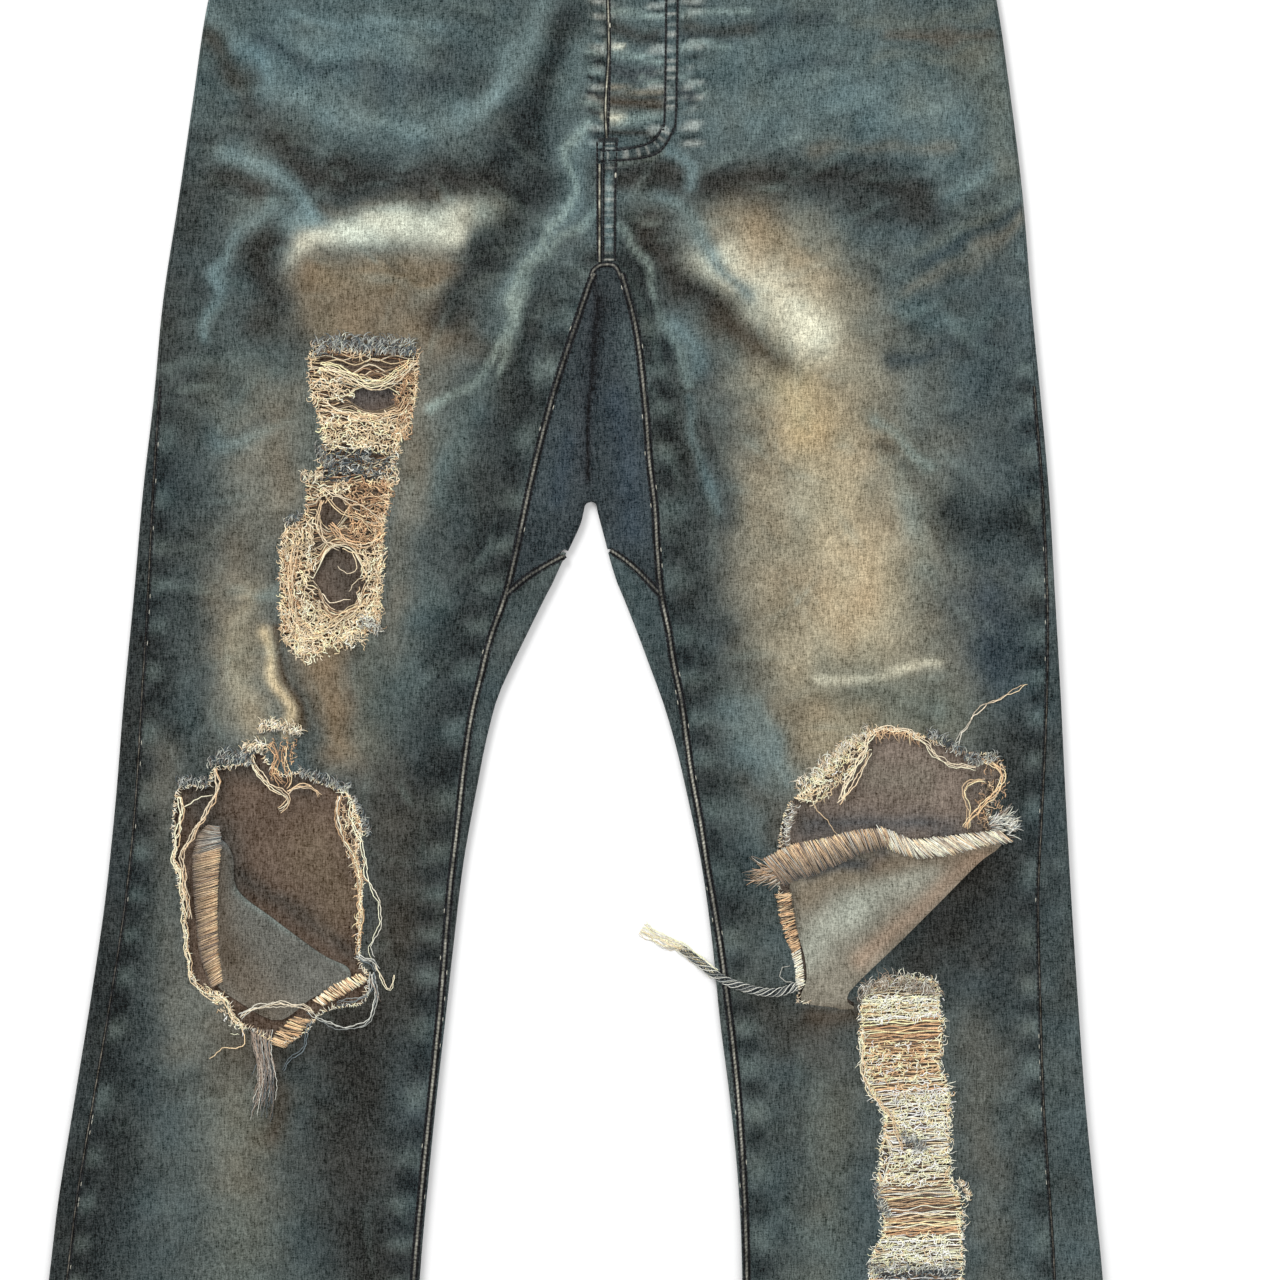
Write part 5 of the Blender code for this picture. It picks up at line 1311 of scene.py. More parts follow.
def flap_piece(name, outline, place, replaces, shade):
    loop = smooth_line(outline, 2.5, closed=True)
    low, high = np.min(loop, axis=0), np.max(loop, axis=0)
    step = 2.2
    bm = box_grid(low, high, int((high[0] - low[0]) / step), int((high[1] - low[1]) / step))
    cut_away(bm, loop, keep_inside=True)
    return finish_cloth(name, bm, place, replaces, shade)


def right_flap_place(x, down, face):
    gap, _ = line_distance(x, down, RIGHT_ROLL)
    fold, _ = line_distance(x, down, ((-226, 656), (-203, 676), (-173, 698), (-148, 712)))
    wave = 0.35 * np.sin(x * 0.12 + down * 0.09) + 0.15 * np.sin(down * 0.31)
    upper = 2 * CLOTH + 0.55 + 2.4 * np.exp(-(gap / 7) ** 2) + 0.7 * np.exp(-(fold / 4) ** 2) + wave
    return world(x, down, upper if face else CLOTH + 0.35)


def right_flap_shade(colour, x, down, height):
    shade = lay_strokes(one_tone(colour, "flap_grey"), x, down, FLAP_STROKES[RIGHT], drift=2.0)
    return shade * (1 + 0.16 * read_map(rub_map, x, down)[:, None])


def left_flap_place(x, down, face):
    gap, _ = line_distance(x, down, LEFT_ROLL)
    fold, _ = line_distance(x, down, SLANT_FOLD)
    low, _ = line_distance(x, down, ((128, 668), (160, 672), (196, 652)))
    swell = 2.4 * np.exp(-(gap / 5.5) ** 2) + 1.5 * np.exp(-(fold / 6) ** 2) - 0.7 * np.exp(-(low / 12) ** 2)
    top = top_height(x, down)
    return world(x, down, top + 0.1 + swell if face else top - CLOTH)


def left_flap_shade(colour, x, down, height):
    shade = lay_strokes(one_tone(colour, "stone"), x, down, FLAP_STROKES[LEFT], drift=2.0)
    return 0.88 * shade * (1 + 0.12 * read_map(rub_map, x, down)[:, None])


flap_right = flap_piece("cloth_flap_right", RIGHT_FLAP, right_flap_place, "knee_flap_right",
                        right_flap_shade)
flap_left = flap_piece("cloth_flap_left", LEFT_FLAP, left_flap_place, "knee_flap_left", left_flap_shade)

# %% [markdown]
# Where the cloth tears, its blue warp breaks off and its cream weft stays: long yarns across, with
# curls and tufts along the edge. Each yarn is one spline with a thickness and a colour at each of
# its points. One curve holds all the yarns of a rip, and it becomes one mesh when it is done, which
# is quick to make and keeps the piece in one.

# %% Yarn helpers
YARN_SIDES = 4
BRIGHTEST = 0.93


def view_line(points, step):
    """A smooth line through places in the photo's frame, as places on the garment."""
    return np.array(smooth_line([view_place(*point) for point in points], step))


def walked_along(line):
    """How far along a line each of its points is."""
    return np.concatenate([[0], np.cumsum(np.linalg.norm(np.diff(line, axis=0), axis=1))])


def directions(line):
    """At each point of a line, the unit steps ahead and sideways."""
    ahead = np.gradient(line, axis=0)
    ahead /= np.linalg.norm(ahead, axis=1)[:, None]
    return ahead, np.stack([-ahead[:, 1], ahead[:, 0]], axis=1)


height_map = top_height(*np.meshgrid(map_x, map_down))


def laid_height(x, down):
    return read_map(height_map, x, down)


def ground_height(x, down):
    """Height of what a loose thread lies on: cloth, a hole's back layer, or the floor beside."""
    height = laid_height(x, down)
    for loop in (right_knee, left_knee):
        height = np.where(inside(x, down, loop), CLOTH + 1.0, height)
    edge = edge_distance(x, down)
    beside = 2 * SIDE_FOLD * np.clip(1 + (edge + 3) / 8, 0, 1)
    return np.where(edge < 5, beside, height)


def taper(count, radius, end=0.35):
    t = np.linspace(0, 1, count)
    return radius * (1 + (end - 1) * t ** 2)


def yarn(points, radius, first, second, brightness=1.0):
    """One yarn: places in millimetres, radii, and colours that pass from one tone to another."""
    points = np.asarray(points, float)
    t = np.linspace(0, 1, len(points))
    radii = np.broadcast_to(radius, len(points))
    colour = toward(linear(TONES[first]), second, t[:, None])
    return points, radii, np.minimum(colour * brightness, BRIGHTEST)


def weave_threads(name, yarns, replaces=None, gain=1.0):
    """One mesh from many yarns, coloured along each of them, its tones times the gain."""
    data = bpy.data.curves.new(name, "CURVE")
    data.dimensions = "3D"
    data.bevel_depth = MM
    data.bevel_resolution = 0
    data.use_fill_caps = True
    for points, radii, _ in yarns:
        spline = data.splines.new("POLY")
        spline.points.add(len(points) - 1)
        places = world(points[:, 0], points[:, 1], points[:, 2])
        spline.points.foreach_set("co", np.column_stack([places, np.ones(len(points))]).ravel())
        spline.points.foreach_set("radius", np.ascontiguousarray(radii, float))
    curve = bpy.data.objects.new(name + "_lines", data)
    bpy.context.scene.collection.objects.link(curve)
    graph = bpy.context.evaluated_depsgraph_get()
    mesh = bpy.data.meshes.new_from_object(curve.evaluated_get(graph), depsgraph=graph)
    bpy.data.objects.remove(curve)
    bpy.data.curves.remove(data)
    mesh.name = name
    # the end caps come first in the mesh, last yarn first, and then the tubes in order
    caps = [np.repeat(colour[[-1, 0]], YARN_SIDES, axis=0) for _, _, colour in reversed(yarns)]
    tubes = [np.repeat(colour, YARN_SIDES, axis=0) for _, _, colour in yarns]
    colours = np.clip(gain * np.concatenate(caps + tubes), 0, BRIGHTEST)
    layer = mesh.color_attributes.new(name="wash_and_shade", type="FLOAT_COLOR", domain="POINT")
    layer.data.foreach_set("color", np.column_stack([colours, np.ones(len(colours))]).ravel())
    bm = bmesh.new()
    bm.from_mesh(mesh)
    bmesh.ops.remove_doubles(bm, verts=bm.verts[:], dist=1e-7)
    bm.to_mesh(mesh)
    bm.free()
    mesh.shade_smooth()
    mesh.materials.clear()
    mesh.materials.append(cotton)
    piece = bpy.data.objects.new(name, mesh)
    bpy.context.scene.collection.objects.link(piece)
    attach(piece, "root")
    if replaces:
        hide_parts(replaces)
    print(name, "has", len(yarns), "yarns and", sum(len(p.vertices) - 2 for p in mesh.polygons), "triangles")
    return piece


cotton = cloth_material("torn_cotton", 0.5, 0.4, 0.15)

# %% [markdown]
# Six kinds of yarn make every frayed edge: a weft that still spans the rip and bends round its open
# places, a curl that has sprung loose, a tuft of short loops standing off the edge, a tangle heaped
# inside an outline, a wrap that covers a rolled edge, and a bundle of long yarns pulled along a
# line. Each kind is a small function with its own seeded chance, so the same edge comes out on
# every run.

# %% Kinds of yarn
def span_at(loop, down):
    """Where a level line enters and leaves a closed line."""
    hits = [ax + (bx - ax) * (down - ad) / (bd - ad)
            for (ax, ad), (bx, bd) in zip(loop, loop[1:] + loop[:1]) if (ad > down) != (bd > down)]
    return (min(hits), max(hits)) if len(hits) > 1 else None


def wefts(loop, pitch, openings, bands, chance, wander, tilt=0.0, sunk=0.9):
    """Yarns left across a rip. An opening is (x, down, half width, half height), and a band is the
    place down where some tones end."""
    low, high = min(p[1] for p in loop), max(p[1] for p in loop)
    made = []
    down = low + 0.6
    while down < high - 0.6:
        span = span_at(loop, down)
        down += pitch * chance.uniform(0.6, 1.4)
        if not span or span[1] - span[0] < 6:
            continue
        count = max(6, int((span[1] - span[0]) / 3.2))
        t = np.linspace(0, 1, count)
        x = span[0] - 2 + (span[1] - span[0] + 4) * t
        sway = wander * chance.uniform(0.4, 1.6)
        slope = tilt + chance.uniform(-1.6, 1.6)
        tones = next(tones for end, tones in bands if down < end)
        phase, wave = chance.uniform(0, 6.3), chance.uniform(0.12, 0.4)
        places = down + slope * (t - 0.5) + sway * np.sin(x * wave + phase) * np.sin(t * math.pi)
        for ox, od, half_width, half_height in openings:
            across = (x - ox) / half_width
            reach = np.sqrt(np.clip(1 - across ** 2, 0, 1)) * half_height
            offset = places - od
            sign = 1 if np.mean(offset) >= 0 else -1
            squeezed = sign * (reach + np.abs(offset) * 0.35)
            places = np.where((reach > 0) & (np.abs(offset) < reach * 1.5), od + squeezed, places)
        sag = chance.uniform(0.1, 1.7)
        height = laid_height(x, places) - sunk + chance.uniform(-0.2, 0.9)
        height = height - sag * np.sin(t * math.pi) + 0.35 * np.sin(x * 0.9 + phase)
        height = np.maximum(height, CLOTH + 0.5)
        tone = chance.choice(tones)
        made.append(yarn(np.stack([x, places, height], axis=1), chance.uniform(0.26, 0.42),
                         tone, chance.choice(tones), chance.uniform(0.55, 1.35)))
    return made


def curl(start, heading, length, chance, radius, first, second, lift, swirl, base):
    """A loose yarn that springs from a place at its base's height and turns as it goes."""
    count = max(5, int(length / 1.3))
    step = length / count
    x, down = start
    angle = heading
    bend = chance.uniform(-swirl, swirl)
    points = []
    rise = 0.0
    for k in range(count + 1):
        points.append((x, down, rise))
        bend += chance.uniform(-0.35, 0.35) * swirl
        bend = max(-1.0, min(1.0, bend))
        angle += bend
        x += math.cos(angle) * step
        down += math.sin(angle) * step
        rise = lift * math.sin(math.pi * min(1.0, 1.4 * (k + 1) / (count + 1)))
    points = np.array(points)
    points[:, 2] += base + radius
    return yarn(points, taper(len(points), radius), first, second, chance.uniform(0.8, 1.15))


def edge_walk(loop, pitch, chance):
    """Places along a line with the direction that faces into its rip."""
    points = np.array(loop)
    steps = np.diff(np.concatenate([points, points[:1]]), axis=0)
    lengths = np.linalg.norm(steps, axis=1)
    walked = np.concatenate([[0], np.cumsum(lengths)])
    place = 0.0
    while place < walked[-1]:
        i = min(int(np.searchsorted(walked, place, side="right")) - 1, len(steps) - 1)
        spot = points[i] + steps[i] * (place - walked[i]) / max(lengths[i], 1e-6)
        ahead = steps[i] / max(lengths[i], 1e-6)
        inward = np.array([-ahead[1], ahead[0]])
        probe = spot + inward * 1.5
        if not inside(np.array([probe[0]]), np.array([probe[1]]), [tuple(p) for p in loop])[0]:
            inward = -inward
        yield spot, inward
        place += pitch * chance.uniform(0.5, 1.5)


def fray(loop, pitch, length, tones, chance, where=None, swirl=0.5, radius=0.3, outward=0.0):
    """Short yarns all along a torn edge, most of them into the rip."""
    made = []
    for spot, inward in edge_walk(loop, pitch, chance):
        if where and not where(*spot):
            continue
        sign = -1 if chance.random() < outward else 1
        heading = math.atan2(inward[1] * sign, inward[0] * sign) + chance.uniform(-0.7, 0.7)
        start = spot - inward * chance.uniform(0.3, 1.2)
        base = laid_height(start[0], start[1]) - chance.uniform(0.0, 0.9)
        made.append(curl(start, heading, length * chance.uniform(0.5, 1.3), chance, radius,
                         chance.choice(tones), chance.choice(tones), chance.uniform(0.3, 1.4), swirl,
                         float(base)))
    return made


TONE_CHOICES = {
    "frost": ("frost", "chalk", "frost", "taupe", "blue_grey"),
    "blue_grey": ("blue_grey", "smoke", "slate"), "weft_light": ("weft_light", "straw", "weft"),
    "taupe": ("taupe", "bark", "frost"), "weft_tan": ("weft_tan", "bark", "taupe"),
}


def tuft(points, count, length, width, first, second, chance, lean=-1.2, radius=0.3, curve=0.45):
    """Short loops side by side along a line, like the teeth of a brush that curl over."""
    first, second = TONE_CHOICES[first], TONE_CHOICES[second]
    line = view_line(points, 1.0)
    made = []
    for _ in range(count):
        i = int(chance.random() * (len(line) - 1))
        spot = line[i] + np.array([chance.uniform(-0.5, 0.5), chance.uniform(-width, width)])
        heading = lean + chance.uniform(-0.6, 0.6)
        size = length * chance.uniform(0.6, 1.3)
        steps = 7
        t = np.linspace(0, 1, steps)
        turn = chance.choice((-1, 1)) * curve * math.pi * chance.uniform(0.8, 1.8)
        angles = heading + turn * (t - 0.3)
        x = spot[0] + np.cumsum(np.cos(angles)) * size / steps
        down = spot[1] + np.cumsum(np.sin(angles)) * size / steps
        height = laid_height(spot[0], spot[1]) + radius + 1.6 * np.sin(t * math.pi * 0.8)
        made.append(yarn(np.stack([x, down, height], axis=1), taper(steps, radius),
                         chance.choice(first), chance.choice(second), chance.uniform(0.5, 1.4)))
    return made


def tangle(area, count, length, tones, chance, heading, spread, radius=0.33, lift=1.8, light=(0.6, 1.4)):
    """Springy yarns heaped inside an outline: each one waves as it goes and bends one way, and the lower ones
    in the heap are painted darker, as painted shade.
    """
    loop = [view_place(*point) for point in area]
    low, high = np.min(loop, axis=0), np.max(loop, axis=0)
    made = []
    while len(made) < count:
        spot = np.array([chance.uniform(low[0], high[0]), chance.uniform(low[1], high[1])])
        if not inside(spot[:1], spot[1:], loop)[0]:
            continue
        size = length * chance.uniform(0.5, 1.4)
        t = np.linspace(-0.5, 0.5, max(6, int(size / 1.4)))
        angle = heading + chance.gauss(0, spread)
        depth, period, phase = chance.uniform(0.5, 1.2), chance.uniform(0.75, 1.3), chance.uniform(0, 6.3)
        wave = depth * np.sin(t * size / period + phase)
        turn = angle + chance.uniform(-1.3, 1.3) * t * 2 + wave
        step = size / len(t)
        x = np.cumsum(np.cos(turn)) * step
        down = np.cumsum(np.sin(turn)) * step
        x, down = spot[0] + x - x.mean(), spot[1] + down - down.mean()
        heap = chance.random() * lift
        height = laid_height(x, down) - 0.7 + heap + 0.5 * np.sin(t * 9 + chance.uniform(0, 6.3))
        # brightness at random, times painted shade that darkens the lower yarns of the heap
        shine_and_heap_shade = chance.uniform(*light) * (0.7 + 0.3 * heap / lift)
        made.append(yarn(np.stack([x, down, height], axis=1), radius * chance.uniform(0.75, 1.2),
                         chance.choice(tones), chance.choice(tones), shine_and_heap_shade))
    return made


def wraps(points, width, pitch, rise, tones, chance, slant, floor_at, radius=0.34, ends=None, stray=0.15):
    """Yarns that cover a rolled edge from one side to the other, each passing from one of its tones to one of
    the end tones; darker end tones give the roll a painted shaded side.
    """
    line = view_line(points, pitch)
    ahead, normal = directions(line)
    sizes = np.interp(np.linspace(0, 1, len(line)), np.linspace(0, 1, len(width)), width)
    made = []
    for i in range(len(line)):
        half = sizes[i] / 2 * chance.uniform(1 - stray, 1 + stray)
        t = np.linspace(-1, 1, 7)
        lean = slant + chance.uniform(-1.7, 1.7) * stray
        spot = line[i] + ahead[i] * chance.uniform(-0.5, 0.5)
        across = spot + (normal[i] * half) * t[:, None] + (ahead[i] * half * lean) * t[:, None]
        height = floor_at + rise * np.sqrt(np.clip(1 - (t * 0.96) ** 2, 0, 1)) * chance.uniform(0.85, 1.1)
        made.append(yarn(np.column_stack([across, height]), radius * chance.uniform(0.8, 1.25),
                         chance.choice(tones), chance.choice(ends or tones), chance.uniform(0.75, 1.2)))
    return made


def bundle(points, strands, spread, first, second, chance, radius=0.34, lift=0.6, twist=0.0,
           frayed_end=0.0, base=ground_height):
    """Several long yarns along one line, side by side or twisted round each other."""
    line = view_line(points, 2.2)
    _, normal = directions(line)
    t = np.linspace(0, 1, len(line))
    walked = walked_along(line)
    ground = base(line[:, 0], line[:, 1])
    smooth = np.convolve(np.pad(ground, 2, mode="edge"), np.ones(5) / 5, mode="valid")
    ground = np.maximum(ground, smooth)
    made = []
    for k in range(strands):
        share = (k + 0.5) / strands * 2 * math.pi
        if twist:
            angle = share + walked * twist
            side = np.cos(angle) * spread / 2
            rise = (np.sin(angle) + 1) * spread / 2 * 0.6
        else:
            side = (k - (strands - 1) / 2) * spread / max(strands - 1, 1)
            side = side + chance.uniform(0.3, 0.9) * np.sin(walked * chance.uniform(0.2, 0.5)
                                                            + chance.uniform(0, 6))
            side = side + 0.3 * np.sin(walked * chance.uniform(0.9, 1.4) + chance.uniform(0, 6))
            rise = lift * (0.5 + 0.5 * np.sin(walked * 0.35 + share)) * np.sin(np.pi * t) ** 0.5
        side = side * (1 + frayed_end * t ** 3)
        places = line + normal * np.broadcast_to(side, len(line))[:, None]
        height = ground + radius + rise
        shown = chance.choice((first, first, second)), chance.choice((second, second, first))
        made.append(yarn(np.column_stack([places, height]), taper(len(line), radius, 0.6),
                         *shown, chance.uniform(0.6, 1.2)))
    return made


# %% [markdown]
# The leg seams are felled: the cloth is folded over itself and stands up as a narrow rope, pale where
# it was rubbed, with a dark groove at each side that is painted dark for its stitching and as painted
# shade. A ridge is a narrow grid that follows the seam's line. Its slanting rubs are painted on its
# points, which lie about a millimetre apart, or two on the outseams.

# %% Seam ridges
def seam_path(seam, side, top, bottom, step, shift=0.0):
    down = np.arange(top, bottom, step)
    return np.stack([seam(side, down) + shift, down], axis=1)


def beside(path, gap):
    """The same line moved sideways."""
    return path + directions(path)[1] * gap


def on_strip(path, width, columns, column, row):
    """For a narrow grid along a line: the row, the place across from -1 to 1, and x and down."""
    i = np.rint(row).astype(int)
    u = np.rint(column) / columns * 2 - 1
    x, down = (path[i] + directions(path)[1][i] * u[:, None] * width / 2).T
    return i, u, x, down


def seam_ridge(name, path, width, rise, crest, slot, slant, pitch):
    """A rope of folded cloth along a line, rubbed pale in slanting stripes of the crest's tone; its sides
    stay navy, for the stitching and as painted shade in the grooves.
    """
    columns = 8 if width > 2 else 4
    walked = walked_along(path)
    _, normal = directions(path)

    def place(column, row, face):
        i, u, x, down = on_strip(path, width, columns, column, row)
        twist = 0.12 * np.sin(2 * math.pi * (walked[i] + slant * u * 1.2) / pitch)
        height = top_height(path[i, 0], path[i, 1]) + (rise + twist) * (1 - u ** 2) + 0.05
        return world(x, down, height if face else top_height(x, down) - 0.5)

    def shade(colour, x, down, height):
        gap = np.empty(len(x))
        at = np.empty(len(x))
        for k in range(0, len(x), 4000):
            far_x = x[k:k + 4000, None] - path[None, :, 0]
            far_down = down[k:k + 4000, None] - path[None, :, 1]
            near = np.argmin(far_x ** 2 + far_down ** 2, axis=1)
            rows = np.arange(len(near))
            gap[k:k + 4000] = far_x[rows, near] * normal[near, 0] + far_down[rows, near] * normal[near, 1]
            at[k:k + 4000] = walked[near]
        u = gap / (width / 2)
        stripe = 0.5 + 0.5 * np.sin(2 * math.pi * (at + slant * u * 1.2) / pitch + np.sin(at * 0.31))
        worn = np.clip(0.72 + 0.4 * read_map(rub_map, x, down), 0.25, 1)
        pale = np.clip(1.25 - 2.6 * np.abs(u), 0, 1) * (0.3 + 0.7 * stripe) * worn
        if not name.startswith(("seam_fly", "seam_rise")):
            pale *= np.interp(down, (270, 300, 420, 520), (0.5, 0.55, 0.75, 1))
        return toward(one_tone(colour, "navy_thread"), crest, pale[:, None])

    return finish_cloth(name, numbered_grid(columns, len(path) - 1), place, None, shade)


def channel_strip(name, path, width, seed):
    """The cloth between two rows of stitches: dark with thread where they pull it in, and gathered in rungs
    that are rubbed pale on top and painted dark in their hollows as painted shade.
    """
    columns = 12
    chance = random.Random(seed)
    walked = walked_along(path)
    places = np.arange(0, walked[-1] + 8, 0.8)
    rungs = np.interp(walked, places, [chance.uniform(-1, 1) for _ in places])
    gathers = np.sin(walked * 1.15 + 1.8 * np.sin(walked * 0.13)) * 0.45 + rungs * 0.75

    def place(column, row, face):
        i, u, x, down = on_strip(path, width, columns, column, row)
        sewn = np.exp(-((np.abs(u) - 0.74) / 0.12) ** 2)
        height = top_height(x, down) + 0.28 * (1 - u ** 4) - 0.25 * sewn + 0.12 * gathers[i] * (1 - u ** 2)
        return world(x, down, height + 0.04 if face else top_height(x, down) - 0.5)

    def shade(colour, x, down, height):
        gap, at = line_distance(x, down, path[::3])
        u = gap / (width / 2)
        gather = np.interp(at * walked[-1], walked, gathers)[:, None]
        inside_rows = np.clip((0.72 - u) / 0.12, 0, 1)[:, None]
        pale = np.clip(gather, 0, 1) * 0.36
        dark = np.clip(-gather, 0, 1) * 0.7
        colour = toward(colour, "frost", pale * (0.25 + 0.75 * inside_rows))
        colour = toward(colour, "night", dark * (0.3 + 0.7 * inside_rows))
        row = np.exp(-((u - 0.76) / 0.2) ** 2)[:, None]
        return toward(colour, "navy_thread", 0.92 * row)

    return finish_cloth(name, numbered_grid(columns, len(path) - 1), place, None, shade)


def fine_path(*points):
    return np.array(smooth_line(points, 0.8))


facing_path = fine_path((44.6, 42), (44.6, 105), (43.6, 177), (41.4, 186), (37, 193.4), (29.5, 198.6),
                        (17, 201), (-1, 202))
rise_channel = fine_path((6.2, 194), (5.8, 230), (5.6, 267))
channel_strip("seam_fly_rows", facing_path, 9.4, 83)
channel_strip("seam_rise_rows", rise_channel, 9.6, 89)
fly_path = seam_path(lambda side, down: fly_edge(down) + 1.0, LEFT, 41, 192, 0.8)
gusset_top = fine_path((-5.5, 277), (-4, 273), (0, 270), (7, 269.6), (10.5, 272), (13, 278))
gusset_right = fine_path((-58, 474), (-50, 467), (-42.8, 461.5), (-31, 454.5), (-21.5, 449.5))
gusset_left = fine_path((37.5, 474), (30, 466), (22, 458), (14, 451.5), (6.5, 446.5))
inseam_right = seam_path(inseam, RIGHT, 275, LENGTH - 1, 1.0)
inseam_left = seam_path(inseam, LEFT, 275, LENGTH - 1, 1.0)
rise_path = seam_path(lambda side, down: -0.3 + 0 * down, LEFT, 207, 268, 0.8)
# name, line, width, rise, tone of its crest, slot, slant and pitch of its rubs
SEAM_RIDGES = (
        ("seam_inseam_right", inseam_right, 4.2, 0.8, "worn_thread", "denim", 1.0, 2.6),
        ("seam_inseam_left", inseam_left, 4.2, 0.8, "worn_thread", "denim", -1.0, 2.6),
        ("seam_gusset_right", gusset_right, 3.8, 0.7, "worn_thread", "gusset_denim", 1.0, 2.6),
        ("seam_gusset_left", gusset_left, 3.8, 0.7, "worn_thread", "gusset_denim", -1.0, 2.6),
        ("seam_gusset_top", gusset_top, 3.4, 0.6, "worn_thread", "gusset_denim", 1.0, 4.0),
        ("seam_fly_edge", fly_path, 2.6, 0.4, "cream", "denim", 0.2, 14.0),
        ("seam_rise", rise_path, 3.0, 0.5, "cream", "denim", 0.2, 12.0),
        ("seam_outseam_right", seam_path(outseam, RIGHT, 345, LENGTH - 1, 2.2, 0.6), 1.9, 0.35,
         "stone", "denim", 1.0, 9.0),
        ("seam_outseam_left", seam_path(outseam, LEFT, 345, LENGTH - 1, 2.2, -0.6), 1.9, 0.35,
         "stone", "denim", 1.0, 9.0),
)
for ridge in SEAM_RIDGES:
    seam_ridge(*ridge)

# %% [markdown]
# Topstitching is dark thread in dashes of a little under three millimetres: two rows round the fly's
# facing and one along its edge, three down the rise, a bar-tack at the fly's foot, a row each side of
# the inseams and one beside the outseams, and rows along the waistband and the hems. Each stitch is a
# short yarn that sinks at both ends.

# %% Stitching
STITCH = 2.8
STITCH_GAP = 0.45


def stitches(path, radius=0.34, faded=0.0, chance=None):
    """Dashes of thread along a line, now and then a faded one."""
    walked = walked_along(path)
    made = []
    at = 0.4
    while at + STITCH < walked[-1]:
        place = at + STITCH * np.array([0, 0.3, 0.7, 1.0])
        x, down = (np.interp(place, walked, path[:, k]) for k in (0, 1))
        height = laid_height(x, down) + np.array([-0.2, 0.25, 0.25, -0.2])
        shown = "worn_thread" if chance and chance.random() < faded else "navy_thread"
        made.append(yarn(np.stack([x, down, height], axis=1), radius, shown, shown))
        at += STITCH + STITCH_GAP
    return made


def level_path(x_low, x_high, down):
    x = np.arange(x_low, x_high, 2.0)
    return np.stack([x, np.full(len(x), down)], axis=1)


FLY_ROWS = (
    ((41, 42), (41, 105), (40, 179), (38, 186), (33, 193), (23, 197), (11, 199), (-1, 199)),
    ((48, 42), (48, 105), (47, 176), (45, 186), (41, 195), (35, 201), (24, 204), (10, 205), (-1, 205)),
    ((2.2, 193), (2, 230), (2, 267)),
    ((10.5, 193), (9.3, 230), (9.2, 267)),
    ((-1.8, 193), (-1.8, 230), (-1.6, 267)),
    ((5.6, 45), (6, 105), (6.2, 150), (5, 190)),
)


def fly_stitches():
    chance = random.Random(71)
    made = []
    for row in FLY_ROWS:
        made += stitches(np.array(smooth_line(row, 2.0)), chance=chance, faded=0.01, radius=0.6)
    for k in range(15):
        x = -1.0 + 0.85 * k
        down = 192.2 + chance.uniform(-0.2, 0.2)
        height = float(top_height(x, down)) + 0.35
        bar = ((x, down - 1.3, height - 0.3), (x + 0.2, down, height), (x + 0.4, down + 1.3, height - 0.3))
        made.append(yarn(bar, 0.34, "navy_thread", "night"))
    return made


def leg_stitches():
    chance = random.Random(73)
    made = []
    for path in (inseam_right, inseam_left):
        for gap in (2.3, -2.3):
            made += stitches(beside(path, gap), chance=chance, faded=0.05, radius=0.26)
    for path in (gusset_right, gusset_left):
        for gap in (2.1, -2.1):
            made += stitches(beside(path, gap), radius=0.26)
    hem_row = HEM_TOP + 2.0
    for side in (RIGHT, LEFT):
        made += stitches(seam_path(outseam, side, 350, LENGTH - 2, 2.0, -side * 2.0), chance=chance,
                         faded=0.1, radius=0.22)
        outer_end = float(outer_edge(side, hem_row)) - side * 3
        inner_end = float(inner_edge(side, hem_row)) + side * 3
        low, high = sorted((outer_end, inner_end))
        made += stitches(level_path(low, high, hem_row), chance=chance, faded=0.2)
    return made


def band_stitches():
    chance = random.Random(79)
    made = []
    for down in (3.0, 37.0):
        for low, high in ((-221, WAIST_OPENING - 2), (WAIST_OPENING + 3, 226)):
            row = stitches(level_path(low, high, down), chance=chance, faded=0.12)
            for points, _, _ in row:
                sunk = points[:, 2] - points[:, 2].max() + 0.15
                points[:, 2] = band_height(points[:, 0], points[:, 1]) + sunk
            made += row
    return made


def band_height(x, down):
    """The waistband's upper face."""
    return 2 * SIDE_FOLD + band_lift(x) * (x > WAIST_OPENING) + band_wave(x) + band_round(down)


weave_threads("stitching_fly", fly_stitches())
weave_threads("stitching_legs", leg_stitches())
weave_threads("stitching_band", band_stitches())

# %% [markdown]
# The thigh's rip keeps a dense tangle of weft with four open places, and the shin's rip a neater
# ladder with darker bands. The open places are stated as ellipses that push the yarns aside, which
# is what a finger poked through the cloth does.

# %% Thigh and shin rips
LIGHT_WEFT = ("straw", "weft_light", "weft_light", "weft")
TAN_WEFT = ("weft_tan", "rust", "weft_orange", "weft")
# The lowest layer of weft gets these dark tones as painted shade in the gaps under the pale yarns.
DARK_WEFT_SHADE = ("brown", "bark", "rust", "umber")
PALE_WEFT = ("straw", "weft_light", "weft_light", "weft_light")
GREY_CURL = ("frost", "blue_grey", "smoke", "slate")
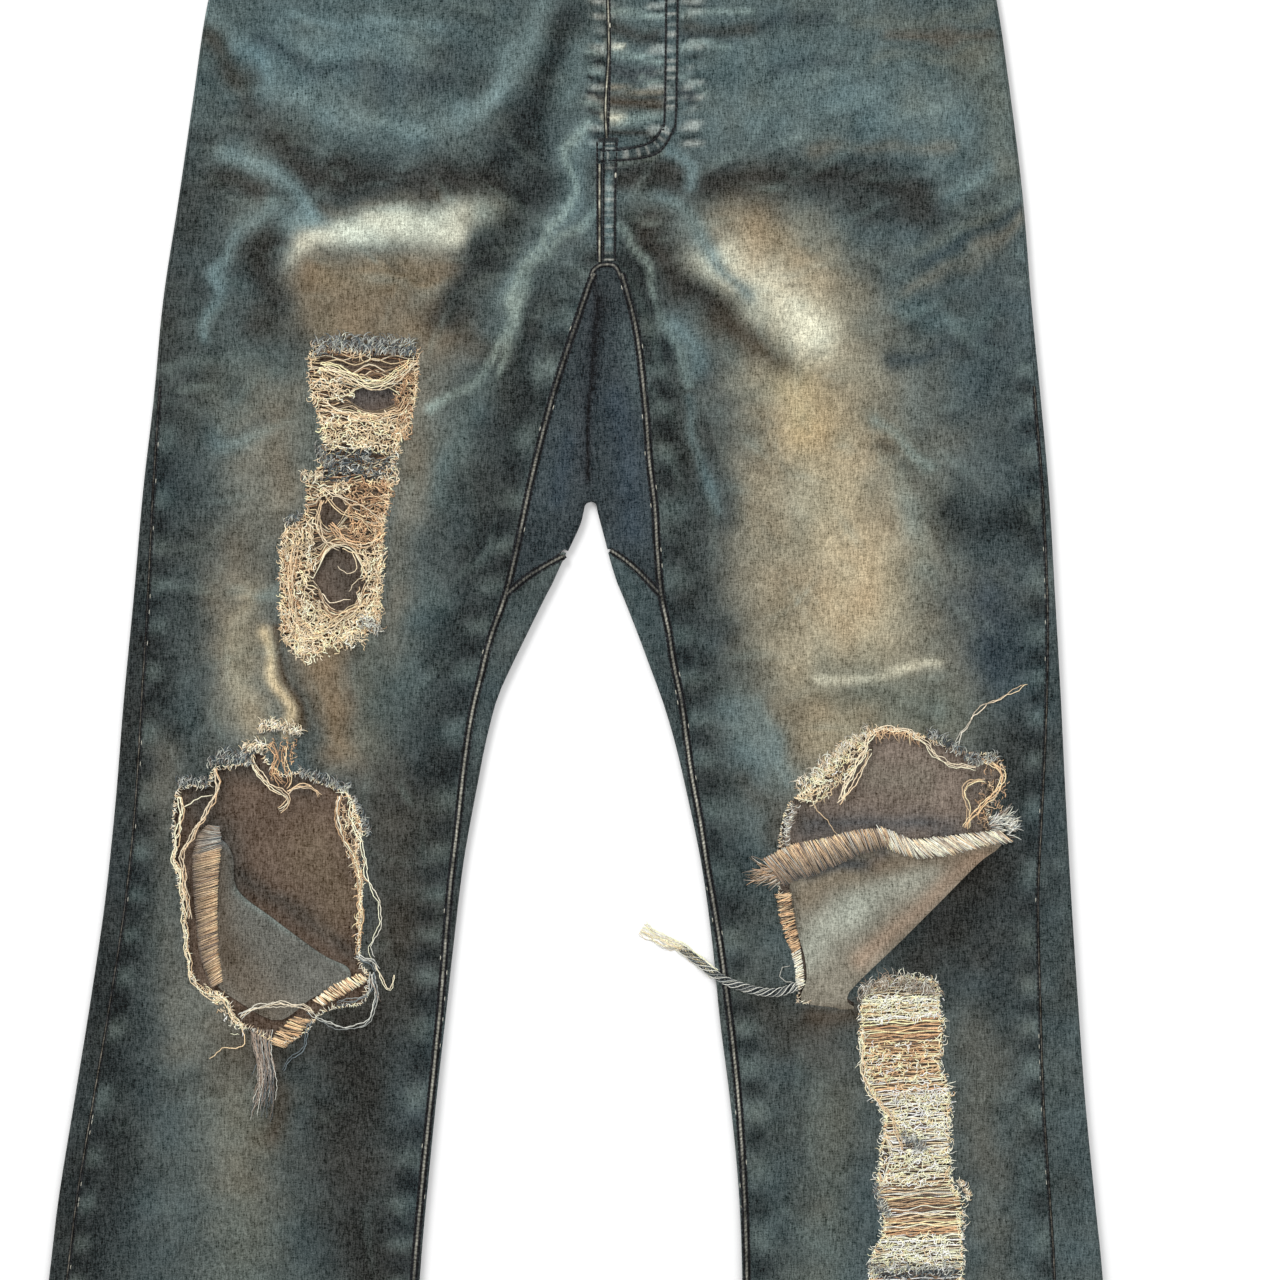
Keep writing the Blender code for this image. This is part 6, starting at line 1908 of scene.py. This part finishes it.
# outline, count, length, tones, heading, spread
THIGH_HEAPS = (
    (((318, 366), (345, 374), (352, 398), (318, 404)), 60, 11, LIGHT_WEFT, 0.3, 0.4),
    (((398, 366), (412, 362), (412, 440), (392, 440)), 80, 11, TAN_WEFT, 1.4, 0.4),
    (((322, 416), (406, 412), (400, 448), (326, 450)), 170, 12, LIGHT_WEFT, 0.25, 0.6),
    (((322, 446), (396, 450), (392, 480), (324, 480)), 150, 8, GREY_CURL, 0.2, 0.9),
    (((380, 446), (400, 446), (398, 484), (378, 484)), 40, 9, LIGHT_WEFT, 1.2, 0.7),
    (((346, 480), (392, 480), (384, 540), (350, 545)), 170, 9, TAN_WEFT, 0.6, 0.8),
    (((316, 482), (350, 482), (350, 492), (316, 500)), 40, 9, LIGHT_WEFT, 0.5, 0.5),
    (((284, 528), (316, 522), (314, 600), (300, 650), (283, 640)), 170, 13, LIGHT_WEFT, 1.45, 0.4),
    (((284, 560), (300, 560), (300, 640), (284, 630)), 50, 11, TAN_WEFT, 1.4, 0.5),
    (((364, 540), (384, 530), (382, 620), (358, 636), (358, 600)), 130, 12, LIGHT_WEFT, 1.9, 0.5),
    (((296, 604), (318, 602), (334, 622), (350, 620), (372, 606), (368, 640), (330, 652), (306, 664),
      (294, 650)), 230, 13, LIGHT_WEFT, 0.7, 1.0),
)
# strands, spread, first tone, second tone, then places along the cord
THIGH_CORDS = (
    (8, 6.0, "straw", "weft_light", (320, 366), (345, 374), (372, 386), (398, 376), (412, 362)),
    (5, 4.0, "weft_light", "weft", (322, 406), (345, 414), (372, 418), (400, 410), (408, 398)),
    (4, 3.0, "weft_orange", "weft_light", (330, 524), (345, 540), (366, 546), (384, 534)),
    (2, 1.2, "weft_light", "weft", (322, 488), (345, 500), (366, 508), (382, 524)),
    (2, 1.2, "straw", "weft", (328, 500), (346, 514), (362, 520), (374, 532)),
    (5, 3.2, "weft", "weft_light", (294, 548), (291, 590), (296, 620), (308, 645)),
    (5, 4.0, "weft_light", "straw", (298, 640), (320, 634), (340, 618), (358, 606)),
    (1, 0.5, "weft_light", "straw", (343, 548), (354, 556), (357, 568), (347, 574), (338, 566)),
    (1, 0.5, "straw", "weft_light", (352, 552), (366, 556), (368, 572), (356, 582), (350, 592)),
    (1, 0.5, "weft_light", "weft_light", (322, 594), (334, 603), (350, 598)),
    (3, 2.0, "weft", "weft_light", (322, 500), (318, 520), (324, 540), (340, 548)),
)


def heaps(rows, chance, **settings):
    made = []
    for area, count, length, tones, heading, spread in rows:
        made += tangle(area, count, length, tones, chance, heading, spread, **settings)
    return made


def cords_of(rows, chance, lift):
    made = []
    for strands, spread, first, second, *points in rows:
        made += bundle(points, strands, spread, first, second, chance, lift=lift, base=laid_height)
    return made


def thigh_threads():
    chance = random.Random(31)
    openings = ((-140, 352, 15, 7.5), (-152, 364, 9, 2.5), (-167, 421, 8, 12), (-161, 464, 14, 20))
    # a dense low layer of dark weft, as painted shade under the pale yarns
    made = wefts(thigh_rip, 1.25, openings, ((900, DARK_WEFT_SHADE),), chance, 1.6, sunk=1.3)
    made += wefts(thigh_rip, 2.6, openings, ((900, LIGHT_WEFT),), chance, 2.4)
    made += fray(thigh_rip, 1.0, 8.0, LIGHT_WEFT + ("weft_tan",), chance, swirl=0.7)
    made += heaps(THIGH_HEAPS, chance)
    made += cords_of(THIGH_CORDS, chance, 1.6)
    made += tuft(((314, 352), (345, 348), (378, 350), (412, 352)), 330, 7.5, 4.4, "frost", "blue_grey",
                 chance, radius=0.34)
    made += tuft(((316, 452), (322, 462), (334, 472)), 60, 6.0, 3.4, "frost", "blue_grey", chance)
    made += tuft(((284, 524), (292, 521), (302, 519)), 44, 5.0, 2.0, "frost", "blue_grey", chance)
    made += tuft(((356, 618), (368, 622), (378, 628)), 80, 6.0, 3.0, "frost", "frost", chance, lean=0.6)
    made += tuft(((302, 478), (312, 482), (322, 478)), 50, 6.0, 2.2, "frost", "weft_light", chance)
    return made


SHIN_BANDS = ((738, LIGHT_WEFT), (756, TAN_WEFT), (781, LIGHT_WEFT + TAN_WEFT), (837, PALE_WEFT),
              (871, TAN_WEFT + ("weft_light",)), (893, PALE_WEFT), (930, GREY_CURL))
SHIN_HEAPS = (
    (((868, 994), (940, 998), (940, 1018), (870, 1024)), 120, 9, LIGHT_WEFT, -0.3, 0.7),
    (((866, 1044), (930, 1040), (934, 1084), (868, 1082)), 150, 8, LIGHT_WEFT + TAN_WEFT, -0.1, 0.8),
    (((890, 1090), (946, 1086), (946, 1136), (898, 1140)), 170, 9, LIGHT_WEFT, 0.3, 0.9),
    (((882, 1152), (948, 1146), (948, 1184), (884, 1186)), 150, 9, LIGHT_WEFT, -0.3, 0.6),
    (((886, 1236), (948, 1236), (952, 1270), (884, 1272)), 150, 9, LIGHT_WEFT, -0.1, 0.7),
    (((868, 1270), (955, 1270), (955, 1292), (868, 1292)), 90, 8, GREY_CURL, 0.1, 0.9),
)


def shin_threads():
    chance = random.Random(47)
    openings = ((175, 822, 3.5, 14),)
    made = wefts(shin_rip, 0.95, openings, SHIN_BANDS, chance, 0.8, tilt=-3.0)
    # a low layer of dark weft, as painted shade under the pale yarns
    made += wefts(shin_rip, 3.0, openings, ((930, DARK_WEFT_SHADE),), chance, 1.2, tilt=-3.0, sunk=1.1)
    made += fray(shin_rip, 1.0, 6.0, LIGHT_WEFT + ("weft_orange",), chance, swirl=0.6)
    made += fray(shin_rip, 1.6, 4.5, ("frost", "weft_light"), chance, outward=0.75, swirl=0.7,
                 radius=0.26)
    made += heaps(SHIN_HEAPS, chance, radius=0.28, lift=1.4, light=(1.0, 1.7))
    made += tuft(((858, 1000), (876, 988), (905, 990), (934, 996)), 190, 9.0, 3.4, "taupe", "taupe",
                 chance, radius=0.22)
    made += tuft(((902, 1140), (912, 1146), (922, 1150)), 50, 6.0, 3.0, "frost", "blue_grey", chance)
    made += tuft(((880, 1184), (884, 1198), (892, 1212)), 60, 6.0, 2.6, "frost", "blue_grey", chance,
                 lean=2.6)
    made += tuft(((868, 1272), (890, 1270), (930, 1274), (955, 1270)), 90, 6.0, 3.0, "frost",
                 "blue_grey", chance)
    made += tuft(((955, 1180), (962, 1188), (966, 1196)), 40, 5.0, 2.0, "frost", "weft_light", chance,
                 lean=0.2)
    made += bundle(((863, 1030), (862, 1058), (866, 1085), (880, 1104), (890, 1115), (903, 1150)), 3,
                   1.6, "weft_light", "weft", chance, radius=0.36)
    return made


fringe_thigh = weave_threads("threads_thigh", thigh_threads(), "fringe_thigh")
fringe_shin = weave_threads("threads_shin", shin_threads(), "fringe_shin", gain=1.28)

# %% [markdown]
# Round each knee's hole the weft has been pulled into cords. They follow the torn edge, cross small
# corners of the hole, and end in a knot, a hanging lock or a thick twisted yarn that lies over the
# leg's inner edge.

# %% Right knee
# strands, spread, first tone, second tone, then places along the cord
RIGHT_KNEE_CORDS = (
    (4, 2.2, "weft_light", "weft", (181, 797), (181, 818), (176, 845), (174, 858), (181, 878), (184, 903),
     (185, 928), (188, 955), (191, 974), (199, 988), (208, 996), (222, 998), (226, 1004),
     (233, 1015), (243, 1028)),
    (4, 2.0, "weft_orange", "weft_light", (215, 768), (218, 785), (213, 801), (203, 818), (192, 837),
     (182, 854), (184, 867), (185, 886), (189, 908), (189, 919)),
    (1, 0.5, "weft_light", "weft_light", (184, 806), (198, 799), (213, 796)),
    (4, 3.0, "weft_light", "weft", (250, 759), (258, 771), (269, 785), (283, 793), (289, 799), (285, 806),
     (279, 810)),
    (3, 3.0, "weft_orange", "weft_tan", (270, 744), (277, 758), (274, 772), (282, 785)),
    (3, 2.6, "weft", "weft_tan", (286, 746), (284, 762), (290, 778), (286, 788)),
    (3, 1.8, "weft_light", "weft", (288, 792), (300, 786), (311, 787), (320, 796)),
    (4, 2.2, "weft_light", "weft_orange", (339, 796), (337, 815), (343, 837), (356, 862), (359, 878),
     (359, 897), (362, 917), (359, 936), (357, 955)),
    (2, 1.4, "frost", "weft_light", (352, 804), (351, 818), (359, 837), (365, 859), (366, 875),
     (374, 892), (380, 908), (379, 928), (370, 947), (373, 958)),
    (5, 3.0, "frost", "blue_grey", (357, 955), (364, 960), (372, 962), (378, 970)),
    (2, 0.8, "weft_light", "weft_light", (375, 964), (384, 983), (390, 989), (395, 975)),
    (3, 2.0, "frost", "blue_grey", (373, 972), (370, 990), (359, 999), (337, 1003)),
    (3, 1.8, "frost", "blue_grey", (374, 974), (376, 1001), (367, 1022), (343, 1028), (321, 1020),
     (308, 1011)),
    (4, 2.4, "frost", "weft_light", (240, 1017), (255, 1008), (277, 1004), (299, 1006), (314, 1012)),
    (1, 0.4, "weft", "weft", (243, 1028), (244, 1043), (233, 1049), (222, 1048), (210, 1059)),
    (2, 1.4, "blue_grey", "frost", (310, 1020), (304, 1046), (290, 1060), (283, 1070)),
    (2, 1.6, "blue_grey", "taupe", (371, 976), (376, 988), (379, 1002)),
)
# middle, share of the sideways spread, and fall of each place along the hanging lock
LOCK = ((262, 0.9, 0), (264, 0.6, 28), (268, 0.7, 58), (264, 1.0, 88))
LOCK_TOP = 1030
LOCK_STRANDS = 40


def right_knee_threads():
    chance = random.Random(53)
    tones = ("weft_light", "weft", "frost")
    made = fray(right_knee, 0.9, 3.6, tones, chance, swirl=0.5, radius=0.27)
    made += tangle(((268, 740), (296, 738), (292, 776), (272, 782)), 70, 8, TAN_WEFT + ("brown",), chance,
                   1.4, 0.5, radius=0.26, lift=1.2)
    made += tangle(((336, 792), (352, 798), (366, 860), (364, 900), (352, 880), (342, 840)), 90, 10,
                   ("weft_light", "weft", "weft_tan", "taupe"), chance, 1.35, 0.35, radius=0.26, lift=1.2)
    made += tangle(((196, 984), (220, 992), (246, 1030), (238, 1040), (216, 1004)), 50, 9, LIGHT_WEFT, chance,
                   0.9, 0.4, radius=0.28, lift=1.2)
    made += fray(right_knee, 1.1, 6.5, ("weft_light", "weft", "weft_orange"), chance,
                 where=lambda x, d: x > -160 and d < 690, swirl=0.7)
    made += tuft(((258, 731), (272, 729), (299, 735)), 150, 6.0, 3.0, "frost", "weft_light", chance)
    made += tuft(((243, 752), (252, 749), (264, 752)), 70, 6.0, 2.6, "frost", "weft_light", chance)
    made += tuft(((209, 764), (225, 760), (248, 763)), 120, 6.0, 3.4, "frost", "blue_grey", chance)
    made += tuft(((178, 785), (192, 784), (207, 785)), 80, 5.0, 2.6, "frost", "blue_grey", chance)
    made += tuft(((299, 775), (322, 782), (348, 793)), 110, 6.0, 2.6, "frost", "blue_grey", chance)
    made += tuft(((352, 800), (360, 820), (366, 836)), 70, 5.5, 2.0, "frost", "blue_grey", chance,
                 lean=-0.5)
    made += cords_of(RIGHT_KNEE_CORDS, chance, 0.9)
    for _ in range(LOCK_STRANDS):
        shift = chance.uniform(-13, 13)
        reach = chance.uniform(0.5, 1.05)
        strand = [(middle + shift * spread, LOCK_TOP + fall * reach) for middle, spread, fall in LOCK]
        made += bundle(strand, 1, 2.2, "taupe", chance.choice(("frost", "blue_grey", "taupe")), chance,
                       radius=0.26, lift=1.4)
    # the roll's end tones are darker, as painted shade on one side of the roll
    roll_look = dict(radius=0.22, floor_at=3.4, ends=("bark", "umber", "taupe"), stray=0.06)
    made += wraps(((214, 826), (209, 836), (207, 852)), (6, 15, 17), 0.3, 2.4,
                  ("frost", "taupe", "blue_grey"), chance, slant=0.35, **roll_look)
    made += wraps(((207, 852), (206, 872), (206, 900), (207, 925), (210, 955), (217, 984)),
                  (17, 15, 13, 12, 8), 0.3, 2.6, ("weft_tan", "weft", "weft", "taupe"), chance, slant=0.3,
                  **roll_look)
    made += wraps(((277, 1045), (290, 1032), (302, 1018)), (8, 12, 9), 0.6, 1.3,
                  ("weft_orange", "weft", "bark"), chance, slant=0.5, radius=0.27, floor_at=5.0)
    made += wraps(((318, 1003), (332, 994), (348, 985), (364, 977)), (6, 9, 6), 0.65, 1.4,
                  ("weft_light", "weft", "weft_tan"), chance, slant=0.4, floor_at=3.4)
    return made


# %% [markdown]
# The left knee's cloth rolls over along its upper edge, so two rows of wraps cover that roll. The thick
# yarn is laid three times, dark at its heart and pale outside, and only its frayed end lies loose.

# %% Left knee
LEFT_KNEE_CORDS = (
    (4, 2.2, "weft_light", "weft_light", (842, 800), (845, 786), (855, 768), (864, 752), (870, 737),
     (881, 729), (903, 730), (923, 741), (937, 757), (957, 766), (976, 767)),
    (2, 1.4, "weft_light", "weft", (839, 804), (848, 792), (858, 778), (870, 752)),
    (4, 2.4, "weft", "weft_orange", (982, 758), (999, 769), (1003, 778), (996, 792), (982, 806),
     (971, 817), (965, 828)),
    (3, 2.0, "weft_orange", "weft", (985, 780), (968, 783), (964, 795), (969, 811), (967, 828)),
    (1, 0.6, "weft", "weft", (814, 800), (819, 814), (830, 823), (838, 836)),
    (2, 1.0, "frost", "weft", (955, 750), (962, 733), (976, 713), (993, 701), (1007, 695),
     (1027, 684)),
    (1, 0.4, "frost", "frost", (798, 983), (786, 982), (780, 976), (783, 968), (790, 966)),
)
THICK_YARN = ((796, 986), (777, 992), (755, 990), (732, 983), (715, 974), (699, 962), (682, 949),
              (662, 941), (642, 929))


def left_knee_threads():
    chance = random.Random(61)
    made = fray(left_knee, 0.9, 3.6, ("weft_light", "weft", "frost", "taupe"), chance,
                where=lambda x, d: d < 622 or x < 130, radius=0.27)
    made += tangle(((798, 800), (812, 776), (846, 742), (872, 732), (866, 756), (840, 784), (818, 806)),
                   190, 9, LIGHT_WEFT, chance, -0.7, 0.8, radius=0.27, lift=1.6)
    made += tangle(((984, 764), (1006, 758), (1010, 800), (990, 830), (976, 822)), 70, 9,
                   ("weft", "weft_tan", "taupe", "bark"), chance, 1.5, 0.6, radius=0.27, lift=1.2)
    made += fray(left_knee, 0.7, 7.0, ("weft_light", "weft", "weft_light"), chance,
                 where=lambda x, d: 120 < x < 170 and d < 600, swirl=0.8, radius=0.34)
    made += fray(left_knee, 0.7, 8.0, ("weft_tan", "weft"), chance,
                 where=lambda x, d: 168 < x < 198 and d < 575, swirl=0.15)
    made += tuft(((800, 790), (820, 775), (838, 758), (856, 744), (872, 734)), 170, 7.0, 3.4, "weft_light",
                 "frost", chance, lean=-2.0)
    made += tuft(((926, 736), (940, 742), (960, 756), (978, 764), (996, 758)), 150, 6.0, 3.0, "frost",
                 "blue_grey", chance)
    made += tuft(((800, 806), (793, 822), (790, 840)), 70, 6.0, 2.6, "taupe", "frost", chance, lean=2.9)
    made += tuft(((988, 826), (1000, 820), (1008, 832)), 130, 9.0, 3.4, "frost", "frost", chance,
                 lean=-0.3, curve=0.15)
    made += tuft(((766, 874), (780, 872), (798, 868)), 130, 12.0, 5.0, "taupe", "weft_tan", chance,
                 lean=3.1, curve=0.12)
    made += cords_of(LEFT_KNEE_CORDS, chance, 0.9)
    # the end tones of the first row are darker, as painted shade below the roll
    made += wraps(((774, 872), (796, 862), (828, 852), (858, 842), (888, 838)), (20, 22, 18, 15, 12),
                  0.3, 3.6, ("taupe", "weft", "weft", "weft_tan", "frost"), chance, slant=0.25,
                  radius=0.23, floor_at=4.7, ends=("taupe", "bark", "smoke"), stray=0.07)
    made += wraps(((884, 838), (915, 848), (943, 846), (979, 840), (1005, 836)), (11, 11, 12, 10, 8),
                  0.4, 3.0, ("frost", "weft_light", "taupe", "chalk", "weft"), chance, slant=1.0,
                  radius=0.26, floor_at=5.0)
    made += wraps(((783, 893), (786, 912), (790, 930), (796, 950)), (10, 9, 8, 6), 0.6, 1.2,
                  ("weft_orange", "weft", "weft_tan", "brown"), chance, slant=0.1, radius=0.28, floor_at=4.7)
    made += wraps(((796, 952), (799, 968), (800, 986)), (6, 5, 6), 0.7, 1.0, ("weft_light", "frost"),
                  chance, slant=0.3, floor_at=4.7)
    made += bundle(THICK_YARN[:7], 7, 4.6, "smoke", "night", chance, radius=0.42, twist=0.3)
    made += bundle(THICK_YARN[:7], 5, 5.2, "frost", "blue_grey", chance, radius=0.3, twist=0.3, lift=1.0)
    made += bundle(THICK_YARN[:5], 3, 4.6, "chalk", "frost", chance, radius=0.22, twist=0.3, lift=1.2)
    made += bundle(THICK_YARN[4:], 16, 6.0, "frost", "straw", chance, radius=0.26, lift=1.8,
                   frayed_end=0.5)
    return made


fringe_right = weave_threads("threads_right_knee", right_knee_threads(), "fringe_knee_right", gain=1.15)
fringe_left = weave_threads("threads_left_knee", left_knee_threads(), "fringe_knee_left", gain=1.15)

# %% [markdown]
# The waist's button is a plain turned brass one, dulled by wear. Its solid already has the right
# shape, so only its finish is made here: brass that is browner in patches and rough where handled.

# %% Waist button
def aged_brass():
    material, tree, shader = new_material("aged_brass")
    where = node(tree, "ShaderNodeTexCoord").outputs["Object"]
    patina = stretched_noise(tree, where, (420, 420, 420), 4.0)
    scratches = stretched_noise(tree, where, (300, 2600, 300), 2.0)
    tone = node(tree, "ShaderNodeValToRGB", {"Fac": patina})
    tone.color_ramp.elements[0].position, tone.color_ramp.elements[1].position = 0.36, 0.66
    tone.color_ramp.elements[0].color = (*linear((74, 62, 44)), 1)
    tone.color_ramp.elements[1].color = (*linear((168, 142, 96)), 1)
    rough = node(tree, "ShaderNodeMapRange", {"Value": scratches, "To Min": 0.32, "To Max": 0.62})
    relief = node(tree, "ShaderNodeBump", {"Strength": 0.3, "Distance": 0.0002, "Height": scratches})
    tree.links.new(tone.outputs["Color"], shader.inputs["Base Color"])
    tree.links.new(rough.outputs[0], shader.inputs["Roughness"])
    tree.links.new(relief.outputs[0], shader.inputs["Normal"])
    shader.inputs["Metallic"].default_value = 0.9
    return material


button = frame["nodes"]["waist_button"]
brass = aged_brass()
for place in range(max(len(button.material_slots), 1)):
    if not button.material_slots:
        button.data.materials.append(brass)
    button.material_slots[place].material = brass
print("button wears", button.material_slots[0].material.name)

# %% [markdown]
# A cutter's list says how large each piece of cloth was before it was sewn. Here the fronts' and
# backs' areas are counted from the same tables as their edges, and the backs' are printed; declare_cut
# is called for every piece but does nothing with it.

# %% Cut sizes of the cloth
def cut_area(low, high, top, bottom):
    """Area in square metres between two edges, row by row."""
    rows = np.linspace(top, bottom, 400)
    return float(np.mean(np.abs(high(rows) - low(rows)))) * (bottom - top) * MM * MM


def declare_cut(piece, with_pieces=()):
    list(with_pieces)


for side, front, back, extras in ((RIGHT, front_right, back_right, (fringe_thigh, fringe_right)),
                                  (LEFT, front_left, back_left, (fringe_left, fringe_shin))):
    area = cut_area(lambda d: np.where(d < GUSSET_TIP, fly_edge(d), inseam(side, d)),
                    lambda d: outseam(side, d), WAISTBAND, LENGTH)
    declare_cut(front, with_pieces=extras)
    area = cut_area(lambda d: np.where(d < SPLIT_START, np.where(d < GUSSET_TIP, 0, inseam(side, d)),
                                       inner_edge(side, d) + side * (2 * SIDE_FOLD - 6)),
                    lambda d: outer_edge(side, d) - side * (2 * SIDE_FOLD - 14), WAISTBAND, LENGTH)
    declare_cut(back)
    print("cut of side", side, "back area", round(area, 4), "square metres")
declare_cut(gusset)
declare_cut(waistband)
declare_cut(underlap)
declare_cut(loop_right)
declare_cut(loop_left)
declare_cut(flap_right)
declare_cut(flap_left)

# %% [markdown]
# The camera looks straight down from above the garment, as the photo does, and the light is broad
# and soft with a little more from the upper left, so that the ridges read. The floor is a plain
# white sheet that isn't part of the garment.

# %% Floor, light and camera
FRAME_SIZE = 1280
SENSOR = 36
CAMERA_HEIGHT = 1.9


def make_floor():
    bm = bmesh.new()
    bmesh.ops.create_grid(bm, x_segments=1, y_segments=1, size=4)
    mesh = bpy.data.meshes.new("floor")
    bm.to_mesh(mesh)
    bm.free()
    floor = bpy.data.objects.new("floor", mesh)
    bpy.context.scene.collection.objects.link(floor)
    material, _, shader = new_material("white_floor")
    shader.inputs["Base Color"].default_value = (0.86, 0.86, 0.86, 1)
    shader.inputs["Roughness"].default_value = 0.9
    shader.inputs["Specular IOR Level"].default_value = 0.1
    mesh.materials.append(material)


def area_light(name, place, size, power):
    """A round lamp that is turned toward the middle of the garment."""
    data = bpy.data.lights.new(name, "AREA")
    data.shape = "DISK"
    data.size = size
    data.energy = power
    light = bpy.data.objects.new(name, data)
    light.location = place
    light.rotation_euler = (-Vector(place)).to_track_quat("-Z", "Y").to_euler()
    bpy.context.scene.collection.objects.link(light)


def make_camera():
    x, down = view_place(FRAME_SIZE / 2, FRAME_SIZE / 2)
    data = bpy.data.cameras.new("camera")
    data.sensor_width = SENSOR
    data.lens = SENSOR * CAMERA_HEIGHT / (FRAME_SIZE * PIXEL * MM)
    camera = bpy.data.objects.new("camera", data)
    camera.location = ((x - MID_X) * MM, (MID_DOWN - down) * MM, CAMERA_HEIGHT + LYING * MM)
    bpy.context.scene.collection.objects.link(camera)
    bpy.context.scene.camera = camera
    print("lens", round(data.lens, 1), "mm")


make_floor()
area_light("key", (-1.5, 1.6, 1.7), 1.4, 62)
area_light("fill", (1.2, -0.6, 2.4), 2.4, 30)
make_camera()
room = bpy.data.worlds.new("room")
room.use_nodes = True
background = room.node_tree.nodes["Background"]
background.inputs["Color"].default_value = (1, 1, 1, 1)
background.inputs["Strength"].default_value = 0.55
bpy.context.scene.world = room
bpy.context.scene.view_settings.view_transform = "Standard"
